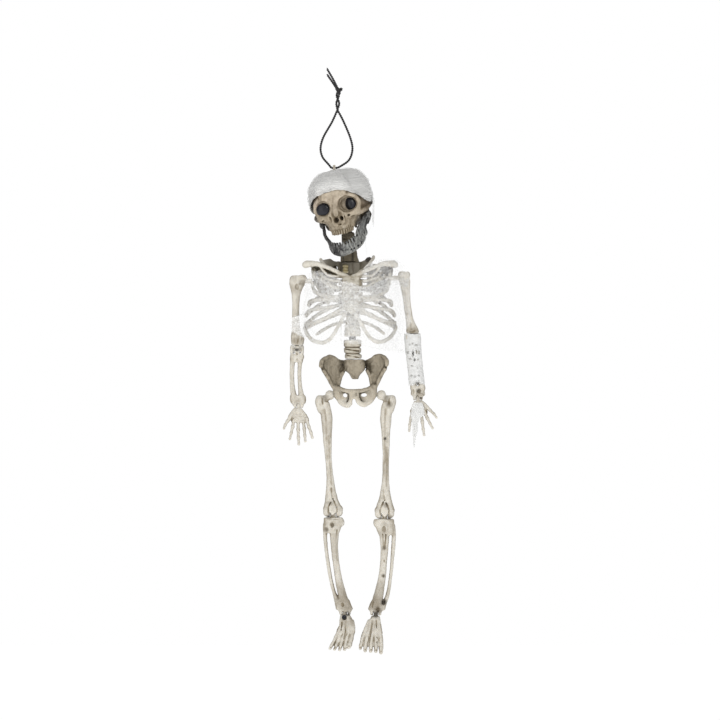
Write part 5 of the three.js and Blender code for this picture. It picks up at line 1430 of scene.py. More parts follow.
def build_lumbar():
    bone = Field((6.44, 0, -160.88), (24.59, 18, -143.55), 0.35)
    bone.rings([(SPINE_X + (0.6 if i > 8 else 0), z, SPINE_Y, half_x, half_y)
                for i, (z, half_x, half_y) in enumerate(LUMBAR_ROWS)], 0.4, power=2.8)
    for z in (-147.67, -152.62, -157.57):
        bone.tube([(15.35, z, 13.5, 1.3), (15.35, z - 1.2, 16.6, 0.9)])
    for z, tilt in ((-152.79, 0.9), (-157.9, 1.1)):
        bone.tube([(9.41, z + tilt, 4.6, 0.4), (14.69, z, 2.5, 0.5),
                   (20.96, z - tilt, 4.4, 0.4)], 0.6, CUT, joint=0.2)
    bone.rod((SPINE_X, SPINE_Y, -141.07), (SPINE_X, SPINE_Y, -152.3), 3.25, 0.1, CUT)
    bone.roughen((0.16, 2.2, 51))
    bone_object(bone, "lumbar_vertebrae", "pelvis", "lumbar_spine", LUMBAR)


# pelvic wings, centre to side: crest x, z, y, lower edge x, z, y
WING_RIGHT = [
    (7.67, -162.52, 10.5, 7.59, -169.95, 9), (4.79, -162.2, 9.6, 5.28, -174.9, 6.5),
    (1.81, -160.71, 7.2, 3.8, -180.67, 2.5), (-0.99, -158.9, 4.6, 2.47, -184.8, 0.2),
    (-3.14, -158.07, 2, 1.49, -185.62, -0.6), (-5.94, -158.9, -1.8, -0.49, -183.15, -0.8),
    (-8.74, -160.38, -5.2, -3.14, -179.02, -1), (-10.39, -162.52, -7.6, -5.94, -174.07, -2.6),
    (-10.89, -165.82, -8.6, -8.74, -169.62, -6.4)]
WING_LEFT = [
    (26.65, -162.52, 10.5, 27.22, -169.62, 9), (29.21, -161.53, 9.6, 29.7, -174.9, 6.5),
    (32.01, -159.72, 7.2, 30.86, -180.67, 2.5), (34.49, -157.9, 4.6, 32.01, -184.8, 0.2),
    (37.46, -157.41, 1.6, 32.84, -185.62, -0.6), (40.26, -158.24, -2.2, 35.31, -180.67, -0.8),
    (42.41, -159.88, -5.4, 37.79, -175.72, -1.2), (43.4, -162.2, -7.6, 40.26, -170.77, -3),
    (43.23, -165, -8.6, 42.07, -167.8, -6.6)]
SACRUM = [
    (16.83, -160.3, 9, 7.4, 5.4), (16.83, -161.7, 9, 8.6, 5.6), (16.83, -165.82, 9.6, 8.9, 5.2),
    (16.91, -169.45, 10.6, 8, 4.4), (17.08, -171.93, 11.2, 5.4, 3.6), (17.24, -174.4, 11.4, 3.6, 3),
    (17.41, -176.71, 11, 2.6, 2.2)]
PUBIC_BAR = [
    (1.98, -183.65, -1.6, 2.3), (6.11, -185.3, -5.2, 1.75), (10.56, -186.28, -8.8, 1.6),
    (16.01, -186.78, -10.8, 1.8), (21.61, -186.28, -8.8, 1.6), (27.06, -185.13, -5.2, 1.75),
    (32.51, -183.15, -1.6, 2.3)]
RING_RIGHT = [
    (14.36, -188.43, -10.4, 1.8), (14.36, -192.22, -9.4, 1.9), (13.36, -196.02, -7.8, 1.9),
    (10.89, -198.16, -6.2, 2), (7.42, -196.84, -4.6, 2.1), (4.46, -193.55, -3, 2.3),
    (2.97, -189.42, -2.2, 2.6)]
RING_LEFT = [
    (18.48, -188.43, -10.4, 1.8), (18.97, -192.22, -9.4, 1.9), (20.62, -195.85, -7.8, 1.9),
    (24.26, -197.5, -6.2, 2), (28.05, -196.02, -4.6, 2.1), (30.86, -192.72, -3, 2.3),
    (32.01, -188.92, -2.2, 2.6)]


def pelvis_wing(bone, wing):
    crest = spline([(row[0], row[2], row[1]) for row in wing], 6)
    lower = spline([(row[3], row[5], row[4]) for row in wing], 6)
    for p, q in zip(crest, lower):
        middle = (p + q) / 2
        middle[1] = middle[1] + 2.2 + 0.10 * abs(p[2] - q[2])        # dished in the middle
        points = spline([p, middle, q], 4)
        for a, b in zip(points[:-1], points[1:]):
            bone.cone(a, b, 0.95, 0.95, 0.5)
    for line, radius in ((crest, 1.45), (lower[int(len(lower) * 0.45):], 1.35),
                         (lower[:int(len(lower) * 0.5)], 1.25)):
        bone.tube([(x, z, y, radius) for x, y, z in line], 0.9, steps=1, joint=0.5)


def build_pelvis():
    bone = Field((-14.19, -16, -201.3), (46.04, 17, -154.28))
    for wing in (WING_RIGHT, WING_LEFT):
        pelvis_wing(bone, wing)
    bone.rings(SACRUM, 1, power=3)
    bone.tube([(13.7, -170.11, 4.6, 0.3), (17, -170.28, 3.9, 0.4), (20.3, -170.11, 4.6, 0.3)],
              0.9, CUT)
    for x in (2.97, 31.51):                                          # hip sockets
        bone.ball((x, -0.6, -187.77), (3.9, 5.8, 5.6), 1.8)
    bone.tube(PUBIC_BAR, 1.2)
    for ring in (RING_RIGHT, RING_LEFT):
        bone.tube(ring, 1.2, joint=0.6)
    bone.box((16.34, -10, -189.75), (2.6, 1.9, 3.6), 1.2, 1.2)
    # thin webs set back inside the lower rings, open at the top
    bone.ball((8.75, -4.6, -191.9), (5.4, 1.5, 5.8))
    bone.ball((25.25, -4.6, -191.73), (5.8, 1.5, 5.6))
    bone.ball((9.07, -5, -190.08), (1.7, 9, 1.5), 0.5, CUT, rotation(ry=20))
    bone.pit((24.59, -5, -189.75), (2.5, 9, 1.5), 0.5)
    bone.pit((17.99, -12.6, -189.42), (1, 1.4, 1.4), 0.5)
    bone.pit((16.09, -10, -195.2), (1.5, 6, 2.4), 0.8)
    # sockets cut for the thigh heads and hip pins
    for (x, y, z), inward in ((HIP["r"], 1), (HIP["l"], -1)):
        bone.pit((x, y, z), 4.45, 0.2)
        bone.rod((x - inward * 2, y, z), (x + inward * 14, y, z), HIP_HOLE, 0.1, CUT)
    bone.roughen((0.22, 3, 53), (0.08, 1.2, 54))
    bone_object(bone, "pelvis_bowl", "pelvis", "pelvis", PELVIS)


build_lumbar()
build_pelvis()
# hip pins: how far each reaches towards -X and +X
for side, low, high in (("r", 2.4, 7.6), ("l", 7.6, 2.4)):
    x, y, z = HIP[side]
    rivet("hip_rivet_" + side, "hip_pin_" + side, "pelvis", (x - low, y, z), (x + high, y, z), 1.3)


# ------------------------------------------------------------------ arms
def upper_arm(side, low, high, rows, marks, seed):
    bone = Field(low, high, 0.36)
    bone.rings(rows, 1, power=2.3)
    marks(bone)
    bone.axle(SHOULDER[side], 9, 2.2, 0.15, CUT)
    bone.axle(ELBOW[side], 8, 4.05, 0.3, CUT, rnd=0.2)
    bone.roughen((0.14, 2.6, seed), (0.05, 1.1, seed + 1))
    bone_object(bone, "upper_arm_bone_" + side, "upper_arm_" + side, "humerus_" + side)


def upper_arm_marks_r(bone):
    bone.ball((-26.24, 0.8, -93.72), (3.6, 3.2, 3), 1.2)
    bone.ball((-34.15, 1, -95.7), (2.6, 3.4, 3.4), 1.4)
    bone.pit((-30.69, -3, -100.65), (1.7, 2, 2.6), 0.8)
    bone.pit((-33.66, -2.4, -103.62), (1, 1.2, 1.6), 0.6)
    bone.pit((-27.89, -3, -97.85), (1.4, 1.2, 1), 0.6)
    bone.groove([(-32.34, -105.6, -1.9), (-32.84, -113.02, -1.2), (-32.34, -121.27, -0.9)])
    bone.groove([(-30.36, -111.38, -1.1), (-30.03, -124.57, -0.9), (-30.52, -134.47, -1)], 0.45)
    bone.groove([(-28.71, -138.6, -1.1), (-29.54, -142.72, -1.6), (-30.52, -147.67, -2)], 0.6)
    bone.groove([(-33.16, -140.25, -1.1), (-33.33, -144.38, -1.6), (-32.34, -147.67, -1.9)], 0.55)
    bone.groove([(-25.57, -141.49, -0.3), (-26.89, -144.79, -1.4)])


def upper_arm_marks_l(bone):
    bone.ball((55.44, 1.2, -91.08), (2.6, 3.2, 3.2), 1.2)
    bone.pit((58.41, -2.8, -98.17), (1.4, 1.6, 2.2), 0.8)
    bone.groove([(57.91, -103.12, -1.6), (58.91, -113.02, -0.9), (60.39, -122.92, -0.8)])
    bone.groove([(60.89, -136.78, -1.3), (63.36, -138.27, -1.9), (66.33, -136.95, -1.5)], 0.6)
    bone.groove([(62.7, -129.53, -0.9), (63.36, -135.3, -1.6)])


upper_arm("r", (-38.94, -6, -149.49), (-18.31, 8.5, -88.27), [
    (-29.54, -91.08, 2, 5.6, 3.4), (-30.19, -94.05, 2, 6.6, 4.2), (-30.69, -98.17, 2, 6.4, 4.6),
    (-31.19, -103.12, 2, 4.6, 4), (-31.51, -108.07, 2, 3.4, 3.1), (-31.68, -116.32, 2, 2.9, 2.7),
    (-31.76, -127.88, 2, 3, 2.7), (-31.35, -136.95, 2, 3.7, 2.9), (-30.36, -141.9, 2, 5.3, 3.3),
    (-30.19, -145.2, 2, 5.5, 3.8), (-30.36, -148.5, 2, 4.9, 3.8)], upper_arm_marks_r, 61)
upper_arm("l", (50.99, -6, -139.75), (70.79, 8.5, -84.97), [
    (57.91, -87.95, 2, 3.8, 3.2), (57.91, -90.75, 2, 4.9, 4.2), (58.25, -95.7, 2, 4.6, 4.4),
    (58.91, -102.3, 2, 3.7, 3.6), (59.9, -111.38, 2, 3, 2.9), (60.89, -119.62, 2, 3, 2.7),
    (62.37, -127.88, 2, 3.3, 2.8), (64.02, -133.65, 2, 4.5, 3.2), (64.6, -136.95, 2, 5.2, 3.7),
    (64.68, -139.09, 2, 4.9, 3.8)], upper_arm_marks_l, 63)


def elbow(side):
    """Two thin cheeks of the upper bone, just inside the rounded head of the forearm."""
    x, y, z = ELBOW[side]
    body = "upper_arm_" + side
    bone = Field((x - 6, y - 5, z - 5), (x + 6, y + 5, z + 6.4), 0.3)
    for sign in (-1, 1):
        bone.rod((x + sign * 2, y, z), (x + sign * 3.1, y, z), 3.1, 0.3, rnd=0.4)
        bone.box((x + sign * 2.5, y, z + 2.8), (0.55, 2.3, 2.8), 0.45, 0.4)
    bone.axle(ELBOW[side], 8, ELBOW_HOLE, 0.1, CUT)
    bone.roughen((0.08, 1.6, 65))
    bone_object(bone, "elbow_cheeks_" + side, body, None)
    cross_rivet("elbow_rivet_" + side, "elbow_pin_" + side, body, ELBOW[side], 4.9, 1.25)


for side in "rl":
    elbow(side)


def forearm(side, bars, wrist_rows, marks):
    """Two bars, each (x, z, radius) stations, between the elbow head and the wrist."""
    x, y, z = ELBOW[side]
    wrist_x, _, wrist_z = WRIST[side]
    bone = Field((min(x, wrist_x) - 8.5, y - 5, wrist_z - 3.4),
                 (max(x, wrist_x) + 8.5, y + 5, z + 4), 0.36)
    bone.axle(ELBOW[side], 5.6, 3.75, rnd=1.5)
    bone.box((x, y, z - 4), (5, 2.7, 3.4), 1.4, 0.8)
    bone.rings([(x + 0.2, z - 4.7, y, 5.2, 2.7), (x + 0.1, z - 6.6, y, 5.5, 2.9),
                (x - 0.2, z - 8.6, y, 5, 2.6), (x - 0.2, z - 10.4, y, 4.6, 2.2)], 1, power=2.5)
    for bar in bars:
        bone.tube([(bar_x, bar_z, y, radius) for bar_x, bar_z, radius in bar], 1,
                  stretch=(1, 1.05, 1))
    bone.rings(wrist_rows, 1.4, power=2.4)
    marks(bone)
    for sign in (-1, 1):                        # slots for the cheeks of the upper bone
        bone.rod((x + sign * 1.6, y, z), (x + sign * 3.45, y, z), 4.3, 0.2, CUT)
    bone.pit((x, y - 3.7, z - 3.6), (0.9, 1.8, 1.2))
    bone.axle(WRIST[side], 3.9, 2.7, 0.5, rnd=0.7)
    bone.axle(WRIST[side], 1.75, 2.5, 0.15, CUT)
    bone.box((wrist_x, y, wrist_z - 3), (1.75, 2.6, 3.2), 0.3, 0.15, CUT)
    if side == "l":
        bone.pit((71.28, -0.3, -192.1), (1.6, 1.3, 1))
    bone.axle(WRIST[side], 9, WRIST_HOLE, 0.1, CUT)
    bone.axle(ELBOW[side], 9, ELBOW_HOLE, 0.1, CUT)
    bone.roughen((0.13, 2.4, 66), (0.05, 1.1, 67))
    body = "forearm_" + side
    bone_object(bone, "forearm_bones_" + side, body, body)
    cross_rivet("wrist_rivet_" + side, "wrist_pin_" + side, body, WRIST[side], 3.5, 0.88)


def forearm_marks_r(bone):
    bone.groove([(-34.32, -165, -0.3), (-35.14, -175.72, -0.1), (-34.32, -187.27, -0.4)], 0.4)
    bone.groove([(-28.05, -162.52, -0.3), (-28.54, -175.72, -0.1), (-27.72, -187.27, -0.5)], 0.4)
    bone.pit((-30.69, -0.9, -160.88), (0.9, 0.8, 1.3))
    bone.pit((-29.86, -1.2, -194.37), (1.6, 0.7, 1.6), 0.6)


def forearm_marks_l(bone):
    bone.ball((71.28, -0.6, -190.41), (2.2, 1.4, 2.2), 0.4)
    bone.tube([(68.47, -187.6, -0.8, 0.55), (68.47, -191.07, -1, 0.6),
               (70.12, -193.05, -0.9, 0.55)], 0.4, CUT)
    bone.pit((69.96, -0.6, -186.45), (1.6, 1.2, 1.5), 0.5)
    bone.pit((65.17, -0.6, -186.95), (0.9, 0.9, 1.8), 0.5)


forearm("r", [
    [(-33.49, -157.25, 2.4), (-34.4, -162.52, 1.95), (-34.9, -173.25, 1.8),
     (-34.49, -183.15, 1.9), (-33.16, -191.81, 2.5)],
    [(-27.72, -157.25, 2.4), (-28.21, -162.52, 1.8), (-28.71, -173.25, 1.55),
     (-28.05, -183.97, 1.7), (-26.73, -191.81, 2.5)]],
    [(-30.19, -190.08, 2, 5.6, 2.2), (-29.86, -193.05, 2, 6.6, 2.7),
     (-29.62, -196.02, 2, 6.2, 2.9), (-29.54, -198.82, 2, 4.4, 2.6)], forearm_marks_r)
forearm("l", [
    [(62.21, -147.34, 2.4), (62.21, -152.62, 1.9), (63.36, -164.17, 1.8),
     (64.35, -174.07, 1.9), (65.67, -183.97, 2.5)],
    [(67.98, -147.34, 2.4), (68.47, -152.62, 1.9), (69.96, -165, 1.8),
     (71.11, -174.9, 1.9), (72.6, -183.97, 2.4)]],
    [(68.64, -182.32, 2, 5.2, 2.2), (68.81, -185.62, 2, 5.4, 2.5),
     (69.14, -189.42, 2, 5.7, 2.7), (69.3, -191.9, 2, 4, 2.1)], forearm_marks_l)


def hand(side, low, high, palm, thumb_root, fingers, grooves):
    """Palm with the long bones showing, wrist tongue and five fingers."""
    x, y, z = WRIST[side]
    bone = Field(low, high, 0.3)
    bone.rings(palm, 1, power=2.6)
    bone.tube(thumb_root, 1.2)
    for points, root, tip in fingers:
        curve = bone.digit(points, root, tip, 10, [(0.02, 0.055), (0.38, 0.055), (0.70, 0.055)],
                           0.78, 0.30, 0.35)
        end = curve[-1]
        bone.ball((end[0], end[1] - 0.2, end[2]), (tip * 1.05, tip * 0.9, tip * 1.1), 0.3)
    for points, radius in grooves:
        bone.groove(points, radius)
    bone.axle(WRIST[side], 1.4, 2.1, rnd=0.5)
    bone.box((x, y, z - 2.8), (1.4, 1.5, 2.4))
    bone.axle(WRIST[side], 8, WRIST_HOLE, 0.1, CUT)
    bone.roughen((0.1, 1.8, 68))
    bone_object(bone, "hand_bones_" + side, "hand_" + side, "hand_" + side)


# fingers from the thumb on: (x, z, y) stations, root radius, tip radius
hand("r", (-43.48, -6, -232.65), (-15.01, 5.6, -194.7), [
    (-29.86, -200.64, 2, 3, 1.9), (-29.54, -202.54, 2, 4.2, 2.1),
    (-29.04, -206.25, 1.9, 6.6, 2.1), (-28.21, -210.05, 1.7, 7.4, 2),
    (-28.05, -212.69, 1.5, 7, 1.7)],
    [(-32.84, -202.12, 1.6, 1.3), (-35.64, -206.58, 0.8, 1.7), (-37.45, -210.05, -0.2, 1.35)], [
    ([(-34.98, -205.42, 1), (-38.11, -210.7, -0.2), (-40.26, -214.17, -1.2),
      (-41.41, -217.3, -2.4)], 1.55, 0.95),
    ([(-33.49, -210.38, 0.9), (-34.15, -215.32, -0.2), (-35.31, -220.6, -1.4),
      (-36.55, -226.05, -2.6)], 1.5, 1.0),
    ([(-29.7, -211.2, 0.9), (-29.7, -217.39, -0.2), (-29.54, -224.4, -1.6),
      (-29.2, -230.17, -2.8)], 1.5, 1.15),
    ([(-25.57, -211.2, 0.9), (-24.75, -216.97, -0.2), (-24.25, -222.75, -1.4),
      (-23.76, -227.7, -2.6)], 1.5, 1.05),
    ([(-22.94, -209.22, 0.9), (-21.12, -215.32, -0.2), (-19.3, -220.27, -1.2),
      (-17.99, -224.9, -2.2)], 1.45, 1.1)], [
    ([(-31.19, -205.42, -0.3), (-31.51, -212.85, -1.2)], 0.4),
    ([(-27.39, -205.42, -0.3), (-27.22, -212.85, -1.2)], 0.4),
    ([(-24.59, -205.92, -0.1), (-23.76, -212.02, -1)], 0.4),
    ([(-34.32, -209.22, -0.3), (-30.36, -207.07, -0.4), (-25.24, -207.57, -0.3)], 0.35)])
hand("l", (59.24, -6, -226.88), (87.29, 5.6, -188.51), [
    (69.14, -194.7, 2, 3.2, 1.9), (69.46, -196.68, 2, 4.4, 2.1), (69.8, -200.47, 1.9, 6.4, 2.1),
    (69.96, -203.77, 1.7, 7.2, 2), (69.96, -206.58, 1.5, 6.4, 1.7)],
    [(72.11, -195.52, 1.6, 1.3), (75.24, -198.5, 0.8, 1.5), (77.71, -200.97, -0.2, 1.3)], [
    ([(74.58, -197.67, 1), (78.54, -201.8, -0.2), (82.01, -205.09, -1.2),
      (84.31, -208.23, -2.4)], 1.5, 0.9),
    ([(74.75, -203.77, 0.9), (76.56, -208.23, -0.2), (78.87, -212.85, -1.4),
      (81.18, -217.14, -2.6)], 1.5, 0.95),
    ([(71.61, -204.6, 0.9), (72.6, -211.2, -0.2), (73.42, -217.47, -1.6),
      (74.09, -222.59, -2.8)], 1.5, 1.1),
    ([(67.65, -204.93, 0.9), (67.16, -211.2, -0.1), (66.66, -217.8, -1.3),
      (66.33, -223.57, -2.2)], 1.5, 1.05),
    ([(64.68, -202.95, 0.9), (63.36, -208.23, -0.2), (62.37, -213.67, -1.2),
      (61.88, -219.12, -2.2)], 1.45, 1.0)], [
    ([(70.29, -198, -0.3), (70.46, -205.92, -1.2)], 0.4),
    ([(66.83, -198.82, -0.2), (66.16, -205.92, -1)], 0.4),
    ([(73.1, -198.82, -0.2), (73.76, -204.6, -1)], 0.4)])


# ------------------------------------------------------------------ legs
def femur(side, rows, troch_x, troch_z, pits=()):
    """Thigh bone; rows are its shaft, troch the bump outside the hip."""
    out = -1 if side == "r" else 1
    hip_x, hip_y, hip_z = HIP[side]
    x, _, z = KNEE[side]
    bone = Field((min(hip_x, x, troch_x) - 9.5, -6, z - 6),
                 (max(hip_x, x, troch_x) + 9.5, 6.2, hip_z + 6))
    bone.ball(HIP[side], 3.95, 0.5)
    bone.tube([(hip_x + out, hip_z - 0.6, 1, 2.9),
               ((hip_x + troch_x) / 2, (hip_z + troch_z) / 2 - 1.4, 0.8, 3),
               (troch_x, troch_z - 1.6, 0.6, 3.4)], 1)
    bone.ball((troch_x, 0.5, troch_z - 1.4), (3.6, 3.7, 4.6), 1.4)
    bone.tube([(troch_x + out * 1.2, troch_z + 0.8, 1.2, 1.9),
               (troch_x + out * 0.8, troch_z - 4, 0.4, 2.8),
               (troch_x - out * 0.6, troch_z - 9, 0.2, 2.8)], 1.6)
    bone.rings(rows, 1.6, power=2.2)
    # two condyles with the kneecap moulded in front
    for sign in (-1, 1):
        bone.ball((x + sign * 3.9, 0.2, z + 0.2), (4.2, 4.5, 5.25), 0.9)
    bone.axle(KNEE[side], 7.6, 3.8, 1, rnd=1.6)
    cap_x, cap_z = (x - 0.3 if side == "r" else x), z + 1.4
    bone.ball((cap_x, -3.2, cap_z), (3, 2.1, 5.4), 0.9)
    for sign in (-1, 1):                        # grooves meet in a point above the kneecap
        places = [(cap_x + sign * dx, cap_z + dz) for dx, dz in
                  ((0.3, 8.4), (1.6, 5.8), (3.2, 2.4), (3.5, -1.4), (2.6, -4.6))]
        bone.tube([(px, pz, -4.7 + 0.045 * (px - x) ** 2 + 0.024 * max(0, pz - z) ** 2, 0.42)
                   for px, pz in places], 0.6, CUT, steps=5, joint=0.2)
    bone.groove([(cap_x - 1.2, cap_z + 17.5, -3), (cap_x - 0.8, cap_z + 13, -3.4),
                 (cap_x + 0.2, cap_z + 9, -3.7)], 0.5, 0.7)
    bone.groove([(hip_x + out * 2, hip_z + 3.2, -2.4), (hip_x + out * 3.4, hip_z - 0.5, -2.6),
                 (hip_x + out * 3, hip_z - 4.2, -2.4)])
    bone.groove([(troch_x - out * 1.6, troch_z + 1.6, -2.6),
                 (troch_x - out * 2, troch_z - 4, -3.3)])
    # long shallow flutes on the front of the shaft
    top, bottom = hip_z - 12, z + 22
    shaft = np.array(rows)[::-1]
    for offset, start, end in ((-0.9, top, bottom + 20), (1.1, top - 22, bottom)):
        bone.groove([(float(np.interp(at, shaft[:, 1], shaft[:, 0])) + offset, at,
                      0.1 - float(np.interp(at, shaft[:, 1], shaft[:, 4] - shaft[:, 2])))
                     for at in np.linspace(start, end, 6)], 0.2, 1.4)
    bone.axle(HIP[side], 4.6, HIP_HOLE, 0.1, CUT)
    bone.box((x, 8 - 3.95, z - 4), (2.7, 8, 7.8), 0.3, 0.15, CUT)    # slot open at the back
    bone.axle(KNEE[side], 12, KNEE_HOLE, 0.1, CUT)
    bone.roughen((0.16, 3, 71), (0.05, 1.2, 72))
    for centre, radii in pits:
        bone.pit(centre, radii)
    bone_object(bone, "thigh_bone_" + side, "thigh_" + side, "femur_" + side)


femur("r", [
    (-8.91, -195.52, 0.5, 4.6, 3.9), (-7.42, -199.65, 0.3, 4.4, 3.8), (-6.1, -208.72, 0, 4.7, 3.7),
    (-5.77, -216.97, -0.2, 4.1, 3.5), (-5.53, -226.88, -0.4, 3.5, 3.3),
    (-4.62, -243.38, -0.5, 2.65, 2.9), (-3.79, -253.27, -0.4, 2.7, 2.9),
    (-3.22, -261.52, -0.1, 3.2, 3.1), (-2.72, -268.95, 0, 4.1, 3.4), (-2.14, -276.38, 0, 5.5, 3.7),
    (-1.32, -282.15, 0, 7.2, 4.2), (-0.99, -287.1, 0, 7.4, 4.3)], -11.55, -193.05)
femur("l", [
    (44.71, -195.52, 0.5, 4.6, 3.9), (43.23, -200.47, 0.3, 4.5, 3.8), (42.57, -210.38, 0, 4.6, 3.7),
    (42.57, -220.27, -0.2, 3.6, 3.4), (42.74, -235.12, -0.4, 2.8, 3.1),
    (42.57, -248.32, -0.5, 2.6, 2.9), (42.41, -259.88, -0.2, 2.9, 3), (42.16, -268.12, 0, 3.8, 3.3),
    (41.99, -276.38, 0, 5.4, 3.7), (41.66, -283.8, 0, 7.7, 4.2), (41.58, -288.25, 0, 7.6, 4.3)],
    47.02, -193.05,
    [((40.1, -3.4, -195.69), (1, 1.2, 1)), ((41.99, -3.6, -225.64), (0.6, 0.8, 0.9))])


def shin(side, tibia, fibula, top, bottom, marks):
    """Tibia and fibula are (x, z, radius) stations; top and bottom are rings."""
    x, _, z = KNEE[side]
    ankle_x, ankle_y, ankle_z = ANKLE[side]
    bone = Field((min(x, ankle_x) - 11, -6, ankle_z - 4.6), (max(x, ankle_x) + 11, 6.4, z + 4))
    bone.axle(KNEE[side], 2.3, 3.35, rnd=0.6)
    bone.box((x, 0.4, z - 4.4), (2.3, 2.5, 3), 0.6, 0.6)
    bone.rings(top, 1, power=2.5)
    bone.tube([(px, pz, -0.2, r) for px, pz, r in tibia], 1.4, stretch=(1, 0.98, 1))
    bone.tube([(px, pz, 0.8, r) for px, pz, r in fibula], 1)
    bone.rings(bottom, 1.6, power=2.4)
    bone.axle(ANKLE[side], 4.6, 3.2, 0.8, rnd=1)
    marks(bone)
    bone.box((ankle_x, ankle_y, ankle_z - 3.4), (2.15, 3.2, 4.4), 0.3, 0.15, CUT)
    bone.axle(ANKLE[side], 2.15, 2.9, 0.15, CUT)
    bone.axle(ANKLE[side], 9, ANKLE_HOLE, 0.1, CUT)
    bone.axle(KNEE[side], 9, KNEE_HOLE, 0.1, CUT)
    bone.roughen((0.15, 2.8, 73), (0.05, 1.2, 74))
    bone_object(bone, "shin_bones_" + side, "shank_" + side, "shin_" + side)
    cross_rivet("knee_rivet_" + side, "knee_pin_" + side, "thigh_" + side, KNEE[side], 7, 1.25)
    # the ankle pins are black as painted shade in the ankle gaps
    cross_rivet("ankle_rivet_" + side, "ankle_pin_" + side, "shank_" + side, ANKLE[side], 4.3,
                1.08, material=PIN_SHADE_BLACK)


def shin_marks_r(bone):
    bone.ball((5.94, -0.6, -295.02), (2.4, 3, 3.2), 1)
    bone.ball((-0.49, -4.2, -297.82), (2.2, 1.4, 3), 1.2)
    bone.pit((-1.65, -5, -297), (1.3, 1.2, 2), 0.8)
    bone.pit((-6.27, -4, -300.63), (1, 1.2, 1.5), 0.7)
    bone.groove([(-5.11, -290.73, -4.4), (-2.64, -291.72, -4.7), (3.14, -292.22, -4.3)], 0.35)
    bone.groove([(2.31, -301.12, -3.6), (1.98, -311.02, -3.1), (2.64, -325.88, -2.7)], 0.32, 1)
    bone.pit((6.76, -3.4, -362.67), (1.5, 0.7, 1.5), 0.8)


def shin_marks_l(bone):
    bone.ball((34.81, -0.6, -295.35), (2.4, 3, 3.2), 1)
    bone.ball((41.41, -4.2, -298.65), (2.2, 1.4, 3), 1.2)
    bone.pit((41.58, -3.6, -314.74), (0.8, 1, 0.9))
    bone.pit((40.76, -3.2, -338.83), (0.7, 0.9, 0.8))
    bone.pit((40.84, -2.6, -360.52), (1.4, 3.4, 2.3), 0.5)
    bone.pit((36.14, -3.6, -366.8), (1.3, 1.1, 2), 0.6)
    bone.pit((41.09, -5, -300.63), (1.2, 1.1, 2.6), 0.9)
    bone.groove([(39.93, -304.43, -3.8), (40.59, -311.85, -3.4), (41.25, -315.97, -3.2)], 0.4, 0.8)
    bone.groove([(42.57, -304.43, -3.6), (42.07, -311.85, -3.3), (41.41, -315.97, -3.2)], 0.4, 0.8)
    bone.pit((41.33, -3, -326.53), (0.6, 0.9, 0.8))
    bone.groove([(32.34, -360.52, -2.6), (31.35, -364.65, -2.7)], 0.4, 0.8)


shin("r", [
    (0.16, -297.82, 4.4), (0.16, -305.25, 3.6), (0.16, -313.5, 2.95), (0.99, -323.4, 2.7),
    (2.31, -333.3, 2.65), (3.96, -343.2, 2.95), (6.27, -353.1, 3.4), (8.41, -361.35, 3.9),
    (9.24, -365.47, 3.8)], [
    (-6.76, -297.5, 2.4), (-7.42, -302.77, 1.7), (-7.09, -311.85, 1.5), (-5.44, -325.88, 1.4),
    (-3.14, -339.9, 1.45), (-0.33, -351.78, 1.5), (2.31, -359.37, 2), (4.79, -365.14, 2.4)], [
    (-0.74, -290.73, 0.2, 7.4, 4.6), (-0.66, -292.38, 0.2, 8.1, 4.8),
    (-0.82, -295.35, 0.1, 7.9, 4.6), (-1.49, -299.47, 0, 7, 4.2), (-1.98, -303.6, 0, 5.6, 3.5)], [
    (6.6, -358.46, 0.3, 5.2, 2.8), (7.59, -362.17, 0.4, 6.3, 3.1), (8.41, -366.13, 0.5, 6.9, 3.3),
    (8.83, -367.95, 0.5, 6, 3.1), (9.07, -369.1, 0.8, 5.4, 2.2)], shin_marks_r)
shin("l", [
    (41.41, -298.65, 4.6), (41.41, -306.9, 3.9), (41.41, -316.8, 3.1), (40.67, -328.35, 2.8),
    (39.6, -339.07, 3), (37.79, -348.97, 3.5), (35.97, -358.05, 4.1), (34.81, -365.47, 4.2)], [
    (48.01, -298.15, 2.3), (49.17, -303.6, 1.7), (48.84, -313.5, 1.65), (47.85, -325.88, 1.45),
    (46.7, -338.25, 1.35), (45.05, -349.8, 1.4), (43.23, -357.22, 1.7), (39.44, -365.14, 2.4)], [
    (41.09, -291.97, 0.2, 7.8, 4.6), (41.09, -293.7, 0.2, 8.3, 4.8), (41.41, -297, 0.1, 8, 4.5),
    (42.24, -301.12, 0, 7.2, 4.1), (43.06, -305.25, 0, 5.8, 3.5)], [
    (36.14, -359.29, 0.3, 5, 2.8), (35.31, -363, 0.4, 6.2, 3.1), (34.81, -366.3, 0.5, 6.8, 3.3),
    (34.57, -367.95, 0.5, 5.8, 2.9), (34.49, -369.27, 0.8, 5.2, 2.1)], shin_marks_l)


def foot(side, length, ankle_rows, heel, web, toes, marks):
    x, y, z = ANKLE[side]
    bone = Field((x - 15, -13.5, z - length), (x + 10, 9.5, z + 3.4))
    bone.axle(ANKLE[side], 1.7, 2.45, rnd=0.5)
    bone.box((x, y, z - 3.2), (1.7, 1.7, 2.6))
    bone.rings(ankle_rows, 1, power=2.5)
    bone.ball(heel, (4.6, 3.6, 5.2), 2)
    bone.rings(web, 1.4, power=2.6)
    for points, root, tip in toes:
        curve = bone.digit(points, root, tip, 8, [(0.62, 0.07), (0.86, 0.05)], 0.92, 0.18, 0.5)
        nail = curve[-2]
        bone.pit((nail[0], nail[1] - tip * 0.95, nail[2] + 0.2), (tip * 0.5, 0.45, 0.75), 0.25)
    marks(bone)
    bone.axle(ANKLE[side], 8, ANKLE_HOLE, 0.1, CUT)
    bone.roughen((0.13, 2.2, 75), (0.05, 1, 76))
    bone_object(bone, "foot_bones_" + side, "foot_" + side, "foot_" + side)


PLUG = (8.25, -373.06)                           # x, z of the plug let into the right foot


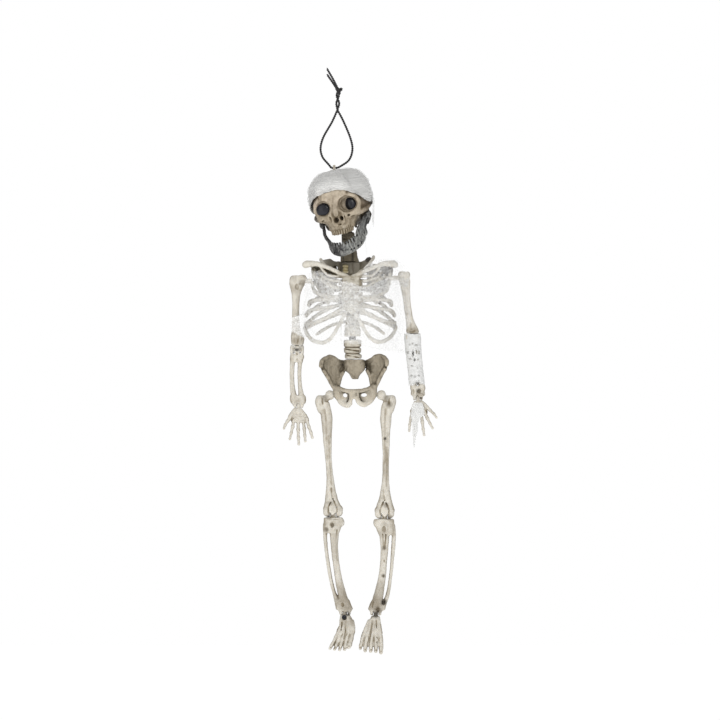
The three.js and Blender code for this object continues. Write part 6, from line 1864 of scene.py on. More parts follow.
def foot_marks_r(bone):
    bone.pit((PLUG[0], -4.4, PLUG[1]), (2.3, 2.6, 2.3), 0.3)
    bone.pit((-0.33, -11.2, -396.99), (1.5, 1.4, 0.7), 0.3)
    bone.pit((3.3, -11.6, -397.32), (1.4, 1.4, 0.7), 0.3)
    bone.groove([(9.41, -376.2, -5), (9.24, -383.62, -6.4), (8.09, -390.22, -8.8)], 0.35, 0.8)
    bone.groove([(6.44, -377.02, -4.2), (5.94, -383.62, -6), (3.14, -391.88, -8.8)], 0.3, 0.8)


def foot_marks_l(bone):
    bone.groove([(31.68, -375.38, -4.6), (30.52, -383.62, -6.4), (29.21, -392.7, -9.4)], 0.32, 0.8)
    bone.groove([(34.81, -375.38, -4.4), (34.81, -384.45, -6.2), (35.15, -393.52, -9.4)], 0.32, 0.8)
    bone.pit((36.46, -11.4, -399.3), (1.6, 1, 0.5), 0.3)
    bone.pit((31.51, -11.8, -399.13), (1.5, 1, 0.5), 0.3)


# toes from -X to +X: (x, z, y) stations, root radius, tip radius
foot("r", 36, [
    (9.24, -370.92, 0.5, 3.6, 2.6), (9.24, -371.91, 0.5, 4.2, 4.2), (9.24, -373.72, 0.4, 4.6, 4.8),
    (10.56, -377.02, 0, 6, 5), (10.72, -381.15, -1.4, 6.2, 4.4), (10.06, -386.1, -3.6, 7.2, 3.4)],
    (10.56, 5, -376.53), [
    (9.24, -380.32, -2.4, 5.6, 2.3), (7.76, -386.92, -4.9, 6.8, 1.9),
    (5.94, -391.88, -7, 7.2, 1.4), (4.62, -396.33, -9.1, 7.2, 0.9)], [
    ([(5.94, -374.96, -2.2), (5.28, -381.15, -4.2), (0.99, -390.22, -7.4),
      (-3.46, -398.47, -10.4)], 1.7, 1.15),
    ([(7.59, -375.38, -2.6), (6.76, -382.8, -5), (3.46, -391.55, -8),
      (0.33, -398.97, -10.8)], 1.6, 1.3),
    ([(9.74, -375.7, -2.8), (9.07, -383.62, -5.4), (6.44, -392.2, -8.2),
      (4.46, -399.3, -10.8)], 1.6, 1.3),
    ([(12.21, -375.87, -2.4), (12.05, -383.62, -5.2), (9.9, -392.2, -8),
      (8.58, -398.97, -10.4)], 1.7, 1.45),
    ([(14.69, -376.53, -1.4), (15.35, -383.62, -4), (13.53, -391.88, -7.2),
      (12.05, -396.99, -9.6)], 2.0, 1.8)], foot_marks_r)
foot("l", 38, [
    (33.99, -372.24, 0.5, 3.7, 4), (33.99, -374.55, 0.4, 4, 4.6), (32.51, -378.67, -0.2, 5.9, 4.8),
    (31.51, -383.62, -2, 7.4, 4.2), (31.02, -388.57, -4.4, 8.4, 3.2)],
    (33.66, 5, -377.02), [
    (33.33, -378.67, -2.2, 5, 2.3), (31.85, -385.27, -4.7, 6.8, 1.9),
    (30.69, -391.88, -7.2, 8.2, 1.4), (30.2, -396.82, -9.4, 9, 0.9)], [
    ([(29.04, -376.2, -1.6), (25.91, -382.8, -3.8), (23.26, -391.05, -7.2),
      (21.45, -398.47, -10)], 1.7, 1.2),
    ([(30.69, -375.05, -2.4), (28.71, -383.3, -5), (26.4, -392.37, -8.2),
      (25.57, -400.12, -10.8)], 1.7, 1.5),
    ([(32.67, -374.55, -2.8), (31.85, -383.3, -5.4), (30.52, -392.7, -8.4),
      (30.03, -400.45, -11)], 1.7, 1.5),
    ([(34.65, -374.55, -2.6), (34.65, -383.3, -5.2), (34.49, -392.7, -8.2),
      (34.32, -400.62, -10.8)], 1.7, 1.45),
    ([(36.3, -375.87, -1.4), (37.46, -383.62, -4), (38.45, -392.7, -7.4),
      (38.53, -401.77, -10.4)], 1.9, 1.6)], foot_marks_l)


def build_foot_plug():
    """Black plug let into the foot: a shallow dome with a bevelled rim."""
    radius, front_y, segments = 2.15, -3.0, 40
    # share of the radius, y behind front_y
    profile = [(0.02, -0.55), (0.4, -0.52), (0.7, -0.38), (0.9, -0.16), (1.0, 0.1), (1.0, 1.0),
               (0.02, 1.1)]
    verts = []
    for share, y in profile:
        for k in range(segments):
            angle = TURN * k / segments
            verts.append((PLUG[0] + radius * share * math.cos(angle), front_y + y,
                          PLUG[1] + radius * share * math.sin(angle)))
    piece = make_object("foot_plug_r", verts, ring_faces(len(profile), segments), GLOSS)
    register(piece, "foot_r")


build_foot_plug()

# ------------------------------------------------------------------ gauze
NOISE_TABLE = RNG(77).uniform(-1, 1, (64, 64))


def smooth_noise(u, v, seed=0):
    """Smooth value noise in two directions, -1 to 1."""
    u, v = np.asarray(u, float) + seed * 7.31, np.asarray(v, float) + seed * 3.17
    i, j = np.floor(u).astype(int), np.floor(v).astype(int)
    a, b = u - i, v - j
    a, b = a * a * (3 - 2 * a), b * b * (3 - 2 * b)

    def at(p, q):
        return NOISE_TABLE[p % 64, q % 64]
    return ((at(i, j) * (1 - a) + at(i + 1, j) * a) * (1 - b)
            + (at(i, j + 1) * (1 - a) + at(i + 1, j + 1) * a) * b)


def layered_noise(u, v, seed):
    """Four octaves of smooth noise."""
    total, weight, weights = 0, 1.0, 0
    for k in range(4):
        total = total + weight * smooth_noise(np.asarray(u) * 2 ** k, np.asarray(v) * 2 ** k,
                                              seed + k)
        weights += weight
        weight *= 0.55
    return total / weights


def gauze_material(name, pitch, cover, dark, light, fuzz, fill_from, broken=0.0):
    """Open-weave cotton of uneven threads; "wv" holds thread place (mm), density, edge fade.

    Pitch is the thread spacing, cover the opacity of threads, fuzz that of loose fibre,
    fill_from where the weave closes up, broken how far gaps in the net open.
    """
    mat = Graph(name)
    u, v, density, fade = mat.attribute("wv")
    wander_u = mat.noise(scale=210, detail=3, rough=0.6)
    wander_v = mat.noise(scale=330, detail=3, rough=0.6)
    patches = mat.noise(scale=70, detail=3, rough=0.6)
    fibre = mat.noise(scale=1500, detail=4, rough=0.65)
    clumps = mat.noise(scale=520, detail=4, rough=0.65)
    masks = []
    for place, wander, swell in ((u, wander_u, wander_v), (v, wander_v, wander_u)):
        across = abs((place / pitch + wander * 1.9).math("FRACT") - 0.5)
        width = density * 0.26 + swell * 0.16 + 0.02
        masks.append((width - across).rise(-0.05, 0.07))
    thread = masks[0].math("MAXIMUM", masks[1])
    fill = (clumps * 0.8 + density * 0.75).rise(fill_from, fill_from + 0.45)
    alpha = (thread * cover).math("MAXIMUM", fill * cover, clamp=True)
    alpha = alpha.math("ADD", fibre * fuzz, clamp=True)
    if broken:
        # strands bunch together and leave gaps a millimetre or two across
        gaps = mat.noise(scale=560, detail=3, rough=0.55, distortion=1.2)
        alpha = alpha & gaps.ramp(0.44, 0.58, 1.0 - broken, 1.0)
        bunches = mat.noise(scale=380, detail=4, rough=0.7).ramp(0.56, 0.70, 0.0, 0.30)
        alpha = alpha.math("ADD", bunches, clamp=True)
    alpha = alpha & (fade + (clumps - 0.5) * 0.9).rise(0.18, 0.55)
    shade = thread * 0.5 + fibre * 0.6 + (patches - 0.5) * 0.5
    normal = mat.bump(thread, distance=0.00025, strength=0.5)
    normal = mat.bump(fibre, distance=0.00015, strength=0.5, under=normal)
    mat.surface(mat.mix(shade.rise(0.1, 0.9), dark, light), fibre.ramp(0.3, 0.7, 0.85, 1.0),
                specular=0.1, normal=normal, Sheen_Weight=0.25, Alpha=alpha)
    mat.material.surface_render_method = "BLENDED"
    return mat.material


VEIL = gauze_material("gauze_veil", pitch=0.80, cover=0.50, dark=srgb(222, 221, 219),
                      light=srgb(250, 250, 249), fuzz=0.07, fill_from=0.56, broken=0.55)
SHEER = gauze_material("gauze_sheer", pitch=0.85, cover=0.30, dark=srgb(224, 224, 223),
                       light=srgb(251, 251, 250), fuzz=0.05, fill_from=0.62, broken=0.50)
WRAP = gauze_material("gauze_wrap", pitch=0.95, cover=0.78, dark=srgb(190, 190, 188),
                      light=srgb(238, 238, 236), fuzz=0.10, fill_from=0.46)
# the cap's threads are greyer than the other gauze's: painted shade, with the bone beneath showing
# through
CAP = gauze_material("gauze_cap", pitch=0.95, cover=0.95, dark=srgb(104, 104, 102),
                     light=srgb(206, 205, 202), fuzz=0.30, fill_from=0.30)
FUZZ = gauze_material("gauze_fuzz", pitch=1.3, cover=0.22, dark=srgb(225, 225, 224),
                      light=srgb(250, 250, 249), fuzz=0.0, fill_from=0.80)


def sheet_grid(u, v):
    return np.meshgrid(u, v, indexing="ij")


def weave(u, v, density, fade):
    return np.stack([u, v, np.clip(density, 0, 1), np.clip(fade, 0, 1)], -1)


def thick_sheet(name, points, threads_at, material, thick, body, nodes, keep=None,
                close_u=False):
    """Thin closed sheet from a grid of points; keep marks the cells that exist."""
    nu, nv = points.shape[:2]
    if keep is None:
        keep = np.ones((nu, nv), bool)
    if close_u:
        along_u = np.roll(points, -1, 0) - np.roll(points, 1, 0)
    else:
        along_u = np.gradient(points, axis=0)
    normal = np.cross(along_u, np.gradient(points, axis=1))
    normal /= np.maximum(np.linalg.norm(normal, axis=2, keepdims=True), 1e-9)
    verts = np.concatenate([(points + normal * thick / 2).reshape(-1, 3),
                            (points - normal * thick / 2).reshape(-1, 3)])
    colours = np.concatenate([threads_at.reshape(-1, 4)] * 2)
    under = nu * nv                             # index shift to the lower layer
    cells_u = nu if close_u else nu - 1
    i, j = sheet_grid(np.arange(cells_u), np.arange(nv - 1))
    a, b = i * nv + j, ((i + 1) % nu) * nv + j
    top = np.stack([a, b, b + 1, a + 1], -1)[keep[:cells_u, :nv - 1]]
    # rim along every open edge
    edges = np.concatenate([top[:, [k, (k + 1) % 4]] for k in range(4)])
    _, inverse, count = np.unique(np.sort(edges, 1), axis=0, return_inverse=True,
                                  return_counts=True)
    rim = edges[count[np.ravel(inverse)] == 1]
    rim = np.stack([rim[:, 1], rim[:, 0], rim[:, 0] + under, rim[:, 1] + under], 1)
    faces = np.concatenate([top, top[:, ::-1] + under, rim])
    used = np.unique(faces)
    renumber = np.full(2 * under, -1)
    renumber[used] = np.arange(len(used))
    piece = make_object(name, verts[used], renumber[faces], material, ("wv", colours[used]))
    return register(piece, body, nodes)


def skull_reach():
    """Largest skull radius in each direction, in a 90 x 45 grid of turn and height angle."""
    shells = []
    for name in ("skull_front_shell", "skull_rear_shell"):
        mesh = bpy.data.objects[name].data
        flat = np.zeros(len(mesh.vertices) * 3)
        mesh.vertices.foreach_get("co", flat)
        shells.append(flat.reshape(-1, 3) * 1000)
    v = (np.concatenate(shells) - HEAD_CENTRE) @ np.linalg.inv(HEAD_TURN).T
    r = np.linalg.norm(v, axis=1)
    i = ((np.arctan2(v[:, 0], -v[:, 1]) + math.pi) / TURN * 90).astype(int) % 90
    j = ((np.arcsin(v[:, 2] / r) + math.pi / 2) / math.pi * 45).astype(int)
    reach = np.zeros((90, 45))
    np.maximum.at(reach, (i, np.clip(j, 0, 44)), r)
    reach = np.maximum.reduce([reach] + [np.roll(reach, shift, 0) for shift in (-1, 1)])
    for _ in range(2):
        reach = (reach + np.roll(reach, 1, 0) + np.roll(reach, -1, 0)) / 3
    for j in range(27, 45):                     # cloth bridges the step above the brow
        reach[:, j] = np.maximum(reach[:, j], reach[:, j - 1] - 0.80)
    return reach


SKULL_REACH = skull_reach()


def skull_push(x, y, z, gap):
    """Factor that lifts a point to at least gap above the skull."""
    r = np.sqrt(x * x + y * y + z * z)
    at_i = (np.arctan2(x, -y) + math.pi) / TURN * 90 - 0.5
    at_j = np.clip((np.arcsin(z / r) + math.pi / 2) / math.pi * 45 - 0.5, 0, 43.999)
    i, j = np.floor(at_i).astype(int), np.floor(at_j).astype(int)
    a, b = at_i - i, at_j - j

    def at(p, q):
        return SKULL_REACH[p % 90, q]
    skull = ((at(i, j) * (1 - a) + at(i + 1, j) * a) * (1 - b)
             + (at(i, j + 1) * (1 - a) + at(i + 1, j + 1) * a) * b)
    short = skull + gap - r
    return (r + 0.5 * (short + np.sqrt(short * short + 0.25))) / r


def cap_edge(angle):
    """Height of the cap's lower edge round the head, front (0) to back, both sides alike."""
    return np.interp(np.abs((angle + math.pi) % TURN - math.pi),
                     [0, 0.5, 0.9, 1.35, 1.75, 2.3, math.pi],
                     [7.3, 5.9, 2.6, -2.8, -6.0, -9.8, -13.5])


def build_cap(name, material, gap, thick, density, nodes, drop, seed, fade_width, hole):
    """Bandage wound over the crown, open round the hanging lug out to radius hole."""
    nu, nv = 240, 110
    angle, share = sheet_grid(np.linspace(0, TURN, nu, endpoint=False), np.linspace(0, 1, nv))
    low = cap_edge(angle) - drop
    low = low - 2.4 * np.exp(-((angle - 1.25) / 0.45) ** 2)          # lower over the left temple
    low = (low - 2.6 * np.exp(-((angle - 0.95) / 0.42) ** 2)
           - 1.0 * np.exp(-((angle - TURN + 1.15) / 0.40) ** 2))
    low = (low + 0.45 * smooth_noise(angle * 5, 0 * angle, seed)
           + 0.25 * smooth_noise(angle * 16, 0 * angle, seed + 2))
    radii = np.array([25.4, 28.9, 24.6]) + gap
    start = np.arcsin(np.clip(low / radii[2], -0.95, 0.95))
    rise = start + (math.radians(88.5) - start) * share ** 0.95
    # squarer than an ellipsoid above the middle, and never inside the skull
    power = 2.0 + 0.75 * np.sin(angle) ** 2
    square = (np.abs(np.cos(rise)) ** power + np.abs(np.sin(rise)) ** power) ** (-1 / power)
    square = np.where(rise > 0, square, 1.0)
    x = radii[0] * np.cos(rise) * np.sin(angle) * square
    y = -radii[1] * np.cos(rise) * np.cos(angle) * square
    z = radii[2] * np.sin(rise) * square
    push = skull_push(x, y, z, 0.1 + gap)
    x, y, z = x * push, y * push, z * push
    # creases run round the head, tilted a little to one side, then to the other
    arc = (rise - start) * 25
    tilt_a, tilt_b = z + 0.10 * x, z - 0.28 * x + 0.1 * y
    crease = (0.60 * layered_noise(tilt_a * 0.85, angle * 1.3, seed + 4)
              + 0.50 * np.abs(layered_noise(tilt_b * 0.6, angle * 1.8, seed + 9))
              + 0.26 * layered_noise(tilt_a * 2.1, angle * 5, seed + 14))
    wobble = 0.8 * smooth_noise(angle * 2, z * 0.1, seed)
    step = 0.35 * np.clip(np.sin(tilt_a * 0.62 + wobble), 0, 1) ** 2
    hem = 0.35 * np.exp(-(arc / 0.9) ** 2)
    gather = (0.9 * np.exp(-((math.radians(90) - rise) * 25 / 6) ** 2)
              * smooth_noise(angle * 6, rise * 3, seed + 20))
    lift = crease + step + hem + gather
    nx, ny, nz = x / radii[0] ** 2, y / radii[1] ** 2, z / radii[2] ** 2
    size = np.sqrt(nx ** 2 + ny ** 2 + nz ** 2)
    points = np.stack([x + lift * nx / size, y + lift * ny / size, z + lift * nz / size], -1)
    density = (density + 0.5 * crease + 0.3 * step
               + 0.25 * layered_noise(x * 0.1, z * 0.13, seed + 30))
    fade = np.clip(arc / fade_width + 0.35, 0, 1)
    placed = head(points.reshape(-1, 3)).reshape(points.shape)
    keep = ~((np.hypot(placed[..., 0], placed[..., 1]) < hole) & (placed[..., 2] > -14))
    keep[:, nv - 1] = False
    thick_sheet(name, placed, weave(angle * 25, arc, density, fade), material, thick, "head",
                nodes, keep, close_u=True)


build_cap("gauze_cap_wound", CAP, gap=0.25, thick=0.45, density=0.75,
          nodes=["gauze_head_wrap"], drop=0.0, seed=1, fade_width=1.0, hole=3.6)
build_cap("gauze_cap_fuzz", FUZZ, gap=1.1, thick=0.2, density=0.45, nodes=[], drop=-1.4,
          seed=5, fade_width=6.0, hole=10.0)

THREAD = mottled("gauze_thread", dict(scale=1800, detail=3),
                 (srgb(228, 228, 226), srgb(252, 252, 251)), roughness=0.95, specular=0.1,
                 bump=dict(distance=0.0001, strength=0.5), Sheen_Weight=0.3)


def threads(name, paths, body, radius):
    """Fine loose threads, each swept along its path with a thinner start and end."""
    parts = []
    for i, path in enumerate(paths):
        path = np.array(path, float)
        tangent = np.gradient(path, axis=0)
        tangent /= np.maximum(np.linalg.norm(tangent, axis=1, keepdims=True), 1e-9)
        normal = np.cross(tangent, [0.31, 0.87, 0.38])
        normal /= np.maximum(np.linalg.norm(normal, axis=1, keepdims=True), 1e-9)
        taper = np.concatenate([[0.5], np.ones(len(path) - 2), [0.3]])[:, None, None]
        own_radius = radius * (0.7 + 0.6 * ((i * 37) % 10) / 10)
        parts.append(sweep(path, normal, np.cross(tangent, normal), own_radius * taper, 5))
    register(make_object(name, *join(parts), THREAD), body)


# chest drape: folds radiate from a gather low on the breast bone
GATHER_X, GATHER_Z = 5.2, -114.26
# depth of the drape across the chest: x, y
DRAPE = np.array([
    (-37.29, -3.4), (-31.51, -4.4), (-26.56, -6.4), (-23.26, -10.4), (-19.96, -14.8),
    (-14.19, -20), (-7.59, -23.8), (-0.99, -26), (5.61, -27), (13.04, -27.2), (21.29, -26.8),
    (27.89, -25.8), (34.49, -23.8), (41.09, -20.2), (46.86, -15.4), (50.99, -10.6),
    (54.29, -6.8), (59.24, -4.6), (64.19, -3.6)])


def drape_y(x):
    """Depth at x, from the table smoothed over 25 of 400 samples."""
    at = np.linspace(0, len(DRAPE) - 1, 400)
    xs, ys = [np.interp(at, range(len(DRAPE)), column) for column in DRAPE.T]
    window = np.hanning(25)
    ys = np.convolve(np.pad(ys, 12, mode="edge"), window / window.sum(), "valid")
    return np.interp(x, xs, ys)


def outline_radius(outline, angle):
    """Farthest crossing of a ray from the gather with a closed outline."""
    dx, dz = math.cos(angle), math.sin(angle)
    farthest = 0
    for p, q in zip(outline, np.roll(outline, -1, 0)):
        ex, ez = q - p
        cross = dx * ez - dz * ex
        if abs(cross) < 1e-9:
            continue
        reach = ((p[0] - GATHER_X) * ez - (p[1] - GATHER_Z) * ex) / cross
        along = ((p[0] - GATHER_X) * dz - (p[1] - GATHER_Z) * dx) / cross
        if reach > 0 and -1e-6 <= along <= 1 + 1e-6:
            farthest = max(farthest, reach)
    return farthest


def polar_drape(name, outline, first, last, node, seed, density_at):
    """Sheet round the gather between two angles (degrees from +X towards +Z)."""
    angles = np.radians(np.linspace(first, last, 260))
    outline = np.array(outline, float)
    edge = np.array([outline_radius(outline, angle) for angle in angles])
    edge = (edge * (1 + 0.015 * smooth_noise(angles * 14, 0 * angles, seed))
            + 0.5 * smooth_noise(angles * 40, 0 * angles, seed + 1))
    angle, share = sheet_grid(angles, np.linspace(0.012, 1, 90))
    r = edge[:, None] * share
    wobble = 0.035 * layered_noise(angle * 5, r * 0.06, seed + 3)    # folds pull sideways too
    x = np.clip(GATHER_X + r * np.cos(angle + wobble), -36.88, 63.77)
    z = GATHER_Z + r * np.sin(angle + wobble)
    height = 0.15 + 0.42 * np.clip(r / 7, 0, 1) * np.exp(-r / 34)
    fold = (np.abs(layered_noise(angle * 5.5, r * 0.06, seed + 5)) * 1.6
            + 0.3 * np.abs(smooth_noise(angle * 15, r * 0.10, seed + 8)))
    crinkle = (0.30 * layered_noise(x * 0.55, z * 0.55, seed + 11)
               + 0.14 * layered_noise(x * 1.6, z * 1.6, seed + 12))
    y = drape_y(x) - height * fold - crinkle - 0.3
    soft = 3.2 + 5.0 * np.clip((z + 101.47) / 9, 0, 1)
    fade = np.clip((1 - share) * edge[:, None] / soft + 0.12, 0, 1)
    density = (density_at(x, z, r) + 0.10 * (fold - 0.6)
               + 0.20 * layered_noise(x * 0.7, z * 0.7, seed + 21)
               + 0.16 * layered_noise(x * 0.2, z * 0.2, seed + 15))
    return thick_sheet(name, np.stack([x, y, z], -1),
                       weave(x + 0.35 * z, z - 0.35 * x, density, fade), VEIL, 0.22, None, [node])


def bell(x, z, centre_x, centre_z, half_x, half_z):
    return np.exp(-(((x - centre_x) / half_x) ** 2 + ((z - centre_z) / half_z) ** 2))


def density_r(x, z, r):
    """Denser at the gather, over the right arm and in a patch above the gather."""
    return (0.26 + 0.26 * np.exp(-(r / 11) ** 2) + 0.55 / (1 + np.exp((x + 24.09) / 1.2)) * 0.9
            + 0.18 * bell(x, z, -0.99, -104.77, 10, 8))


def density_l(x, z, r):
    """Denser at the gather and in two patches, thinner over the left arm."""
    return (0.26 + 0.26 * np.exp(-(r / 11) ** 2) + 0.24 * bell(x, z, 18.81, -127.88, 12, 14)
            + 0.22 * bell(x, z, 14.69, -101.47, 13, 9)
            - 0.16 / (1 + np.exp(-(x - 48.51) / 1.2)))


# outlines (x, z) of the drapes on the figure's right and left
DRAPE_RIGHT = [
    (6.02, -93.64), (-3.46, -89.1), (-12.54, -86.21), (-19.96, -87.86), (-24.59, -94.88),
    (-25.9, -111.38), (-27.39, -123.42), (-31.51, -124.57), (-36.46, -125.9), (-36.79, -136.95),
    (-33.16, -138.6), (-25.74, -142.72), (-20.79, -146.03), (-11.71, -149.74), (-5.11, -151.14),
    (0.66, -149.82), (6.02, -148.17), (14.69, -147.67), (14.69, -94.05)]
DRAPE_LEFT = [
    (4.37, -94.46), (14.69, -96.52), (22.11, -99.82), (29.54, -100.65), (37.79, -95.7),
    (46.04, -91.57), (52.64, -91.25), (63.03, -94.05), (63.52, -111.38), (63.86, -131.17),
    (61.71, -134.47), (57.91, -136.95), (57.26, -148.5), (57.59, -155.92), (50.99, -155.51),
    (34.49, -151.8), (22.94, -148.91), (13.04, -147.67), (4.37, -148.5), (-3.46, -147.67),
    (-3.46, -94.05)]


drape_r = polar_drape("gauze_drape_r", DRAPE_RIGHT, 88, 272, "gauze_chest_r", 31, density_r)
drape_l = polar_drape("gauze_drape_l", DRAPE_LEFT, -90, 90, "gauze_chest_l", 47, density_l)
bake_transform(drape_r)
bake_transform(drape_l)


def build_veil():
    """Loose layer over the left collar bone and shoulder."""
    u, v = sheet_grid(np.linspace(0, 1, 150), np.linspace(0, 1, 110))
    x = 22.11 + u * (62.86 - 22.11)
    top = np.interp(x, [22.11, 26.24, 31.19, 41.09, 50.16, 55.11, 59.24, 62.86],
                    [-88.27, -82.5, -78.79, -76.89, -77.05, -80.02, -83.74, -87.86])
    bottom = np.interp(x, [22.11, 27.89, 34.49, 44.39, 48.51, 54.29, 62.86],
                       [-104.77, -109.72, -109.72, -103.12, -98.17, -100.65, -101.47])
    bottom = bottom + 1.2 * smooth_noise(u * 9, 0 * u, 3) + 0.8 * smooth_noise(u * 30, 0 * u, 4)
    z = top * (1 - v) + bottom * v
    depth = np.interp(x, [22.11, 27.89, 34.49, 41.09, 46.04, 50.16, 53.46, 57.59, 62.86],
                      [-25.6, -23.6, -21.0, -17.2, -14.2, -11.6, -7.8, -5.0, -4.4])
    # falls back over the shoulder near the top edge
    lip = np.clip((z + 81.67) / (81.67 - 76.72), 0, 1)
    y = (depth + 5.0 * lip ** 2
         - 0.55 * np.abs(layered_noise(x * 0.22 + z * 0.1, z * 0.05, 7)) * 2.0
         - 0.28 * layered_noise(x * 0.6, z * 0.6, 8) - 0.3)
    edge = np.minimum(np.minimum(u, 1 - u) * 40, np.minimum(v, 1 - v) * 26)
    density = 0.36 + 0.2 * layered_noise(x * 0.15, z * 0.15, 9) - 0.16 * (x > 46.86)
    return thick_sheet("gauze_shoulder_veil_l", np.stack([x, y, z], -1),
                       weave(x + 0.2 * z, z - 0.2 * x, density, edge / 3.2 + 0.1), SHEER, 0.22,
                       None, ["gauze_veil_l"])


veil = build_veil()
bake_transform(veil)

# sleeve sections: z, centre x, half width, half depth
SLEEVE = np.array([
    (-139.01, 64.51, 6.3, 4.5), (-142.72, 64.68, 6.6, 4.6), (-148.5, 65.01, 6.5, 4),
    (-154.28, 65.51, 6.3, 3.6), (-162.52, 66.33, 6.2, 3.5), (-171.6, 67.32, 6.1, 3.5),
    (-179.85, 68.15, 6.2, 3.7)])
# thin places in its front: x, z, half width, half height; the taller ones are torn through
SLEEVE_HOLES = [
    (62.21, -148.17, 0.5, 0.5), (64.68, -147.51, 0.5, 0.5), (67.65, -148.5, 0.9, 0.6),
    (60.89, -154.6, 0.7, 0.7), (64.93, -155.59, 0.7, 1.8), (67.98, -153.95, 0.5, 1.4),
    (69.8, -154.6, 0.4, 1.1), (62.54, -159.88, 0.9, 0.6), (66.16, -160.55, 0.6, 0.9),
    (69.14, -160.38, 0.5, 0.6), (64.35, -165.82, 0.7, 0.35), (68.81, -167.47, 0.5, 0.35),
    (63.86, -173.91, 0.6, 0.6), (66.66, -174.57, 0.7, 0.6), (69.8, -173.75, 0.6, 0.5),
    (68.64, -181.34, 1.8, 2)]


def build_sleeve():
    """Torn bandage round the left elbow and forearm."""
    angle, share = sheet_grid(np.linspace(0, TURN, 150, endpoint=False), np.linspace(0, 1, 150))
    top = SLEEVE[0, 0]
    level = top + (-181.5 - top) * share
    middle, half_x, half_y = [np.interp(-level, -SLEEVE[:, 0], SLEEVE[:, k]) for k in (1, 2, 3)]
    crease = (0.35 * layered_noise(level * 0.6 + 0.8 * np.sin(angle), angle * 1.2, 51)
              + 0.30 * np.abs(layered_noise(level * 0.33, angle * 2, 52))
              + 0.14 * layered_noise(level * 1.6, angle * 5, 53))
    lift = crease + 0.1
    x = middle + (half_x + lift) * np.sin(angle)
    y = ARM_Y - (half_y + lift) * np.cos(angle)
    ragged = (1.1 * smooth_noise(angle * 3, 0 * angle, 55)
              + 0.7 * smooth_noise(angle * 9, 0 * angle, 56))
    z = level + ragged * (np.clip((share - 0.9) / 0.1, 0, 1)
                          - np.clip((0.06 - share) / 0.06, 0, 1) * 0.5)
    keep = np.ones(z.shape, bool)
    front = np.cos(angle) > 0
    density = 0.62 + 0.35 * crease + 0.15 * layered_noise(x * 0.2, z * 0.2, 57)
    for hole_x, hole_z, a, b in SLEEVE_HOLES:
        away = ((x - hole_x) / a) ** 2 + ((z - hole_z) / b) ** 2
        away = away * (1 + 0.35 * smooth_noise(angle * 20, z * 1.2, 58))
        if b > 0.8:
            keep &= ~(front & (away < 1))
        density = np.where(front & (away < 5.0),
                           density * np.clip((away - 0.4) / 4.6, 0.0, 1), density)
    # scattered holes round the sides and back
    rng = RNG(12)
    for _ in range(26):
        at, hole_z = rng.uniform(0, TURN), rng.uniform(-177.38, -146.03)
        a, b = rng.uniform(0.5, 1.3), rng.uniform(0.5, 1.5)
        if math.cos(at) > 0.2:
            continue
        turn = (angle - at + math.pi) % TURN - math.pi
        away = (turn * 5.5 / a) ** 2 + ((z - hole_z) / b) ** 2
        keep &= ~((away < 1) & (b > 1.0))
        density = np.where(away < 3.0, density * np.clip((away - 0.6) / 2.4, 0.15, 1), density)
    fade = np.minimum(share, 1 - share) * 50 / 2.4 + 0.25
    return thick_sheet("gauze_sleeve_l", np.stack([x, y, z], -1),
                       weave(angle * 6.2, z, density, fade), WRAP, 0.3, None,
                       ["gauze_forearm_l"], keep, close_u=True)


sleeve = build_sleeve()
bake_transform(sleeve)


def build_hand_shred():
    """Shred of gauze over the back of the left hand, drawn out to a point."""
    u, v = sheet_grid(np.linspace(-1, 1, 44), np.linspace(0, 1, 150))
    z = -195.85 + (195.85 - 232.65) * v
    stations = [0, 0.12, 0.27, 0.36, 0.45, 0.62, 0.8, 1.0]
    middle = np.interp(v, stations, [68.81, 69.14, 68.64, 67.32, 66.83, 66.83, 66.16, 65.75])
    half = np.interp(v, stations, [3.6, 5.6, 5.9, 3.9, 2.7, 2.4, 1.3, 0.2])
    x = middle + u * half + 0.35 * smooth_noise(v * 22, u, 60) * half / 4
    y = (np.interp(v, [0, 0.15, 0.35, 0.6, 1.0], [-1.3, -1.7, -2.4, -3.5, -4.9])
         - 0.35 * np.abs(layered_noise(u * 2.4 + v * 3, v * 5, 61)) * 1.6
         - 0.12 * layered_noise(x, z, 62) + 0.35 * u ** 2)
    edge = np.minimum((1 - np.abs(u)) * half, v * 47)
    density = 0.55 + 0.25 * layered_noise(x * 0.3, z * 0.2, 63)
    thick_sheet("gauze_strand_l", np.stack([x, y, z], -1),
                weave(x, z, density, edge / 1.5 + 0.2), WRAP, 0.22, "hand_l",
                ["gauze_hand_strand_l"])


def build_tail():
    """Sheer end of the head bandage hanging beside the left cheek."""
    u, v = sheet_grid(np.linspace(0, 1, 60), np.linspace(0, 1, 70))
    length = (1 - 0.22 * np.abs(smooth_noise(u * 5, 0 * u, 76))
              - 0.10 * np.abs(smooth_noise(u * 17, 0 * u, 77)))
    z = -25.57 + (25.57 - 52.8) * v * length + 0.8 * smooth_noise(u * 8, 0 * u, 71) * v
    x = 31.35 + (33.33 - 31.35) * u + 0.5 * layered_noise(u * 4, v * 3, 72) - (v - 0.45) ** 2
    narrow = 1 - 0.42 * v ** 1.3
    y = 2.0 + (-10.5 + 21 * u) * narrow + 1.3 * layered_noise(u * 3, v * 4, 73)
    sides = np.minimum(np.minimum(u, 1 - u) * 21 * narrow, (1 - v) * 26)
    edge = np.minimum(sides, v * 24)
    density = 0.64 - 0.16 * v + 0.24 * layered_noise(y * 0.3, z * 0.3, 74)
    thick_sheet("gauze_tail_head", np.stack([x, y, z], -1),
                weave(y, z, density, edge / 5 + 0.06), VEIL, 0.22, "head", ["gauze_head_tail"])


build_hand_shred()
build_tail()


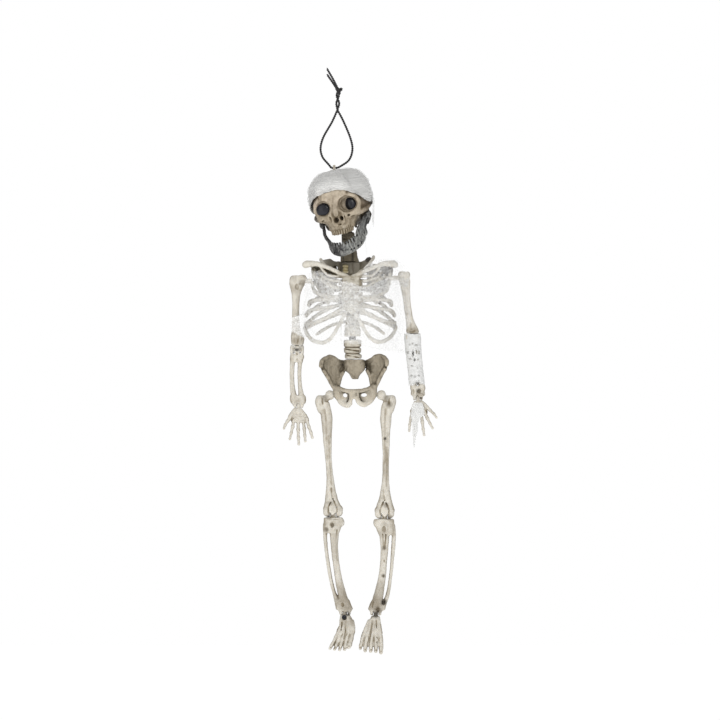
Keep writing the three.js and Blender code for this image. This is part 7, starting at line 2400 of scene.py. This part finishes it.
def chest_threads():
    """Bent threads running out from the gather, those on the right first."""
    rng = RNG(90)
    right, left = [], []
    for i in range(34):
        start = rng.uniform(0, TURN)
        first, last = rng.uniform(1, 18), rng.uniform(14, 36)
        if math.sin(start) > 0.2:
            last = min(last, 19)
        r = np.linspace(first, last, 26)
        bend = rng.uniform(-1.4, 1.4)
        angle = start + bend * (r / 30) + 0.10 * smooth_noise(r * 0.25, 0 * r + i, 91)
        x, z = GATHER_X + r * np.cos(angle), GATHER_Z + r * np.sin(angle)
        y = (drape_y(x) - 1.1 - 0.7 * np.abs(smooth_noise(r * 0.2, 0 * r + i, 92))
             - rng.uniform(0, 0.8))
        inside = (x > -23.26) & (x < 48.51) & (z > -148.5)
        if inside.sum() > 6:
            side = right if math.cos(start) < 0 else left
            side.append(np.stack([x, y, z], 1)[inside])
    return right + left


def cap_threads():
    """Short threads round the cap that lift off towards their ends."""
    rng = RNG(95)
    paths = []
    share = np.linspace(0, 1, 16)
    for _ in range(70):
        start = rng.uniform(-math.pi, math.pi)
        height = float(cap_edge(start)) + rng.uniform(-0.2, 16)
        angle = start + np.linspace(0, rng.uniform(0.15, 0.6), 16)
        z = np.maximum(height + rng.uniform(-2, 2) * share ** 2, cap_edge(angle) + 0.2)
        level = np.sqrt(np.maximum(1 - (z / 26.3) ** 2, 0.02))
        lift = 1.35 + share ** 3 * rng.uniform(0, 1)
        paths.append(head(np.stack([(25.0 + lift) * level * np.sin(angle),
                                    -(29.0 + lift) * level * np.cos(angle), z], 1)))
    return paths


threads("gauze_threads_chest", chest_threads(), "torso", 0.055)
threads("gauze_threads_cap", cap_threads(), "head", 0.12)
hanging = np.stack([np.interp(np.linspace(0, 1, 20), [0, 0.5, 1], [30.36, 25.57, 27.06]),
                    np.linspace(-6, -12, 20), np.linspace(-50.32, -75.08, 20)], 1)
threads("gauze_thread_hanging", [hanging], "head", 0.16)


# ------------------------------------------------------------------ stage, light, camera (metres)
def build_floor():
    """Pale paper that glows a little, so that it runs out to white."""
    mesh = bpy.data.meshes.new("floor_sheet")
    grid = bmesh.new()
    bmesh.ops.create_grid(grid, x_segments=8, y_segments=8, size=6.0)
    grid.to_mesh(mesh)
    grid.free()
    floor = bpy.data.objects.new("floor_sheet", mesh)
    floor.location = (0, 0, -0.75)
    mesh.materials.append(mottled(
        "floor_paper", dict(scale=9, detail=4), ((0.90, 0.90, 0.90), (0.94, 0.94, 0.94)),
        roughness=0.95, specular=0.0, Emission_Color=(1, 1, 1), Emission_Strength=0.62))
    bpy.context.scene.collection.objects.link(floor)


def build_world():
    """White background: dimmer as a light than as the camera sees it."""
    world = bpy.data.worlds.new("studio")
    bpy.context.scene.world = world
    world.use_nodes = True
    nodes, links = world.node_tree.nodes, world.node_tree.links
    nodes.clear()
    out = nodes.new("ShaderNodeOutputWorld")
    mix = nodes.new("ShaderNodeMixShader")
    path = nodes.new("ShaderNodeLightPath")
    links.new(path.outputs["Is Camera Ray"], mix.inputs[0])
    for slot, strength in ((1, 0.42), (2, 1.0)):
        background = nodes.new("ShaderNodeBackground")
        background.inputs["Color"].default_value = (1, 1, 1, 1)
        background.inputs["Strength"].default_value = strength
        links.new(background.outputs[0], mix.inputs[slot])
    links.new(mix.outputs[0], out.inputs[0])


def area_light(name, location, size, power):
    """Rectangular light aimed at the middle of the figure."""
    light = bpy.data.lights.new(name, "AREA")
    light.shape = "RECTANGLE"
    light.size, light.size_y = size
    light.energy = power
    lamp = bpy.data.objects.new(name, light)
    lamp.location = location
    aim = np.array((0.02, 0, -0.18)) - np.array(location)
    lamp.rotation_euler = Vector(aim).to_track_quat("-Z", "Y").to_euler()
    bpy.context.scene.collection.objects.link(lamp)


def build_camera():
    distance, view_width = 4.0, 0.594
    data = bpy.data.cameras.new("camera_front")
    data.sensor_width = 36
    data.lens = 36.0 * distance / view_width
    data.clip_end = 50
    camera = bpy.data.objects.new("camera_front", data)
    camera.location = (0.02129, -distance, -0.16088)
    camera.rotation_euler = (math.radians(90), 0, 0)
    scene = bpy.context.scene
    scene.collection.objects.link(camera)
    scene.camera = camera
    scene.view_settings.view_transform = "Standard"
    scene.view_settings.look = "None"
    scene.view_settings.exposure = 0.0


build_floor()
build_world()
area_light("key_soft", location=(0.35, -1.8, 0.75), size=(0.9, 0.9), power=17)
area_light("fill_soft", location=(-1.2, -1.4, 0.2), size=(1.0, 1.4), power=6)
area_light("back_soft", location=(0.1, 1.6, 0.9), size=(1.4, 1.0), power=12)
build_camera()

# every CAD node that still shows gets a finish
for name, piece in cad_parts.items():
    if not piece.hide_render:
        piece.data.materials.clear()
        piece.data.materials.append(PIN if "pin" in name or "peg" in name else PALE)
